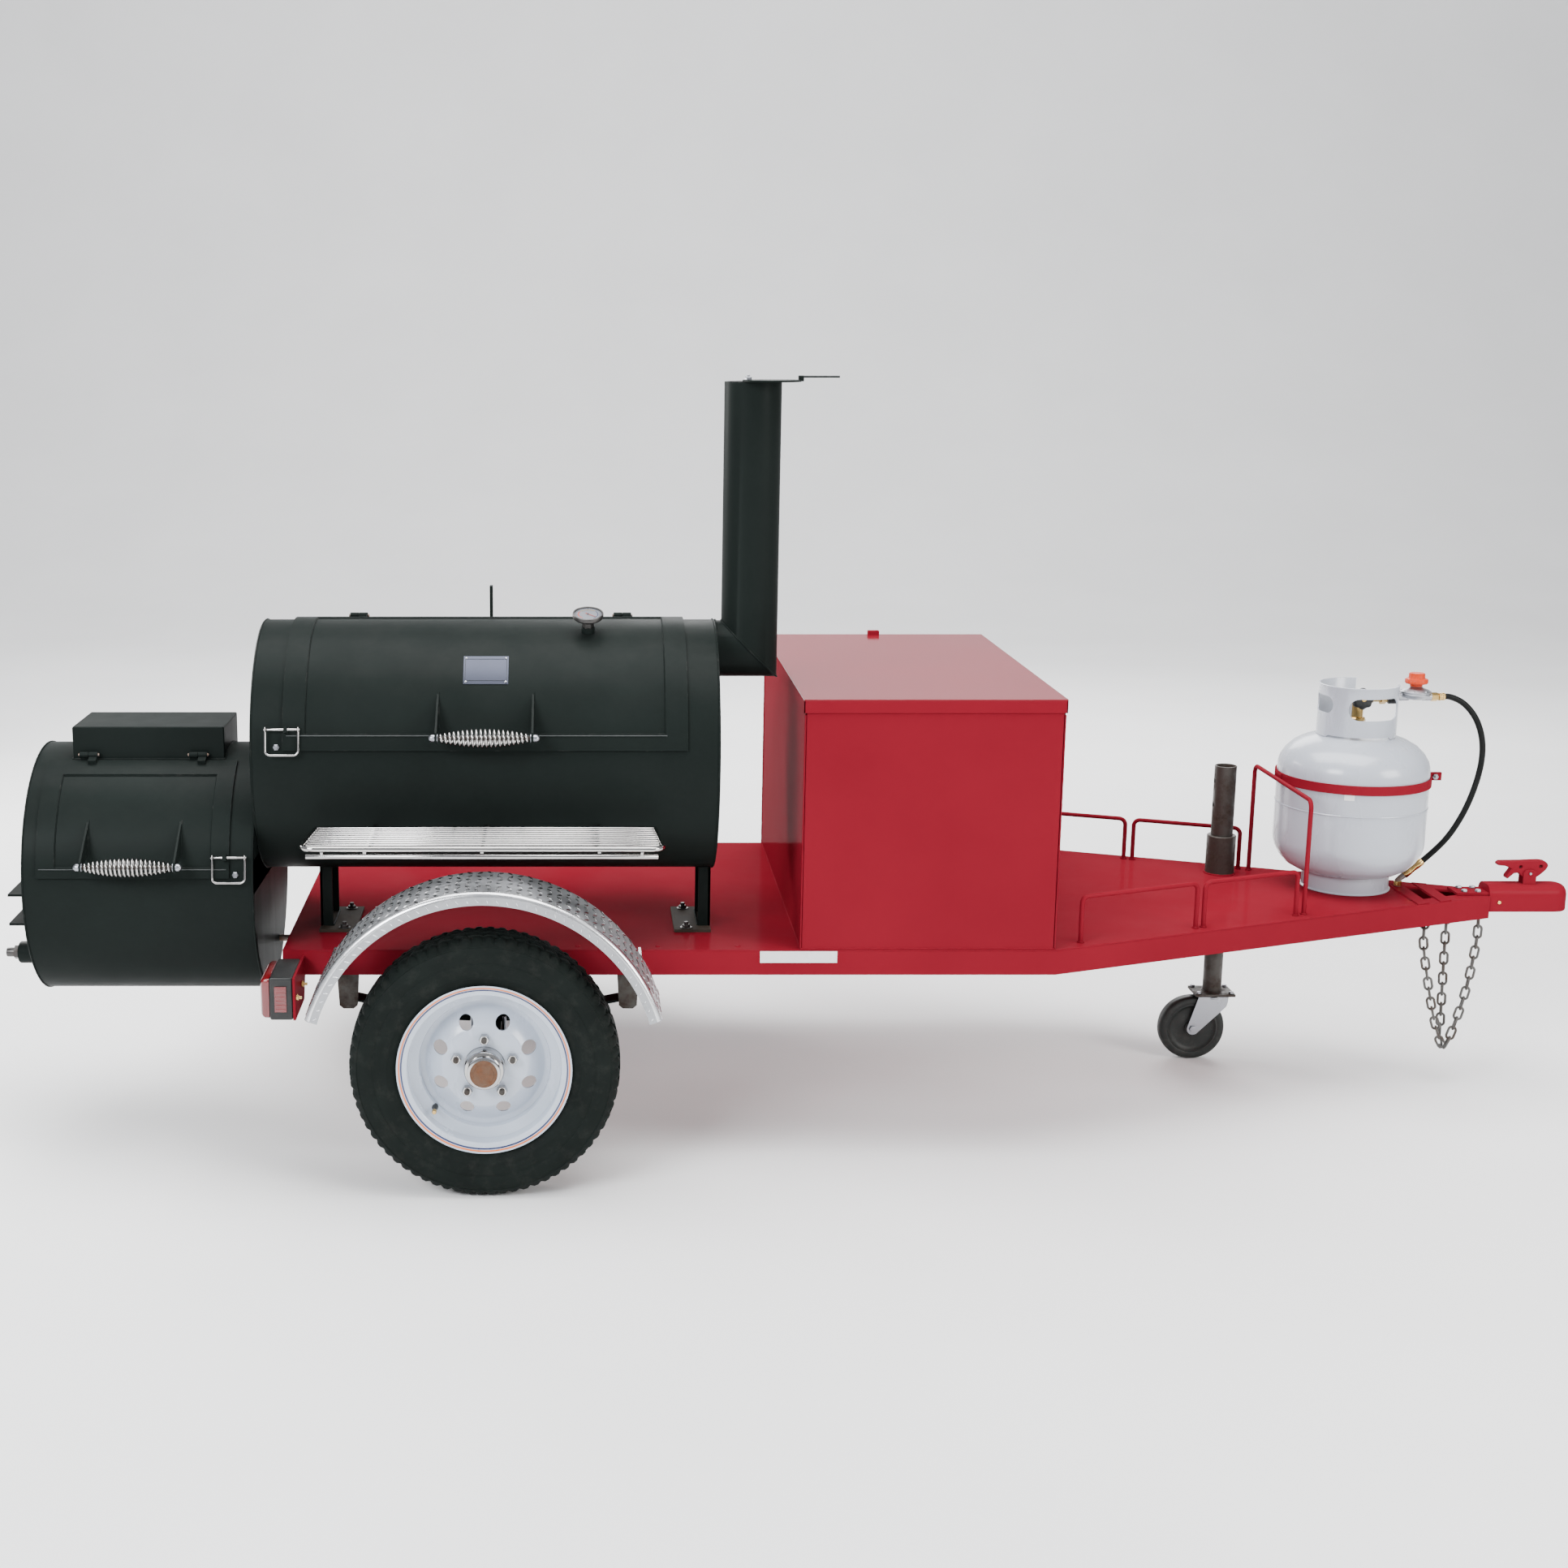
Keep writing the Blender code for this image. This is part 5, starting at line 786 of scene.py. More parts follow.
def end_plate(centre, radius, low, high, hole=None, steps=96):
    """A round plate across X, in strips round an optional (y low, y high, z low, z high) hole."""
    x, y, z = centre
    if not hole:
        return [rod("X", centre, radius, low, high, steps, 0.0012)]
    y0, y1, z0, z1 = hole
    shapes = []
    for keep in (lambda p: p[1] >= z1, lambda p: p[1] <= z0):
        level = z1 if keep((y, z + radius)) else z0
        reach = math.sqrt(radius**2 - (level - z) ** 2)
        arc = [
            (
                y + radius * math.cos(2 * math.pi * k / steps),
                z + radius * math.sin(2 * math.pi * k / steps)
            )
            for k in range(steps)
        ]
        run = [p for p in arc if keep(p)]
        run.sort(key=lambda p: p[0])
        ends = [(y - reach, level), (y + reach, level)]
        shapes.append(prism([ends[0], *run, ends[1]], "X", x + low, x + high))
    for side, edge in ((-1, y0), (1, y1)):
        arc = []
        for k in range(9):
            level = z0 + (z1 - z0) * k / 8
            arc.append((y + side * math.sqrt(radius**2 - (level - z) ** 2), level))
        shapes.append(prism([(edge, z0), *arc, (edge, z1)], "X", x + low, x + high))
    return shapes


def knuckles(body_piece, door_piece, axis_point, places, length=0.018):
    """Barrel hinges: a fixed and a moving knuckle with the pin's heads."""
    for x in places:
        spot = (x, axis_point[1], axis_point[2])
        body_piece.add(BLACK, rod("X", spot, 0.006, -length - 0.0003, -0.0003, 24, 0.0008))
        door_piece.add(BLACK, rod("X", spot, 0.006, 0.0, length, 24, 0.0008))
        body_piece.add(STEEL, rod("X", spot, 0.003, -length - 0.003, length + 0.003, 16, 0.0008))


def spoke(centre, inner, outer, x, degrees, half_width):
    """A small block that stands out from a drum, along its radius."""
    frame_at = radial(centre, degrees, 0.0, 0.0)
    shape = block(x, (-half_width[1], -half_width[0]), (inner, outer))
    bmesh.ops.transform(shape, matrix=frame_at, verts=shape.verts)
    return shape


def coil_handle(name, body, node, centre, middle, half):
    """A wound wire grip that bulges in the middle, on a rod with domed nuts."""
    spot = around("X", (middle, centre[1], centre[2]), DRUM_R + 0.0493, 0.0, 77.4)
    inside = half - 0.004
    wire = 0.0024
    points = []
    turns, per = 20, 18
    for k in range(turns * per + 1):
        share = 2 * k / (turns * per) - 1
        swell = math.sin(math.pi / 2 * (1 - abs(share))) ** 0.8
        r = 0.008 + 0.012 * swell - wire
        t = 2 * math.pi * k / per
        points.append(
            (spot[0] + share * (inside - wire), spot[1] + r * math.cos(t), spot[2] + r * math.sin(t))
        )
    outside = half + 0.0024
    piece = Piece().add(CHROME, tube(points, wire, 8))
    # The rod inside the coil takes the dark aged-steel colour so the gaps between the turns read dark: painted
    # shade.
    piece.add(JACK, rod("X", spot, 0.004, -outside - 0.004, outside + 0.004, 20))
    for side in (-1, 1):
        dome = [
            (0.0, 0.0), (0.0072, 0.0), (0.0074, 0.005), (0.0066, 0.0075), (0.0045, 0.0105),
            (0.0018, 0.0119), (0.0, 0.012)
        ]
        piece.add(ZINC, revolve([(r, side * (outside + h)) for r, h in dome], "X", spot, 24))
        washer = [
            (0.0042, side * (half - 0.0025)), (0.0085, side * (half - 0.0025)),
            (0.0085, side * (half - 0.0036)), (0.0042, side * (half - 0.0036))
        ]
        piece.add(ZINC, revolve(washer, "X", spot, 24))
    piece.make(name, body, [node], "chrome", sharp=50)


def fins(piece, centre, middle, half):
    """The two upright plates that carry a grip."""
    for side in (-1, 1):
        x = middle + side * half
        root, tip = 0.2535, DRUM_R + 0.0493
        outline = [
            (root, 56.0), (root, 62.0), (root, 67.0), (root, 72.6), (tip - 0.006, 79.0),
            (tip + 0.002, 79.4), (tip + 0.007, 78.6), (tip + 0.007, 75.6), (tip + 0.003, 74.6)
        ]
        shape = [around("X", centre, r, 0.0, a)[1:] for r, a in outline]
        piece.add(BLACK, prism(shape, "X", x - 0.002, x + 0.002))
        foot = [
            around("X", centre, 0.2555, x - centre[0] + s * 0.0025, 56.5 + 16.0 * k / 8) for s in (1,)
            for k in range(9)
        ]
        piece.add(BLACK, weld_bead(foot, 0.0016))


def latch(name, body, node, door_piece, shell_piece, centre, edge_x, inward):
    """A bent wire bail with an eye at its pivot, its lug on the door, and the nut it hooks under."""
    pivot = around("X", (edge_x, centre[1], centre[2]), 0.2593 + 0.006, 0.0, 73.5)
    x, half = edge_x, 0.032
    low = around("X", pivot, 0.050, 0.0, 73.5 + 96.0)
    path = [(x - half, *pivot[1:]), (x - half, *low[1:]), (x + half, *low[1:]), (x + half, *pivot[1:])]
    piece = Piece().add(CHROME, tube(rounded(path, 0.010, 8), 0.0022, 12))
    piece.add(CHROME, rod("X", pivot, 0.0022, -half - 0.003, half + 0.003, 14))
    for side in (-1, 1):
        eye = [
            around("X", (x + side * (half - 0.0002), pivot[1], pivot[2]), 0.0042, 0.0, 18 * k)
            for k in range(20)
        ]
        piece.add(CHROME, tube(eye, 0.0016, 8, closed=True))
    piece.make(name, body, [node], "chrome", sharp=50)
    lug_x = sorted((edge_x + inward * 0.004, edge_x + inward * 0.011))
    door_piece.add(BLACK, spoke(centre, 0.2563, 0.2593 + 0.012, lug_x, 73.5, (-0.006, 0.006)))
    stud = radial(centre, 81.0, edge_x - inward * 0.012, 0.2535)
    shell_piece.add(
        ZINC, nut("Z", (0, 0, 0), 0.0065, 0.0, 0.0045), rod("Z", (0, 0, 0), 0.0035, 0.0, 0.0058, 16),
        matrix=stud
    )


def drum_parts(tag, centre, half_l, wall, mouth_x, mouth_deg, strip_x, strip_deg, door_body):
    """The shell wall with its mouth, and the door's recessed panel, raised strip and weld line."""
    x0 = centre[0]
    shell = Piece().add(
        BLACK, sheet(centre, DRUM_R, (-half_l, half_l), (-180.0, 180.0), (mouth_x, mouth_deg), 2.5, 0.06)
    )
    shell.materials.append(SOOT)
    wall_obj = shell.make(f"{tag}_wall", "trailer", solid=wall, slot="satin_black", sharp=40)
    wall_obj.modifiers["wall"].material_offset = 1
    inset = 0.75
    panel_x = (mouth_x[0] + 0.003, mouth_x[1] - 0.003)
    panel_deg = (mouth_deg[0] + inset, mouth_deg[1] - inset)
    door = Piece().add(BLACK, sheet(centre, 0.2555, panel_x, panel_deg, None, 2.5, 0.06))
    door.materials.append(SOOT)
    door_obj = door.make(
        f"{tag}_door_panel", door_body, solid=wall + 0.0015, slot="satin_black", sharp=40
    )
    door_obj.modifiers["wall"].material_offset = 1
    hole_x = (panel_x[0] + 0.004, panel_x[1] - 0.004)
    hole_deg = (panel_deg[0] + 0.9, panel_deg[1] - 0.9)
    strip = Piece().add(BLACK, sheet(centre, 0.2593, strip_x, strip_deg, (hole_x, hole_deg), 2.5, 0.06))
    strip.make(f"{tag}_door_strip", door_body, solid=0.005, slot="satin_black", sharp=40, bevel=0.0012)
    line = path_on_drum(centre, 0.2562, hole_x, hole_deg)
    bead = Piece().add(BLACK, weld_bead(line, 0.0021, closed=True))
    return shell, bead, x0


def build_chamber():
    """The cooking drum with its lid, hinge, bail, grip, gauge, plate and grate."""
    centre = (0.0, DRUM_Y, CHAMBER_Z)
    _, lid, _ = drum_parts(
        "chamber", centre, 0.457, 0.0048, (-0.357, 0.357), (-6.8, 77.0), (-0.393, 0.393), (-15.0, 82.5),
        "chamber_lid"
    )
    shell = Piece()
    shell.add(
        BLACK,
        *end_plate(
            (-0.457, DRUM_Y, CHAMBER_Z), 0.2536, 0.0, 0.0048, (DRUM_Y - 0.13, DRUM_Y + 0.13, 0.630, 0.755)
        )
    )
    shell.add(BLACK, *end_plate((0.457, DRUM_Y, CHAMBER_Z), 0.2536, -0.0048, 0.0))
    for x in (-0.4545, 0.4545):
        ring = [around("X", centre, 0.2545, x, 4 * k) for k in range(90)]
        shell.add(BLACK, weld_bead(ring, 0.0016, closed=True))
    ledge = math.sqrt(0.2492**2 - 0.029**2)
    for side in (-1, 1):
        y = sorted((DRUM_Y + side * (ledge - 0.03), DRUM_Y + side * ledge))
        shell.add(SOOT, block((-0.437, 0.437), y, (0.784, 0.790)))
    stop_low = CHAMBER_Z + math.sqrt(DRUM_R**2 - 0.13**2) - 0.003
    shell.add(BLACK, block((-0.003, 0.003), (DRUM_Y + 0.105, DRUM_Y + 0.130), (stop_low, 1.130)))
    axis = around("X", centre, 0.266, 0.0, -17.5)
    for x in (-0.272, 0.272):
        shell.add(BLACK, spoke(centre, 0.252, 0.264, (x - 0.0173, x - 0.0013), -17.5, (-0.0035, 0.0035)))
        lid.add(BLACK, spoke(centre, 0.2550, 0.265, (x + 0.001, x + 0.017), -17.5, (-0.0015, 0.0205)))
    knuckles(shell, lid, axis, (-0.272, 0.272))
    latch("lid_latch_wire", "lid_latch", "lid_latch", lid, shell, centre, -0.393, 1)
    fins(lid, centre, 0.0, 0.0925)
    coil_handle("lid_coil_handle", "chamber_lid", "lid_handle", centre, 0.0, 0.0925)
    # Bead along the lid's top seam, lighter than the paint: painted highlight of the ledge's bright line.
    line = [around("X", centre, 0.2600, x, 76.0) for x in [-0.385 + 0.738 * k / 60 for k in range(61)]]
    lid.add(WELD_HIGHLIGHT, weld_bead(line, 0.0011))
    lid.make("chamber_lid_fittings", "chamber_lid", ["chamber_lid"], "satin_black", sharp=35)
    shell.make("chamber_ends", "trailer", ["chamber_shell"], "satin_black", sharp=35)

    seat = radial(centre, 18.75, 0.200, 0.2555)
    gauge = Piece()
    gauge.add(
        BLACK,
        revolve(
            [(0.0, 0.0), (0.0135, 0.0), (0.0135, 0.010), (0.0125, 0.012), (0.0, 0.012)], "Z", (0, 0, 0),
            32
        ),
        matrix=seat
    )
    gauge.add(
        BOLT, nut("Z", (0, 0, 0), 0.0115, 0.012, 0.024), rod("Z", (0, 0, 0), 0.006, 0.020, 0.031, 20),
        rod("Z", (0, 0, 0), 0.003, -0.070, 0.002, 16), matrix=seat
    )
    bezel = [
        (0.0, 0.029), (0.024, 0.029), (0.0285, 0.031), (0.031, 0.034), (0.031, 0.0400), (0.0302, 0.0414),
        (0.0285, 0.0418), (0.0272, 0.0410), (0.0270, 0.0385), (0.0, 0.0385)
    ]
    gauge.add(BOLT, revolve(bezel, "Z", (0, 0, 0), 64), matrix=seat)
    gauge.add(
        DIAL,
        revolve([(0.0, 0.0386), (0.0270, 0.0386), (0.0270, 0.0389), (0.0, 0.0389)], "Z", (0, 0, 0), 48),
        matrix=seat
    )
    for k in range(31):
        t = math.radians(-60 + 300 * k / 30)
        long = k % 5 == 0
        tick = block(
            (0.0215 if long else 0.0232, 0.0255),
            (-0.0003 if not long else -0.0005, 0.0003 if not long else 0.0005), (0.0388, 0.0391)
        )
        gauge.add(PLASTIC, tick, matrix=seat @ Matrix.Rotation(t, 4, "Z"))
    for low, high, mat in ((-55, 40, PIN_BLUE), (45, 140, BRASS), (145, 235, ORANGE)):
        band = revolve(
            [(0.0188, 0.0388), (0.0203, 0.0388), (0.0203, 0.03905), (0.0188, 0.03905)], "Z", (0, 0, 0),
            24, low, high - low
        )
        gauge.add(mat, band, matrix=seat)
    hand = prism(
        [(-0.006, -0.0008), (0.019, -0.0003), (0.019, 0.0003), (-0.006, 0.0008)], "Z", 0.0392, 0.0397
    )
    gauge.add(ORANGE, hand, matrix=seat @ Matrix.Rotation(math.radians(-40), 4, "Z"))
    gauge.add(PLASTIC, rod("Z", (0, 0, 0), 0.0018, 0.0389, 0.0402, 20), matrix=seat)
    gauge.make("thermometer_dial", "chamber_lid", ["thermometer"], "chrome", sharp=30)

    plate = Piece()
    label = sheet(centre, 0.2568, (-0.044, 0.044), (37.5, 52.5), None, 1.5, 0.02)
    plate.add(PLATE, label)
    plate.make(
        "name_plate_blank", "chamber_lid", ["name_plate"], "polished_aluminium", solid=0.001, bevel=0.0004
    )
    screws = Piece()
    for x in (-0.039, 0.039):
        for a in (38.6, 51.4):
            head = revolve(
                [(0.0, 0.0), (0.0026, 0.0), (0.0022, 0.0010), (0.0012, 0.0015), (0.0, 0.0016)], "Z",
                (0, 0, 0), 20
            )
            screws.add(ZINC, head, matrix=radial(centre, a, x, 0.2568))
    border = path_on_drum(centre, 0.2569, (-0.0405, 0.0405), (39.2, 50.8))
    screws.add(PLASTIC, tube(border, 0.0005, 6, closed=True))
    screws.make("name_plate_screws", "chamber_lid", slot="zinc_plate")

    grate("cooking_grate_rods", "cooking_grate", (-0.445, 0.445), DRUM_Y, ledge - 0.006, 0.7903, 46)


def grate(name, node, x, middle, half_w, low, bars):
    """A rod grate in a frame, as one piece."""
    piece = Piece()
    level = low + 0.004
    for k in range(bars):
        spot = x[0] + 0.008 + (x[1] - x[0] - 0.016) * k / (bars - 1)
        piece.add(GRATE, rod("Y", (spot, middle, level), 0.0032, -half_w, half_w, 10))
    for share in (-0.98, -0.6, 0.0, 0.6, 0.98):
        piece.add(
            GRATE, rod("X", (0, middle + share * (half_w - 0.004), level + 0.004), 0.004, x[0], x[1], 10)
        )
    piece.make(name, "trailer", [node], "grate_iron", sharp=50)


def build_firebox():
    """The firebox drum with its door, air inlet, drain, cook top and fire grate."""
    mid, rear, front = -0.6853, -0.9133, -0.4573
    centre = (mid, DRUM_Y, 0.564)
    middle = -0.6938 - mid
    mouth = (middle - 0.161, middle + 0.161)
    _, door, _ = drum_parts(
        "firebox", centre, 0.228, 0.00635, mouth, (30.8, 79.5), (middle - 0.1895, middle + 0.1895),
        (22.5, 82.5), "firebox_door"
    )
    shell = Piece()
    passage = (DRUM_Y - 0.13, DRUM_Y + 0.13, 0.630, 0.755)
    shell.add(BLACK, *end_plate((front, DRUM_Y, 0.564), 0.2536, -0.00635, 0.0, passage))
    shell.add(BLACK, *end_plate((rear, DRUM_Y, 0.564), 0.2536, 0.0, 0.00635))
    for x in (-0.2260, 0.2260):
        ring = [around("X", centre, 0.2545, x, 4 * k) for k in range(90)]
        shell.add(BLACK, weld_bead(ring, 0.0018, closed=True))
    grate_z = 0.564 - 0.144
    ledge = math.sqrt((DRUM_R - 0.00635) ** 2 - 0.144**2)
    for side in (-1, 1):
        y = sorted((DRUM_Y + side * (ledge - 0.03), DRUM_Y + side * ledge))
        shell.add(SOOT, block((rear + 0.02, front - 0.02), y, (grate_z - 0.006, grate_z)))
    grate(
        "fire_grate_rods", "fire_grate", (rear + 0.0185, front - 0.0185), DRUM_Y, ledge - 0.006,
        grate_z + 0.0003, 22
    )
    for low in (0.516 - 0.027 - 0.0053, 0.516 + 0.027 + 0.0003):
        shell.add(BLACK, block((rear - 0.045, rear + 0.002), (-0.430, -0.050), (low, low + 0.005)))
    # Three thin dark discs stand in for the air holes behind the shutter: painted shade of the open holes, in the
    # sooty steel colour.
    for dy in (-0.05, 0.0, 0.05):
        shell.add(
            SOOT,
            revolve(
                [(0.0, -0.0002), (0.017, -0.0002), (0.017, 0.001), (0.0, 0.001)], "X",
                (rear, DRUM_Y + dy, 0.516), 32
            )
        )
    drain = (rear, -0.400, 0.420)
    shell.add(
        BLACK,
        revolve(
            [
                (0.0, 0.003), (0.026, 0.003), (0.022, -0.003), (0.022, -0.031), (0.020, -0.034),
                (0.0, -0.034)
            ],
            "X", drain, 40
        )
    )
    shell.add(
        BOLT,
        revolve(
            [
                (0.0, -0.030), (0.0105, -0.030), (0.0105, -0.040), (0.0095, -0.041), (0.0095, -0.0585),
                (0.0085, -0.060), (0.0, -0.060)
            ],
            "X", drain, 28
        )
    )
    shell.add(BOLT, nut("X", (rear - 0.034, -0.400, 0.420), 0.014, -0.010, 0.0))
    axis = around("X", centre, 0.268, 0.0, 21.25)
    spots = (-0.6938 - 0.110, -0.6938 + 0.110)
    flat = (0.0, DRUM_Y, 0.564)
    for x in spots:
        shell.add(BLACK, spoke(flat, 0.252, 0.266, (x - 0.0173, x - 0.0013), 21.25, (-0.0035, 0.0035)))
        door.add(BLACK, spoke(flat, 0.2550, 0.267, (x + 0.001, x + 0.017), 21.25, (-0.0015, 0.0205)))
    knuckles(shell, door, axis, spots)
    latch("door_latch_wire", "door_latch", "door_latch", door, shell, flat, -0.6938 + 0.1895, -1)
    fins(door, flat, -0.6938, 0.0915)
    coil_handle("door_coil_handle", "firebox_door", "door_handle", flat, -0.6938, 0.0915)
    # Bead along the door's top seam, lighter than the paint: painted highlight of the ledge's bright line.
    line = [around("X", flat, 0.2600, -0.6938 - 0.184 + 0.368 * k / 40, 78.6) for k in range(41)]
    door.add(WELD_HIGHLIGHT, weld_bead(line, 0.0011))
    door.make("firebox_door_fittings", "firebox_door", ["firebox_door"], "satin_black", sharp=35)
    shell.make("firebox_ends", "trailer", ["firebox_shell"], "satin_black", sharp=35)

    shutter = Piece()
    shutter.add(
        BLACK, block((rear - 0.0033, rear - 0.0003), (DRUM_Y - 0.075, DRUM_Y + 0.075), (0.489, 0.543))
    )
    shutter.add(
        BLACK, block((rear - 0.045, rear - 0.0013), (DRUM_Y - 0.075, DRUM_Y - 0.072), (0.497, 0.535))
    )
    shutter.make("air_shutter_plate", "air_shutter", ["air_shutter"], "satin_black", bevel=0.0006)

    half_w = DRUM_R * math.sin(math.radians(21.25)) - 0.005
    low = 0.564 + math.sqrt(DRUM_R**2 - half_w**2) - 0.003
    top = Piece()
    x = (mid - 0.153, mid + 0.153)
    top.add(BLACK, block(x, (DRUM_Y - half_w, DRUM_Y + half_w), (low, 0.869)))
    top.make("firebox_cook_top", "trailer", ["cook_top"], "satin_black", bevel=0.003)
    seam = Piece()
    corners = [
        (x[0], DRUM_Y - half_w), (x[1], DRUM_Y - half_w), (x[1], DRUM_Y + half_w), (x[0], DRUM_Y + half_w)
    ]
    line = [
        Vector((*a, 0)).lerp(Vector((*b, 0)), k / 30) for a, b in zip(corners, corners[1:] + corners[:1])
        for k in range(30)
    ]
    line = [(p.x, p.y, 0.564 + math.sqrt(0.2545**2 - (p.y - DRUM_Y) ** 2)) for p in line]
    seam.add(BLACK, weld_bead(line, 0.0022, closed=True))
    seam.make("cook_top_seam", "trailer", slot="satin_black")


def build_legs():
    """The two folded brackets under the cooking drum, bolted to the deck."""
    for name, x, inward in (("leg_rear", -0.3375, 1), ("leg_front", 0.440, -1)):
        piece = Piece()
        y = (DRUM_Y - 0.06, DRUM_Y + 0.06)
        arc = [
            (
                DRUM_Y + 0.06 - 0.12 * k / 12,
                CHAMBER_Z - math.sqrt(0.2545**2 - (0.06 - 0.12 * k / 12) ** 2)
            )
            for k in range(13)
        ]
        outline = [(y[0], 0.4423), (y[1], 0.4423), *arc]
        web = 0.005
        plates = [(x - 0.0125, x - 0.0125 + web), (x + 0.0125 - web, x + 0.0125)]
        piece.add(BLACK, prism(outline, "X", *(plates[0] if inward > 0 else plates[1])))
        for side in (-1, 1):
            edge = sorted((DRUM_Y + side * 0.06, DRUM_Y + side * (0.06 - web)))
            top = CHAMBER_Z - math.sqrt(0.2545**2 - 0.06**2)
            piece.add(BLACK, block((x - 0.0125, x + 0.0125), edge, (0.4423, top)))
        outer = x - inward * 0.0125
        foot = sorted((outer, outer + inward * 0.075))
        piece.add(FOOT, block(foot, (DRUM_Y - 0.09, DRUM_Y + 0.09), (DECK_SEAT, 0.4473)))
        for dy in (-0.075, 0.075):
            at = (outer + inward * 0.050, DRUM_Y + dy, 0.0)
            piece.add(
                BOLT, nut("Z", at, 0.0085, 0.4488, 0.4545),
                rod("Z", at, 0.0125, 0.4473, 0.4489, 32, 0.0003), rod("Z", at, 0.0045, 0.4500, 0.4600, 16)
            )
        piece.add(
            BLACK,
            weld_bead(
                [(outer + inward * 0.026, DRUM_Y - 0.058 + 0.116 * k / 20, 0.4480) for k in range(21)],
                0.002
            )
        )
        piece.make(f"{name}_bracket", "trailer", [name], "satin_black", bevel=0.0008)


def build_shelf():
    """The chromed rod shelf on its three arms."""
    piece = Piece()
    back_y = DRUM_Y - math.sqrt(DRUM_R**2 - 0.119**2)
    inner_y = -0.673 + 0.170
    corners = [(-0.330, inner_y), (-0.342, -0.673), (0.342, -0.673), (0.330, inner_y)]
    piece.add(CHROME, tube(rounded([(x, y, 0.700) for x, y in corners], 0.025, 10), 0.005, 16))
    for k in range(9):
        piece.add(CHROME, rod("X", (0, inner_y - 0.001 - 0.01756 * k, 0.7012), 0.0026, -0.333, 0.333, 12))
    piece.add(CHROME, rod("X", (0, -0.673, 0.686), 0.005, -0.330, 0.330, 16))
    for x in (-0.22, 0.0, 0.22):
        arm = [
            (back_y - 0.0004, 0.680), (back_y - 0.0004, 0.6985), (-0.671, 0.6985), (-0.671, 0.684),
            (-0.640, 0.680)
        ]
        piece.add(CHROME, prism(arm, "X", x - 0.003, x + 0.003))
        piece.add(
            BLACK,
            weld_bead([(x + 0.0045, back_y - 0.001, 0.681 + 0.017 * k / 6) for k in range(7)], 0.0016)
        )
    for x in (-0.30, 0.30):
        piece.add(CHROME, rod("Z", (x, -0.673, 0.0), 0.0035, 0.686, 0.700, 12))
    piece.make("shelf_rods", "trailer", ["front_shelf"], "chrome", sharp=50)


def build_stack():
    """The mitred chimney with its damper."""
    level = CHAMBER_Z + DRUM_R - 0.057
    at_x = 0.457 + 0.071
    wall = Piece().add(
        BLACK, mitred([(0.4573, DRUM_Y, level), (at_x, DRUM_Y, level), (at_x, DRUM_Y, 1.55)], 0.057, 64)
    )
    wall.materials.append(SOOT)
    pipe = wall.make("stack_pipe_wall", "trailer", ["stack_pipe"], "satin_black", solid=0.003, sharp=40)
    pipe.modifiers["wall"].material_offset = 1
    trim = Piece()
    ring = [around("X", (0.4588, DRUM_Y, level), 0.0575, 0.0, 6 * k) for k in range(60)]
    trim.add(BLACK, weld_bead(ring, 0.0024, closed=True))
    mitre = []
    for k in range(60):
        t = math.radians(6 * k)
        y, r = 0.0573 * math.sin(t), 0.0573 * math.cos(t)
        mitre.append((at_x - r, DRUM_Y + y, level + r))
    trim.add(BLACK, weld_bead(mitre, 0.0018, closed=True))
    shut = math.radians(73.0)
    pivot = (at_x - 0.047 * math.cos(shut), DRUM_Y - 0.047 * math.sin(shut), 1.55)
    trim.add(BLACK, rod("Z", (pivot[0], pivot[1], 0), 0.009, 1.515, 1.549, 28))
    trim.add(
        ZINC, nut("Z", (pivot[0], pivot[1], 0), 0.0072, 1.5544, 1.5600),
        rod("Z", (pivot[0], pivot[1], 0), 0.0035, 1.546, 1.5640, 20)
    )
    trim.make("stack_trim", "trailer", slot="satin_black", sharp=40)
    damper = Piece()
    disc = (pivot[0] + 0.047, pivot[1], 1.5503)
    damper.add(BLACK, rod("Z", disc, 0.058, 0.0, 0.004, 64, 0.0008))
    grip = (pivot[0] + 0.047 + 0.052, pivot[0] + 0.180)
    damper.add(
        BLACK, block((grip[0], grip[0] + 0.010), (pivot[1] - 0.008, pivot[1] + 0.008), (1.5513, 1.5623))
    )
    tip = [
        (grip[0], -0.0075), (grip[1] - 0.004, -0.0075), (grip[1], -0.004), (grip[1], 0.004),
        (grip[1] - 0.004, 0.0075), (grip[0], 0.0075)
    ]
    damper.add(BLACK, prism([(x, pivot[1] + y) for x, y in tip], "Z", 1.5583, 1.5618))
    damper.make("stack_damper_plate", "stack_damper", ["stack_damper"], "satin_black", bevel=0.0005)


# ---------------------------------------------------------------- chassis and running gear


def rail_half(x):
    """Half the frame's width on the tapering tongue."""
    return 0.457 - (0.457 - 0.036) / (2.175 - 1.134) * (x - 1.134)


def chassis_outline(inset, front_x):
    """The outline of deck and frame, seen from above."""
    slope = (0.457 - 0.036) / (2.175 - 1.134)
    lean = inset * math.hypot(1.0, slope)
    shoulder = 1.134 + (inset - lean) / slope
    tip = min(front_x, 1.134 + (0.457 - lean - 0.006) / slope)
    half = rail_half(tip) - lean
    near = [(-0.409 + inset, -0.457 + inset), (shoulder, -0.457 + inset), (tip, -half)]
    return near + [(x, -y) for x, y in reversed(near)]


FRAME_TOP, FRAME_LOW = 0.4382, 0.3892


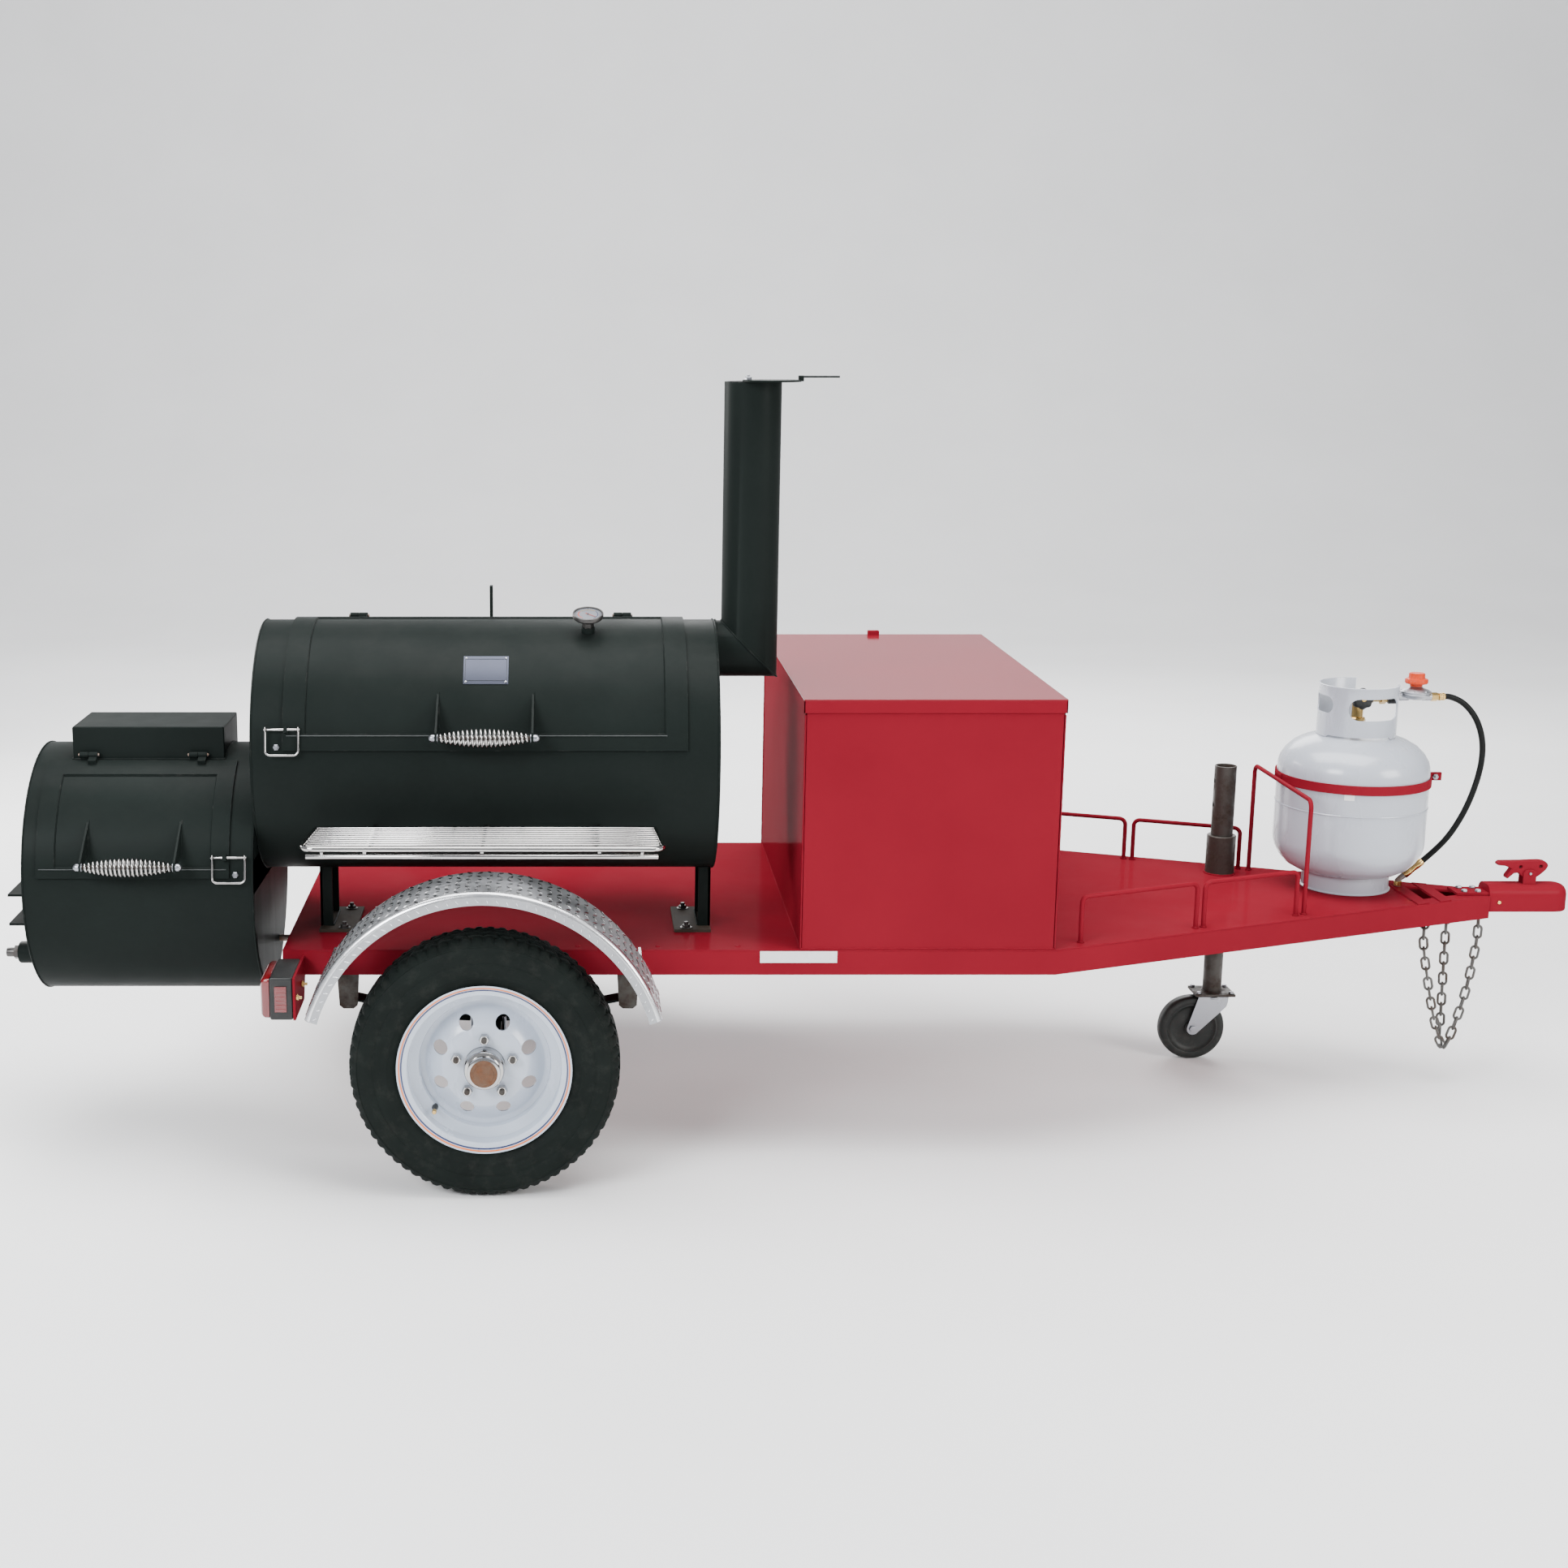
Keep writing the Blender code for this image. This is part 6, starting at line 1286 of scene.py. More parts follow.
def build_frame():
    """The angle-iron frame with cross members, straps, spring hangers and lamp plates."""
    levels = [
        (0.0, 2.175, FRAME_LOW), (0.0, 2.175, FRAME_TOP), (0.040, 2.170, FRAME_TOP),
        (0.040, 2.170, FRAME_TOP - 0.005)
    ]
    levels += [(0.005, 2.170, FRAME_TOP - 0.005), (0.005, 2.170, FRAME_LOW)]
    piece = Piece().add(
        RED, loft([[(x, y, z) for x, y in chassis_outline(i, f)] for i, f, z in levels], ring=True)
    )
    for x in (0.05, 0.56, 1.06):
        low = FRAME_LOW + 0.004
        angle = [
            (x, low), (x + 0.005, low), (x + 0.005, FRAME_TOP - 0.006), (x + 0.030, FRAME_TOP - 0.006),
            (x + 0.030, FRAME_TOP - 0.001), (x, FRAME_TOP - 0.001)
        ]
        piece.add(RED, prism(angle, "Y", -0.4525, 0.4525))
    for x in (2.004, 2.062):
        half = [rail_half(x - 0.014) - 0.004, rail_half(x + 0.014) - 0.004]
        strap = [(x - 0.014, -half[0]), (x + 0.014, -half[1]), (x + 0.014, half[1]), (x - 0.014, half[0])]
        piece.add(RED, prism(strap, "Z", FRAME_TOP - 0.003, FRAME_TOP + 0.002))
    gusset = [
        (x, side * (rail_half(x) - 0.002))
        for x, side in ((2.022, -1), (2.172, -1), (2.172, 1), (2.022, 1))
    ]
    piece.add(RED, prism(gusset, "Z", FRAME_LOW + 0.0005, FRAME_LOW + 0.0045))
    for side in (-1, 1):
        inner = 0.443
        y = sorted((side * inner, side * 0.4545))
        for x in (-0.28, 0.28):
            ear = [
                (x - 0.022, FRAME_LOW + 0.012), (x - 0.018, 0.325), (x - 0.010, 0.318),
                (x + 0.010, 0.318), (x + 0.018, 0.325), (x + 0.022, FRAME_LOW + 0.012)
            ]
            piece.add(JACK, prism(ear, "Y", *y))
            ends = sorted((side * (0.420 - 0.0265), side * (inner + 0.004)))
            piece.add(ZINC, rod("Y", (x, 0, 0.335), 0.006, *ends, 20))
        plate = [
            (side * 0.454, FRAME_LOW + 0.001), (side * 0.454, 0.430), (side * 0.612, 0.430),
            (side * 0.612, 0.345), (side * 0.478, 0.345)
        ]
        piece.add(RED, prism(plate, "X", -0.370, -0.365))
        for dy, z in ((0.02, 0.405), (0.108, 0.405)):
            at = (-0.365, side * (0.490 + dy), z - 0.018)
            piece.add(BRASS, nut("X", at, 0.0062, 0.0, 0.0050), rod("X", at, 0.0030, 0.004, 0.0110, 16))
        run = [
            (1.134 + 1.03 * k / 60, side * (rail_half(1.134 + 1.03 * k / 60) - 0.0015), 0.4398)
            for k in range(61)
        ]
        piece.add(RED, weld_bead([p for p in run if p[0] < 1.975], 0.0018))
    piece.make("trailer_frame_rails", "trailer", ["trailer_frame"], "gloss_red", bevel=0.0012, sharp=30)
    y = -0.457
    strip = Piece().add(MARK, block((0.543, 0.697), (y - 0.0014, y - 0.0002), (0.4145, 0.4385)))
    strip.make("rail_marker", "trailer", slot="gloss_red", bevel=0.0003)


def build_deck():
    """The deck plate and the socket of the jack."""
    piece = Piece().add(RED, prism(chassis_outline(0.0, 1.982), "Z", 0.4385, 0.4410))
    socket = [(0.02445, 0.4385), (0.032, 0.4385), (0.032, 0.5285), (0.0305, 0.530), (0.02445, 0.530)]
    piece.add(JACK, revolve(socket, "Z", (1.641, 0.165, 0), 48))
    ring = [
        (1.641 + 0.033 * math.cos(t), 0.165 + 0.033 * math.sin(t), 0.4420)
        for t in (math.radians(8 * k) for k in range(45))
    ]
    piece.add(RED, weld_bead(ring, 0.0022, closed=True))
    for side in (-1, 1):
        for k in range(9):
            x = -0.30 + 0.16 * k
            if abs(x) < 0.62 or x > 0.95:
                piece.add(
                    RED,
                    revolve(
                        [(0.0, 0.0), (0.006, 0.0), (0.0048, 0.0018), (0.0, 0.0024)], "Z",
                        (x, side * 0.43, 0.4410), 20
                    )
                )
    piece.make("deck_sheet", "trailer", ["deck_plate"], "gloss_red", sharp=30)


def build_guards():
    """The bent-rod guards along the tongue and behind the cylinder."""
    foot = DECK_SEAT
    for name, side in (("near", -1), ("far", 1)):
        for label, span in (("rear", (1.194, 1.456)), ("front", (1.474, 1.694))):
            ends = [(x, side * (rail_half(x) - 0.030)) for x in span]
            top = 0.441 + 0.100 - 0.00475
            path = [(*ends[0], foot), (*ends[0], top), (*ends[1], top), (*ends[1], foot)]
            piece = Piece().add(RED, tube(rounded(path, 0.014, 10), 0.00475, 18))
            for end in ends:
                ring = [
                    (end[0] + 0.0058 * math.cos(t), end[1] + 0.0058 * math.sin(t), foot + 0.001)
                    for t in (math.radians(30 * k) for k in range(12))
                ]
                piece.add(RED, weld_bead(ring, 0.0016, closed=True))
            piece.make(
                f"guard_rod_{name}_{label}", "trailer", [f"guard_{name}_{label}"], "gloss_red", sharp=60
            )
    path = [(1.715, y, z) for y, z in ((-0.19, foot), (-0.19, 0.686), (0.19, 0.686), (0.19, foot))]
    piece = Piece().add(RED, tube(rounded(path, 0.018, 12), 0.00475, 18))
    for y in (-0.19, 0.19):
        ring = [
            (1.715 + 0.0058 * math.cos(t), y + 0.0058 * math.sin(t), foot + 0.001)
            for t in (math.radians(30 * k) for k in range(12))
        ]
        piece.add(RED, weld_bead(ring, 0.0016, closed=True))
    piece.make("tank_guard_rod", "trailer", ["tank_guard"], "gloss_red", sharp=60)


def build_axle():
    """The axle beam, its stubs and the spring bolts."""
    piece = Piece().add(BLACK, block((-0.0254, 0.0254), (-0.520, 0.520), (0.2366, 0.2874)))
    for side in (-1, 1):
        piece.add(
            STEEL, rod("Y", (0, 0, HUB_Z), 0.0127, *sorted((side * 0.510, side * 0.656)), 32, 0.002)
        )
        for dx in (-0.034, 0.034):
            for dy in (-0.027, 0.027):
                if abs(dy) > 0:
                    at = (dx * 0.94, side * 0.420 + dy, 0)
                    piece.add(
                        ZINC, rod("Z", at, 0.0045, 0.218, 0.300, 14), nut("Z", at, 0.0075, 0.222, 0.229)
                    )
        plate = block((-0.042, 0.042), sorted((side * 0.386, side * 0.454)), (0.2295, 0.2355))
        piece.add(BLACK, plate)
    piece.make("axle_beam_tube", "trailer", ["axle_beam"], "satin_black", bevel=0.004)


def leaf_top(x):
    """Height of the top leaf along the spring."""
    middle = HUB_Z + 0.0254 + 0.0003 + 0.018
    return middle + (0.338 - middle) * (x / 0.280) ** 2


def build_springs():
    """The two stacks of leaf springs."""
    for name, side in (("near", -1), ("far", 1)):
        piece = Piece()
        y = sorted((side * 0.3975, side * 0.4425))
        for leaf, half in enumerate((0.280, 0.190, 0.100)):
            xs = [half * (k / 16 - 1) for k in range(33)]
            upper = [(x, leaf_top(x) - leaf * 0.006) for x in xs]
            lower = [(x, z - 0.0056) for x, z in reversed(upper)]
            piece.add(BLACK, prism(upper + lower, "Y", *y))
        for x in (-0.28, 0.28):
            piece.add(
                BLACK,
                revolve(
                    [(0.0068, y[0]), (0.0125, y[0]), (0.0125, y[1]), (0.0068, y[1])], "Y", (x, 0, 0.335),
                    32
                )
            )
        for x in (-0.150, 0.150):
            z = leaf_top(x)
            piece.add(
                BLACK,
                block((x - 0.010, x + 0.010), (y[0] - 0.0015, y[1] + 0.0005), (z - 0.0135, z + 0.0010))
            )
        piece.make(f"leaf_pack_{name}", "trailer", [f"leaf_spring_{name}"], "satin_black", bevel=0.0008)


def tyre(side):
    """The tyre's skin with five ribs, notched shoulders and raised sidewall rings."""
    half = [
        (0.1523, 0.036), (0.1523, 0.0470), (0.1560, 0.0487), (0.1680, 0.0490), (0.1740, 0.0500),
        (0.1850, 0.0556)
    ]
    half += [
        (0.1865, 0.0572), (0.1905, 0.0580), (0.1925, 0.0574), (0.2000, 0.0598), (0.2120, 0.0610),
        (0.2140, 0.0600)
    ]
    half += [
        (0.2160, 0.0610), (0.2300, 0.0596), (0.2420, 0.0562), (0.2440, 0.0545), (0.2460, 0.0552),
        (0.2540, 0.0492), (0.2585, 0.0425)
    ]
    tread = [
        (0.2605, 0.0372), (0.2610, 0.0300), (0.2562, 0.0288), (0.2562, 0.0258), (0.2616, 0.0246),
        (0.2619, 0.0110)
    ]
    tread += [(0.2566, 0.0098), (0.2566, 0.0066), (0.2620, 0.0054)]
    outer = half + tread
    inner = [(0.1523, 0.034), (0.172, 0.040), (0.200, 0.050), (0.235, 0.047), (0.250, 0.030)]
    profile = outer + [
        (r, -h) for r, h in reversed(outer)
    ] + [(r, -h) for r, h in inner] + list(reversed(inner))
    steps = 216
    shape = bmesh.new()
    rows = []
    centre = (0.0, side * TRACK_Y, HUB_Z)
    for k in range(steps):
        row = []
        for r, h in profile:
            cut_r = r
            if 0.2535 < r < 0.2612 and abs(h) > 0.0295 and k % 3 == 0:
                cut_r = r - 0.0045
            if r > 0.2612 and 0.0100 < abs(h) < 0.026 and (k + (2 if h > 0 else 0)) % 4 == 0:
                cut_r = r - 0.0030
            row.append(shape.verts.new(around("Y", centre, cut_r, side * h, 360.0 * k / steps)))
        rows.append(row)
    for first, second in zip(rows, rows[1:] + rows[:1]):
        for i in range(len(profile)):
            j = (i + 1) % len(profile)
            shape.faces.new((first[i], first[j], second[j], second[i]))
    bmesh.ops.recalc_face_normals(shape, faces=shape.faces)
    return shape


def wheel(name, side):
    """A tyre, rim, pinstripes, hub and valve stem on one wheel body."""
    centre = (0.0, side * TRACK_Y, HUB_Z)
    body = f"wheel_{name}"

    def turned(profile, steps=96):
        return revolve([(r, side * h) for r, h in profile], "Y", centre, steps)

    Piece().add(RUBBER, tyre(side)).make(
        f"tyre_{name}_rubber", body, [f"tyre_{name}"], "tyre_rubber", sharp=40
    )
    lip = [
        (0.1690, 0.0552), (0.1684, 0.0562 - 0.0006), (0.1655, 0.0549), (0.1625, 0.0535), (0.1580, 0.0523),
        (0.1500, 0.0519), (0.1485, 0.0505)
    ]
    lip += [(0.1478, 0.0440), (0.1472, 0.0250), (0.1400, 0.0215), (0.1285, 0.0165), (0.1265, 0.0100)]
    face = [
        (0.1265, 0.0020), (0.1180, 0.0012), (0.1140, 0.0030), (0.0960, 0.0175), (0.0840, 0.0272),
        (0.0790, 0.0300), (0.0400, 0.0300)
    ]
    back = [
        (0.0400, 0.0265), (0.0780, 0.0265), (0.0820, 0.0240), (0.0940, 0.0140), (0.1120, -0.0005),
        (0.1170, -0.0022), (0.1265, -0.0020)
    ]
    rear = [
        (0.1265, -0.0165), (0.1472, -0.0250), (0.1478, -0.0505), (0.1655, -0.0552), (0.1690, -0.0552),
        (0.1665, -0.0495), (0.1520, -0.0490), (0.1520, -0.022)
    ]
    outer = [(0.1300, -0.014), (0.1300, 0.014), (0.1520, 0.022), (0.1520, 0.0490), (0.1662, 0.0500)]
    rim = Piece().add(WHITE, turned(lip + face + back + rear + outer))
    stripes = Piece()
    for r, mat in ((0.1640, PIN_ORANGE), (0.1598, PIN_BLUE)):
        h = 0.0542 if r > 0.162 else 0.0527
        stripes.add(
            mat,
            turned([(r - 0.0013, h - 0.0010), (r - 0.0013, h + 0.0002), (r + 0.0013, h + 0.0009), (r + 0.0013, h - 0.0010)])
        )
    stripes.make(f"rim_{name}_stripes", body, slot="white_enamel")
    made = rim.make(f"rim_{name}_steel", body, [f"rim_{name}"], "white_enamel", sharp=40)
    holes = []
    for k in range(8):
        spot = around("Y", centre, 0.092, 0.0, 90 + 22.5 + 45 * k)
        holes.append(
            revolve(
                [(0.0, -side * 0.02), (0.014, -side * 0.02), (0.014, side * 0.05), (0.0, side * 0.05)],
                "Y", spot, 28
            )
        )
    for k in range(5):
        spot = around("Y", centre, 0.05715, 0.0, 90 + 72 * k)
        holes.append(
            revolve([(0.0, 0.0), (0.0062, 0.0), (0.0062, side * 0.05), (0.0, side * 0.05)], "Y", spot, 20)
        )
    cut_by(made, *holes)
    hub = [
        (0.0, 0.050), (0.0131, 0.050), (0.0131, -0.055), (0.032, -0.055), (0.032, 0.010), (0.070, 0.010),
        (0.070, 0.0262), (0.0395, 0.0262)
    ]
    hub += [
        (0.0395, 0.052), (0.0388, 0.0565), (0.0370, 0.0588), (0.0335, 0.0600), (0.0320, 0.0606),
        (0.0320, 0.0715), (0.0312, 0.0735), (0.0295, 0.0742), (0.0, 0.0742)
    ]
    piece = Piece().add(CHROME, turned(hub, 64))
    cap = [
        (0.0, 0.0740), (0.0265, 0.0740), (0.0265, 0.0775), (0.0250, 0.0795), (0.0205, 0.0800),
        (0.0195, 0.0790), (0.0, 0.0788)
    ]
    piece.add(RUST, turned(cap, 48))
    for k in range(5):
        spot = around("Y", centre, 0.05715, 0.0, 90 + 72 * k)
        cone = [
            (0.0, 0.0303), (0.0085, 0.0303), (0.0105, 0.0325), (0.0105, 0.0440), (0.0092, 0.0456),
            (0.0, 0.0456)
        ]
        piece.add(CHROME, revolve([(r, side * h) for r, h in cone], "Y", spot, 6))
        piece.add(JACK, rod("Y", spot, 0.0055, *sorted((side * 0.012, side * 0.0515)), 20, 0.001))
    piece.make(f"hub_{name}_cap", body, [f"hub_{name}"], "chrome", sharp=30)
    stem_at = around("Y", centre, 0.131, 0.0, 222.0)
    stem = [(0.0, 0.012), (0.0062, 0.012), (0.0062, 0.020), (0.0045, 0.024), (0.0042, 0.040), (0.0, 0.040)]
    valve = Piece().add(PLASTIC, revolve([(r, side * h) for r, h in stem], "Y", stem_at, 24))
    valve.add(
        BRASS,
        revolve(
            [
                (r, side * h)
                for r, h in (
                    (0.0, 0.039), (0.0046, 0.039), (0.0046, 0.046), (0.0036, 0.048), (0.0, 0.048)
                )
            ],
            "Y", stem_at, 16
        )
    )
    valve.make(f"valve_stem_{name}", body, slot="black_plastic", sharp=35)


def build_fenders():
    """The tread-plate fenders: raised lozenges, a bright bend and a lip."""
    high, low, lip = 0.356, 0.353, 0.331
    for name, side in (("near", -1), ("far", 1)):
        centre = (0.0, side * TRACK_Y, HUB_Z)
        bend = [
            (high - 0.010 * (1 - math.cos(t)), 0.0600 + 0.010 * math.sin(t))
            for t in (math.radians(10 * k) for k in range(10))
        ]
        profile = [(high, -0.090), *bend]
        profile += [(lip, 0.070), (lip, 0.067), (high - 0.010, 0.067)]
        profile += [
            (low - 0.007 * (1 - math.cos(t)), 0.0600 + 0.007 * math.sin(t))
            for t in (math.radians(15 * k) for k in range(6, -1, -1))
        ]
        profile += [(low, -0.090)]
        arc = revolve([(r, side * h) for r, h in profile], "Y", centre, 96, 17.0, 146.0)
        piece = Piece().add(TREAD, arc)
        rim_bend = revolve(
            [(r + 0.0002, side * (h + 0.0002)) for r, h in bend[1:]] + [(high - 0.010, side * 0.0665)],
            "Y", centre, 96, 17.2, 145.6
        )
        piece.add(POLISHED, rim_bend)
        columns, rows = 46, 6
        lozenges = bmesh.new()
        marks = []
        for i in range(columns):
            turn = math.radians(18.4 + 143.2 * i / (columns - 1))
            out = Vector((math.cos(turn), 0, math.sin(turn)))
            along = Vector((-math.sin(turn), 0, math.cos(turn)))
            hub = Vector(centre)
            across = Vector((0, side, 0))
            for j in range(rows):
                lean = 0.55 if (i + j) % 2 else -0.55
                spot = hub + out * (high - 0.0001) + across * (
                    -0.0830 + 0.0262 * j + (0.0055 if i % 2 else 0.0)
                )
                marks.append((spot, (across + along * lean).normalized(), out, 0.0120, 0.0030))
            spot = hub + out * 0.3385 + across * 0.0699
            marks.append(
                (spot, (out + along * (0.9 if i % 2 else 0.5)).normalized(), across, 0.0062, 0.0013)
            )
        for spot, long, out, size, width in marks:
            wide = out.cross(long)
            ring = [
                spot - long * size, spot - long * size * 0.4 + wide * width,
                spot + long * size * 0.4 + wide * width
            ]
            ring += [
                spot + long * size, spot + long * size * 0.4 - wide * width,
                spot - long * size * 0.4 - wide * width
            ]
            base = [lozenges.verts.new(p) for p in ring]
            top = [lozenges.verts.new(spot + (p - spot) * 0.5 + out * 0.0014) for p in ring]
            for a in range(6):
                b = (a + 1) % 6
                lozenges.faces.new((base[a], base[b], top[b], top[a]))
            lozenges.faces.new(top)
        bmesh.ops.recalc_face_normals(lozenges, faces=lozenges.faces)
        piece.add(POLISHED, lozenges)
        y = sorted((side * 0.4573, side * 0.560))
        top = HUB_Z + math.sqrt(0.3545**2 - 0.3025**2)
        for end in (-1, 1):
            x = sorted((end * 0.300, end * 0.305))
            piece.add(POLISHED, block(x, y, (FRAME_LOW + 0.004, top)))
        piece.make(f"fender_{name}_tread", "trailer", [f"fender_{name}"], "polished_aluminium", sharp=25)


def build_lamps():
    """The tail lamps with ribbed lenses and side reflectors."""
    for name, side in (("near", -1), ("far", 1)):
        y = sorted((side * 0.478, side * 0.612))
        back = -0.3703
        piece = Piece().add(PLASTIC, block((back - 0.045, back), y, (0.345, 0.430)))
        piece.make(
            f"tail_lamp_{name}_case", "trailer", [f"tail_lamp_{name}"], "black_plastic", bevel=0.004
        )
        front = back - 0.0453
        rows = []
        for depth, inset in (
            (0.0, 0.003), (0.0090, 0.003), (0.0130, 0.0045), (0.0160, 0.0075), (0.018, 0.013)
        ):
            x = front - depth
            corners = rounded(
                [
                    (x, (y[0] + y[1]) / 2, 0.345 + inset), (x, y[1] - inset, 0.345 + inset),
                    (x, y[1] - inset, 0.430 - inset), (x, y[0] + inset, 0.430 - inset),
                    (x, y[0] + inset, 0.345 + inset), (x, (y[0] + y[1]) / 2, 0.345 + inset)
                ],
                0.006, 5
            )
            rows.append(corners[:-1])
        lens = Piece().add(LENS, loft(rows))
        for k in range(9):
            z = 0.354 + 0.0084 * k
            lens.add(
                LENS,
                block(
                    (front - 0.0178, front - 0.016), (y[0] + 0.015, y[1] - 0.015),
                    (z - 0.0012, z + 0.0012)
                )
            )
        lens.make(f"lamp_lens_{name}_red", "trailer", [f"lamp_lens_{name}"], "red_lens", bevel=0.0008)
        out_y = side * 0.612
        mark = Piece().add(
            LENS, block((-0.405, -0.382), sorted((out_y, out_y + side * 0.003)), (0.362, 0.413))
        )
        for k in range(6):
            z = 0.367 + 0.0082 * k
            mark.add(
                LENS,
                block(
                    (-0.403, -0.384), sorted((out_y + side * 0.0025, out_y + side * 0.0038)),
                    (z - 0.0022, z + 0.0022)
                )
            )
        mark.make(f"side_reflector_{name}", "trailer", slot="red_lens", bevel=0.0008)


# ---------------------------------------------------------------- storage box, coupler, jack and gas


def build_storage():
    """The storage box with its seams, hinges and pan lid."""
    x, half = (0.6236, 1.1304), 0.4544
    low, top = DECK_SEAT, 0.9437
    t = 0.003
    box = Piece()
    box.add(RED, block(x, (-half, -half + t), (low, top)), block(x, (half - t, half), (low, top)))
    box.add(
        RED, block((x[0], x[0] + t), (-half, half), (low, top)),
        block((x[1] - t, x[1]), (-half, half), (low, top))
    )
    box.add(RED, block(x, (-half, half), (low, low + t)))
    lip = 0.920
    axis_y, axis_z = 0.468, 0.920
    for hinge_x in (0.720, 1.034):
        box.add(
            RED,
            block(
                (hinge_x - 0.0173, hinge_x - 0.0013), (half - 0.001, axis_y + 0.0055),
                (lip - 0.014, lip - 0.004)
            )
        )
        box.add(
            RED,
            block(
                (hinge_x - 0.0168, hinge_x - 0.0018), (axis_y - 0.004, axis_y + 0.005),
                (lip - 0.013, axis_z - 0.001)
            )
        )
        box.add(RED, rod("X", (hinge_x, axis_y, axis_z), 0.006, -0.0183, -0.0003, 24, 0.0008))
        box.add(STEEL, rod("X", (hinge_x, axis_y, axis_z), 0.003, -0.0205, 0.0205, 16))
    box.make("storage_box_shell", "trailer", ["storage_box"], "gloss_red", bevel=0.0012, sharp=30)
    seams = Piece()
    for cx, cy in ((x[0], -half), (x[1], -half), (x[0], half), (x[1], half)):
        run = [(cx, cy, low + 0.003 + (0.916 - low - 0.003) * k / 50) for k in range(51)]
        seams.add(RED, weld_bead(run, 0.0016))
    for y in (-half, half):
        seams.add(
            RED, weld_bead([(x[0] + (x[1] - x[0]) * k / 50, y, low + 0.0012) for k in range(51)], 0.0018)
        )
    for cx in x:
        seams.add(
            RED, weld_bead([(cx, -half + 2 * half * k / 80, low + 0.0012) for k in range(81)], 0.0018)
        )
    seams.make("storage_box_seams", "trailer", slot="gloss_red", sharp=60)
    lid = Piece()
    lid.add(RED_TOP, block((0.620, 1.134), (-0.458, 0.458), (0.944, 0.947)))
    lid.add(
        RED, block((0.620, 1.134), (-0.458, -0.455), (lip, 0.9445)),
        block((0.620, 1.134), (0.455, 0.458), (lip, 0.9445))
    )
    lid.add(
        RED, block((0.620, 0.623), (-0.458, 0.458), (lip, 0.9445)),
        block((1.131, 1.134), (-0.458, 0.458), (lip, 0.9445))
    )
    for hinge_x in (0.720, 1.034):
        lid.add(
            RED,
            block((hinge_x + 0.001, hinge_x + 0.017), (0.457, axis_y), (axis_z + 0.0005, axis_z + 0.0055))
        )
        lid.add(RED, rod("X", (hinge_x, axis_y, axis_z), 0.006, 0.0, 0.018, 24, 0.0008))
    lid.add(RED, block((0.864, 0.890), (0.440, 0.456), (0.946, 0.957)))
    lid.make("storage_lid_pan", "storage_lid", ["storage_lid"], "gloss_red", bevel=0.0014, sharp=30)


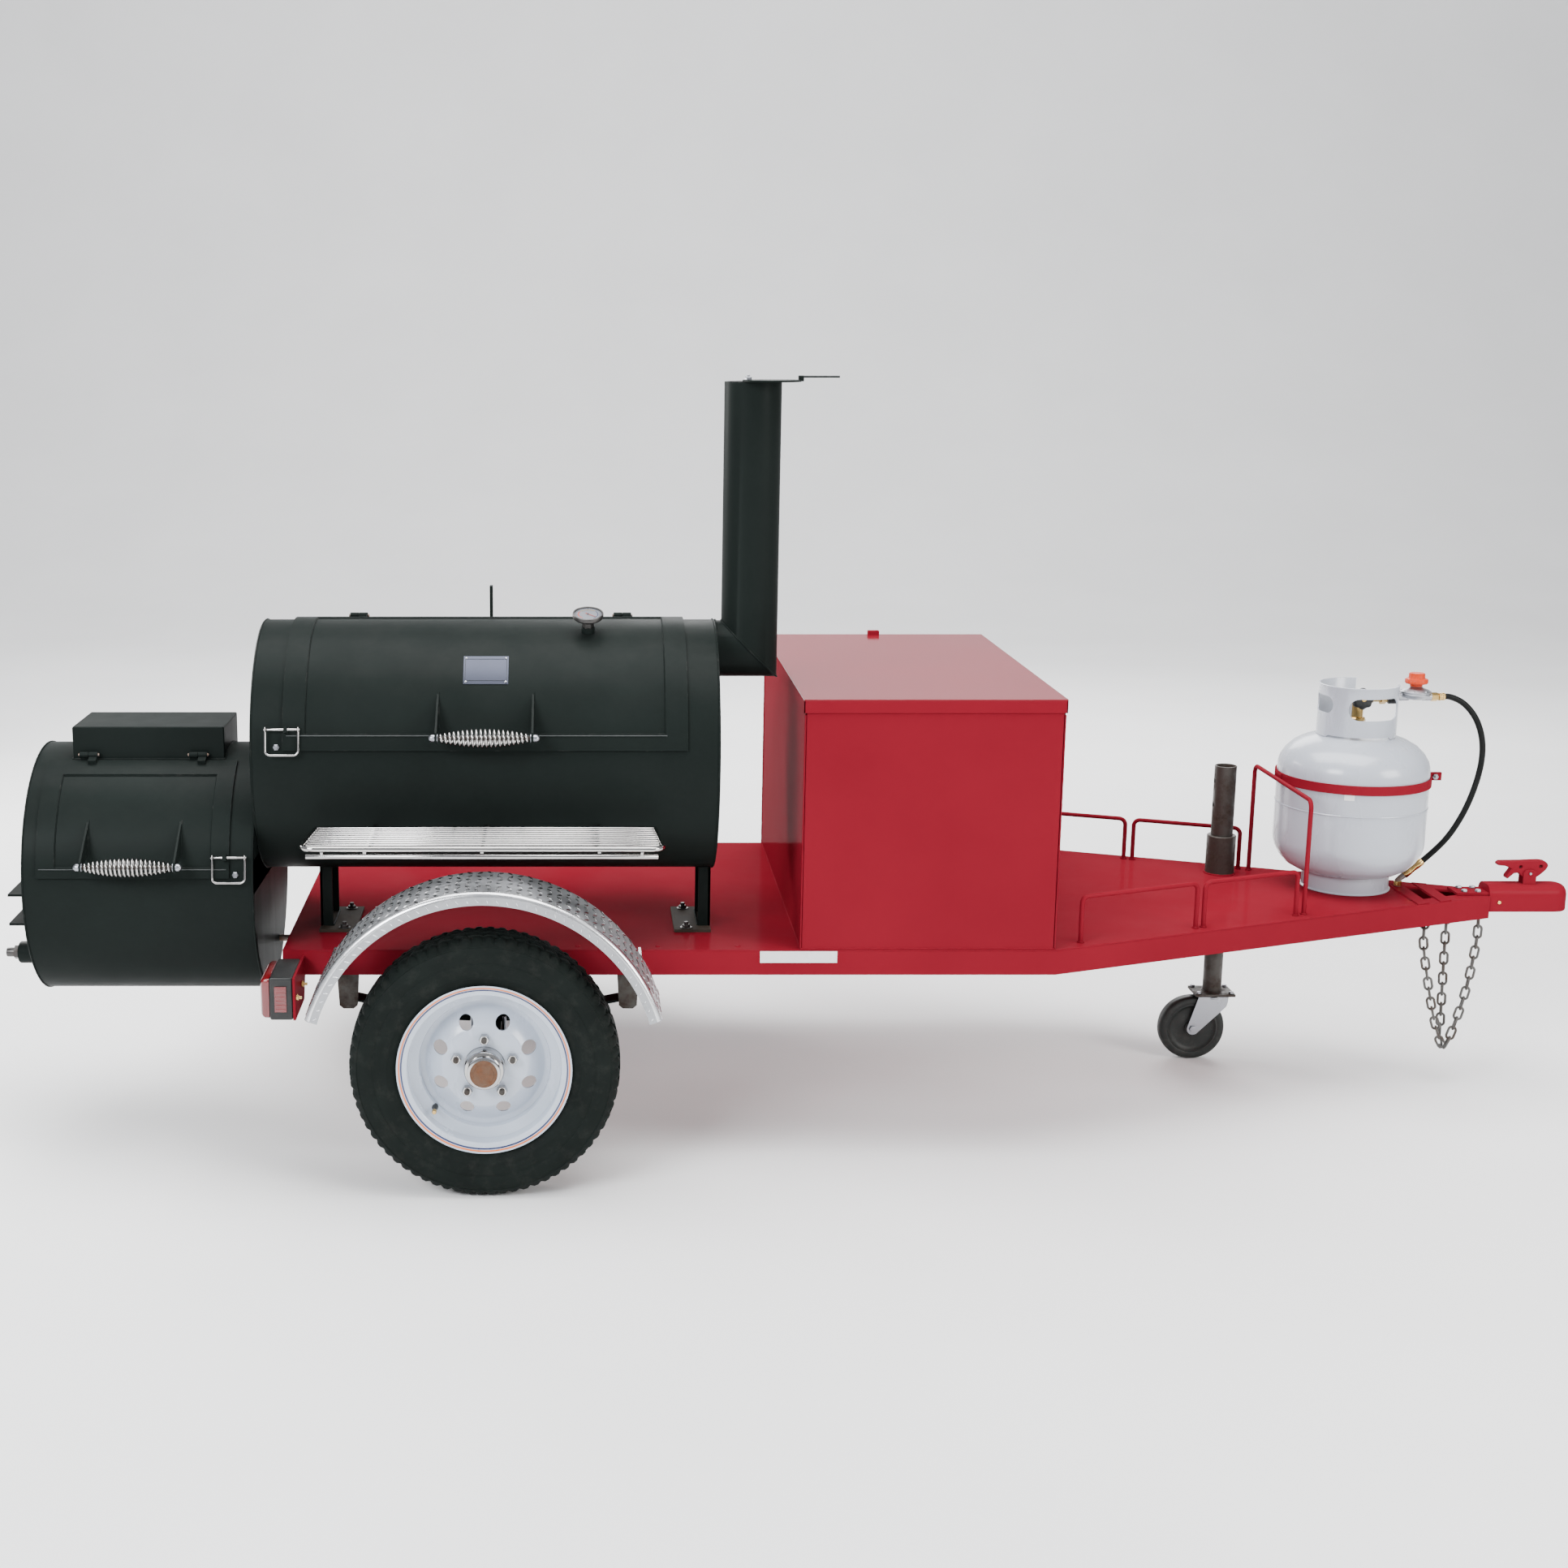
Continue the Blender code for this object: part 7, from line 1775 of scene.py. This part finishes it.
def build_coupler():
    """The ball coupler with its lever and bolts."""
    tip = 2.1753
    nose = tip + 0.179 - 0.032
    def outline(grow):
        points = [(tip, -0.032 + grow)]
        points += [
            (
                nose + (0.032 - grow) * math.cos(math.radians(-90 + 9 * k)),
                (0.032 - grow) * math.sin(math.radians(-90 + 9 * k))
            )
            for k in range(21)
        ]
        return points + [(tip, 0.032 - grow)]
    levels = [
        (0.0020, 0.402), (0.0, 0.404), (0.0, 0.438), (0.0015, 0.446), (0.0050, 0.453), (0.0100, 0.4575),
        (0.0160, 0.460)
    ]
    piece = Piece().add(RED, loft([[(px, py, z) for px, py in outline(g)] for g, z in levels]))
    piece.add(RED, block((tip - 0.070, tip + 0.010), (-0.028, 0.028), (0.4385, 0.4442)))
    pivot = (tip + 0.093, 0.0, 0.484)
    for side in (-1, 1):
        y = sorted((side * 0.0093, side * 0.013))
        ear = [
            (-0.014, 0.457), (0.014, 0.457), (0.014, 0.486), (0.010, 0.491), (0.0, 0.493),
            (-0.010, 0.491), (-0.014, 0.486)
        ]
        piece.add(RED, prism([(pivot[0] + dx, z) for dx, z in ear], "Y", *y))
    piece.add(ZINC, rod("Y", pivot, 0.003, -0.016, 0.016, 20, 0.0006))
    for dx in (-0.050, -0.020):
        for y in (-0.016, 0.016):
            at = (tip + dx, y, 0)
            piece.add(ZINC, nut("Z", at, 0.0070, 0.4442, 0.4495), rod("Z", at, 0.0035, 0.446, 0.4535, 16))
    for dx in (0.022, 0.150):
        piece.add(BRASS, rod("Y", (tip + dx, 0, 0.424), 0.0042, -0.0345, 0.0345, 20, 0.001))
    body = piece.make("coupler_body", "trailer", ["coupler"], "gloss_red", bevel=0.0008, sharp=40)
    ball_x, ball_z = tip + 0.179 - 0.051, 0.402 + 0.6 * 0.0254
    bowl = [(0.0, 0.022)]
    bowl += [
        (
            0.0264 * math.cos(math.radians(90 * (1 - k / 12))),
            0.022 - 0.0254 + 0.0254 * math.sin(math.radians(90 * (1 - k / 12)))
        )
        for k in range(1, 13)
    ]
    bowl += [(0.0264, -0.030), (0.0, -0.030)]
    cut_by(body, revolve(bowl, "Z", (ball_x, 0, ball_z), 48))
    shape = [
        (-0.072, 0.022), (-0.066, 0.0265), (-0.020, 0.0270), (0.020, 0.0285), (0.032, 0.0268),
        (0.0385, 0.0215), (0.040, 0.016), (0.036, 0.008)
    ]
    shape += [
        (0.030, 0.002), (0.021, -0.006), (0.012, -0.0115), (0.0, -0.0120), (-0.014, -0.009),
        (-0.024, 0.001), (-0.034, -0.001), (-0.047, -0.013), (-0.0505, -0.0105)
    ]
    shape += [(-0.050, -0.006), (-0.040, 0.010), (-0.054, 0.016), (-0.070, 0.0175)]
    lever = Piece().add(
        RED, prism([(pivot[0] + dx, pivot[2] + dz) for dx, dz in shape], "Y", -0.009, 0.009)
    )
    made = lever.make(
        "coupler_lever_arm", "coupler_lever", ["coupler_lever"], "gloss_red", bevel=0.0018, sharp=35
    )
    cut_by(
        made, rod("Y", (pivot[0] + 0.024, 0, pivot[2] + 0.015), 0.0036, -0.02, 0.02, 20),
        rod("Y", (pivot[0] - 0.020, 0, pivot[2] + 0.014), 0.0036, -0.02, 0.02, 20)
    )


def build_jack():
    """The jack sleeve and leg, with the caster fork and wheel."""
    x, y = 1.641, 0.165
    centre = (x, y, 0.0)
    sleeve = Piece().add(
        JACK,
        revolve(
            [
                (0.0213, 0.375), (0.0236, 0.375), (0.02415, 0.3756), (0.02415, 0.6894), (0.0236, 0.690),
                (0.0213, 0.690)
            ],
            "Z", centre, 48
        )
    )
    made = sleeve.make("jack_tube", "trailer", ["jack_sleeve"], "raw_steel", sharp=35)
    cut_by(
        made, rod("X", (x, y, 0.655), 0.0058, -0.05, 0.05, 24),
        rod("X", (x, y, 0.600), 0.0058, -0.05, 0.05, 24)
    )
    leg = Piece().add(
        JACK,
        revolve([(0.0170, 0.160), (0.0209, 0.160), (0.0209, 0.655), (0.0170, 0.655)], "Z", centre, 48)
    )
    leg.add(JACK, block((x - 0.045, x + 0.045), (y - 0.036, y + 0.036), (0.156, 0.162)))
    ring = [
        (x + 0.0218 * math.cos(t), y + 0.0218 * math.sin(t), 0.1624)
        for t in (math.radians(12 * k) for k in range(30))
    ]
    leg.add(JACK, weld_bead(ring, 0.0016, closed=True))
    for dx in (-0.037, 0.037):
        for dy in (-0.027, 0.027):
            at = (x + dx, y + dy, 0)
            leg.add(ZINC, nut("Z", at, 0.0060, 0.162, 0.1668))
    leg.make("jack_leg_tube", "jack_leg", ["jack_leg"], "raw_steel", bevel=0.0008, sharp=35)
    fork_top, fork_low = 0.1557, 0.1507
    fork = Piece().add(
        ZINC, block((x - 0.034, x + 0.034), (y - 0.0215, y + 0.0215), (fork_low, fork_top))
    )
    race = [(0.0, 0.1440), (0.020, 0.1440), (0.0235, 0.1465), (0.0235, 0.1500), (0.022, 0.1512), (0.0, 0.1512)]
    fork.add(ZINC, revolve(race, "Z", centre, 48))
    wheel_x = x - 0.044
    cheek = [
        (x - 0.034, fork_low + 0.002), (x + 0.034, fork_low + 0.002), (x + 0.033, fork_low - 0.010),
        (x + 0.030, fork_low - 0.022), (x + 0.010, fork_low - 0.042)
    ]
    cheek += [
        (
            wheel_x + 0.014 * math.cos(math.radians(-40 - 15 * k)),
            0.075 + 0.014 * math.sin(math.radians(-40 - 15 * k))
        )
        for k in range(12)
    ]
    for side in (-1, 1):
        fork.add(ZINC, prism(cheek, "Y", *sorted((y + side * 0.019, y + side * 0.0215))))
        head = sorted((side * 0.0215, side * 0.0262))
        fork.add(ZINC, nut("Y", (wheel_x, y, 0.075), 0.0088, head[0], head[1]))
    fork.add(ZINC, rod("Y", (wheel_x, y, 0.075), 0.006, -0.0265, 0.0265, 20))
    fork.add(
        ZINC, rod("Z", centre, 0.0055, 0.150, 0.1680, 20),
        rod("Z", centre, 0.0095, 0.1625, 0.1680, 28, 0.001)
    )
    fork.make("caster_fork_frame", "caster_fork", ["caster_fork"], "zinc_plate", bevel=0.0006, sharp=35)
    spot = (wheel_x, y, 0.075)
    half = [
        (0.0064, 0.018), (0.0175, 0.018), (0.0180, 0.0170), (0.0180, 0.0125), (0.0240, 0.0105),
        (0.0440, 0.0105), (0.0500, 0.0120), (0.0540, 0.0160), (0.0560, 0.0160), (0.0580, 0.0152),
        (0.0600, 0.0160), (0.0690, 0.0156), (0.0730, 0.0130), (0.0747, 0.0080), (0.0750, 0.0030)
    ]
    Piece().add(
        CASTER, revolve(half + [(r, -h) for r, h in reversed(half)], "Y", spot, 72)
    ).make("caster_tyre", "caster_wheel", ["caster_wheel"], "caster_rubber", sharp=40)


def capsule(centre, radius, first, last, low, high, steps=10):
    """A cutter through a wall about Z, with round ends to its long sides."""
    mid = (low + high) / 2
    half = (high - low) / 2
    lean = math.degrees(half / radius)
    outline = []
    for k in range(steps + 1):
        t = math.radians(90 + 180 * k / steps)
        outline.append((first + lean + lean * math.cos(t), mid + half * math.sin(t)))
    count = max(2, int((last - first) / 5))
    outline += [(first + lean + (last - first - 2 * lean) * k / count, low) for k in range(1, count)]
    for k in range(steps + 1):
        t = math.radians(-90 + 180 * k / steps)
        outline.append((last - lean + lean * math.cos(t), mid + half * math.sin(t)))
    outline += [(last - lean - (last - first - 2 * lean) * k / count, high) for k in range(1, count)]
    shape = bmesh.new()
    inner = [shape.verts.new(around("Z", centre, radius - 0.012, z, a)) for a, z in outline]
    outer = [shape.verts.new(around("Z", centre, radius + 0.012, z, a)) for a, z in outline]
    for i in range(len(outline)):
        j = (i + 1) % len(outline)
        shape.faces.new((inner[i], inner[j], outer[j], outer[i]))
    shape.faces.new(inner)
    shape.faces.new(outer)
    bmesh.ops.triangulate(shape, faces=[f for f in shape.faces if len(f.verts) > 4])
    bmesh.ops.recalc_face_normals(shape, faces=shape.faces)
    return shape


def build_tank():
    """The gas cylinder with its collar, valve, handwheel, regulator and strap."""
    x, y = 1.885, 0.050
    base = (x, y, DECK_SEAT)
    outer = [
        (0.0, 0.028), (0.045, 0.0292), (0.080, 0.0335), (0.110, 0.042), (0.130, 0.0530), (0.145, 0.0695),
        (0.1545, 0.088), (0.1580, 0.100), (0.159, 0.110)
    ]
    outer += [
        (0.159, 0.1865), (0.1588, 0.1885), (0.1588, 0.1905), (0.159, 0.1925), (0.159, 0.268),
        (0.1580, 0.278), (0.1545, 0.290), (0.145, 0.3055), (0.130, 0.3205), (0.110, 0.332),
        (0.080, 0.3425), (0.050, 0.3485), (0.024, 0.3520)
    ]
    outer += [
        (0.0225, 0.3535), (0.022, 0.3600), (0.0205, 0.362), (0.0133, 0.362), (0.0133, 0.350), (0.0, 0.350)
    ]
    shell = Piece().add(TANK, revolve(outer, "Z", base, 96))
    seam = [around("Z", base, 0.1586, 0.1895, 4 * k) for k in range(90)]
    shell.add(TANK, weld_bead(seam, 0.0018, closed=True))
    foot = [(0.089, 0.0), (0.095, 0.0), (0.0955, 0.0015), (0.092, 0.0040), (0.092, 0.038), (0.089, 0.038)]
    shell.add(TANK, revolve(foot, "Z", base, 72))
    shell.make("cylinder_body", "trailer", ["tank_shell"], "tank_white", sharp=40)
    wall = [
        (0.0805, 0.3425), (0.0830, 0.3425), (0.0830, 0.4515), (0.0846, 0.4530), (0.0846, 0.4545),
        (0.0830, 0.4550), (0.0812, 0.4550), (0.0805, 0.4540)
    ]
    collar = Piece().add(
        TANK, revolve([(min(r, 0.0838), h) for r, h in wall], "Z", base, 90, 75.0, 276.0)
    )
    made = collar.make("cylinder_collar", "trailer", ["tank_collar"], "tank_white", sharp=40)
    cut_by(
        made, capsule(base, 0.082, -123.0, -35.0, 0.385, 0.432),
        capsule(base, 0.082, -205.0, -147.0, 0.395, 0.432),
        capsule(base, 0.082, -158.0, -52.0, 0.330, 0.3475)
    )
    tag = Piece()
    patch = revolve(
        [(0.15905, 0.225), (0.1596, 0.225), (0.1596, 0.241), (0.15905, 0.241)], "Z", base, 8, -115.0, 7.5
    )
    tag.add(MARK, patch)
    tag.make("cylinder_blank_tag", "trailer", slot="tank_white")

    level = (x, y, DECK_SEAT + 0.425)
    stem = [
        (0.0, 0.352), (0.0130, 0.352), (0.0130, 0.3623), (0.017, 0.3623), (0.017, 0.379),
        (0.0155, 0.3808), (0.012, 0.382), (0.012, 0.409), (0.014, 0.411), (0.014, 0.428), (0.012, 0.431),
        (0.0, 0.431)
    ]
    valve = Piece().add(BRASS, revolve(stem, "Z", base, 40))
    valve.add(BRASS, nut("Z", base, 0.0195, 0.366, 0.378))
    port = [
        (0.0, -0.036), (0.0070, -0.036), (0.008, -0.034), (0.008, -0.016), (0.0135, -0.012),
        (0.0135, 0.030), (0.011, 0.032), (0.011, 0.046), (0.0, 0.046)
    ]
    valve.add(BRASS, revolve(port, "X", level, 32))
    valve.add(BRASS, nut("X", level, 0.0160, 0.047, 0.0615))
    valve.add(BRASS, rod("Y", level, 0.005, -0.0172, 0.0, 20))
    valve.make("cylinder_valve", "trailer", ["tank_valve"], "brass", sharp=30)
    steps = 96
    shape = bmesh.new()
    profile = [
        (0.0056, -0.0355), (0.0180, -0.0348), (0.0215, -0.0330), (0.0238, -0.0290), (0.0240, -0.0240),
        (0.0234, -0.0195), (0.0215, -0.0180), (0.0056, -0.0180)
    ]
    rows = []
    for k in range(steps):
        dip = 1 - 0.10 * (0.5 - 0.5 * math.cos(2 * math.pi * 8 * k / steps))
        rows.append(
            [
                shape.verts.new(around("Y", level, r * (dip if r > 0.012 else 1), h, 360.0 * k / steps))
                for r, h in profile
            ]
        )
    for first, second in zip(rows, rows[1:] + rows[:1]):
        for i in range(len(profile)):
            j = (i + 1) % len(profile)
            shape.faces.new((first[i], first[j], second[j], second[i]))
    bmesh.ops.recalc_face_normals(shape, faces=shape.faces)
    grip = Piece().add(PLASTIC, shape)
    grip.add(BRASS, rod("Y", level, 0.0056, -0.0362, -0.030, 20, 0.0006))
    grip.make("cylinder_handwheel", "tank_handwheel", ["tank_handwheel"], "black_plastic", sharp=40)

    spot = (x + 0.124, y, DECK_SEAT + 0.434)
    body = [
        (0.0, -0.014), (0.016, -0.014), (0.020, -0.0132), (0.0285, -0.0075), (0.0308, -0.0045),
        (0.0325, -0.0035), (0.0325, -0.0008), (0.0318, 0.0), (0.0325, 0.0008), (0.0325, 0.0035),
        (0.0308, 0.0045)
    ]
    body += [(0.0275, 0.0070), (0.018, 0.0105), (0.0145, 0.0120), (0.0125, 0.0145), (0.0, 0.0145)]
    reg = Piece().add(CAST, revolve(body, "Z", spot, 64))
    for k in range(8):
        bolt = around("Z", spot, 0.0285, 0.0, 22.5 + 45 * k)
        reg.add(ZINC, nut("Z", bolt, 0.0028, 0.0035, 0.0068))
    inlet = (spot[0], spot[1], level[2])
    reg.add(CAST, rod("X", inlet, 0.0085, -0.0617, -0.015, 32), rod("X", inlet, 0.0085, 0.015, 0.040, 32))
    reg.add(BRASS, nut("X", inlet, 0.0098, 0.034, 0.0497))
    reg.add(PLASTIC, rod("X", inlet, 0.0155, -0.060, -0.040, 40, 0.002))
    reg.make("regulator_body", "trailer", ["regulator"], "cast_grey", sharp=35)
    shape = bmesh.new()
    profile = [
        (0.0, 0.0148), (0.013, 0.0148), (0.0132, 0.0188), (0.0225, 0.0208), (0.0240, 0.0225),
        (0.0240, 0.0296), (0.0230, 0.0310), (0.0176, 0.0328), (0.0170, 0.0345), (0.0165, 0.0428),
        (0.0150, 0.0440), (0.0, 0.0440)
    ]
    rows = []
    for k in range(96):
        dip = 1 - 0.05 * (0.5 - 0.5 * math.cos(2 * math.pi * 16 * k / 96))
        rows.append(
            [
                shape.verts.new(around("Z", spot, r * (dip if r > 0.0139 else 1), h, 3.75 * k))
                for r, h in profile
            ]
        )
    for first, second in zip(rows, rows[1:] + rows[:1]):
        for i in range(len(profile) - 1):
            shape.faces.new((first[i], first[i + 1], second[i + 1], second[i]))
    bmesh.ops.remove_doubles(shape, verts=shape.verts, dist=2e-6)
    bmesh.ops.recalc_face_normals(shape, faces=shape.faces)
    Piece().add(ORANGE, shape).make(
        "regulator_dial", "regulator_knob", ["regulator_knob"], "orange_plastic", sharp=35
    )

    strap_z = (DECK_SEAT + 0.238, DECK_SEAT + 0.258)
    strap = Piece()
    band = [(0.1596, strap_z[0]), (0.1631, strap_z[0]), (0.1631, strap_z[1]), (0.1596, strap_z[1])]
    strap.add(RED, revolve(band, "Z", (x, y, 0), 96))
    for dy in (-0.0035, 0.0035):
        strap.add(
            RED,
            block(
                (x + 0.161, x + 0.195), sorted((y + dy, y + dy * 0.3)),
                (strap_z[0] + 0.001, strap_z[1] - 0.001)
            )
        )
    strap.add(ZINC, rod("Y", (x + 0.180, y, (strap_z[0] + strap_z[1]) / 2), 0.0035, -0.015, 0.012, 20))
    strap.add(
        ZINC, nut("Y", (x + 0.180, y, (strap_z[0] + strap_z[1]) / 2), 0.0065, -0.0088, -0.0036),
        nut("Y", (x + 0.180, y, (strap_z[0] + strap_z[1]) / 2), 0.0065, 0.0036, 0.0088)
    )
    strap.add(
        RED, block((1.7201, x - 0.1600), (y - 0.02, y + 0.02), (strap_z[0] + 0.001, strap_z[1] - 0.001))
    )
    strap.make("cylinder_strap", "trailer", ["tank_strap"], "gloss_red", bevel=0.0006, sharp=35)


def build_pipe():
    """The gas pipe under the deck, from the hose to the firebox."""
    path = [
        hose_tip, Vector((2.004, 0.050, 0.454)), Vector((2.004, 0.050, 0.378)),
        Vector((1.200, 0.050, 0.378)), Vector((0.900, -0.150, 0.378)), Vector((-0.870, -0.150, 0.378))
    ]
    run = [
        path[0], path[1],
        *rounded([path[1] - Vector((0, 0, 0.004)), path[2], path[3], path[4], path[5]], 0.020, 8)[1:]
    ]
    piece = Piece().add(STEEL, tube(run, 0.0070, 20))
    piece.add(BRASS, rod("Z", (2.004, 0.050, 0), 0.0085, 0.4412, 0.4520, 24))
    for x in (0.2, 0.75, -0.15):
        piece.add(ZINC, rod("X", (x, -0.150, 0.378), 0.0082, -0.010, 0.010, 24))
    piece.make("gas_pipe_run", "trailer", ["gas_pipe"], "raw_steel", sharp=40)


build_chamber()
build_firebox()
build_legs()
build_shelf()
build_stack()
build_frame()
build_deck()
build_guards()
build_axle()
build_springs()
for wheel_name, wheel_side in (("near", -1), ("far", 1)):
    wheel(wheel_name, wheel_side)
build_fenders()
build_lamps()
build_storage()
build_coupler()
build_jack()
build_tank()
build_pipe()

bpy.context.view_layer.update()
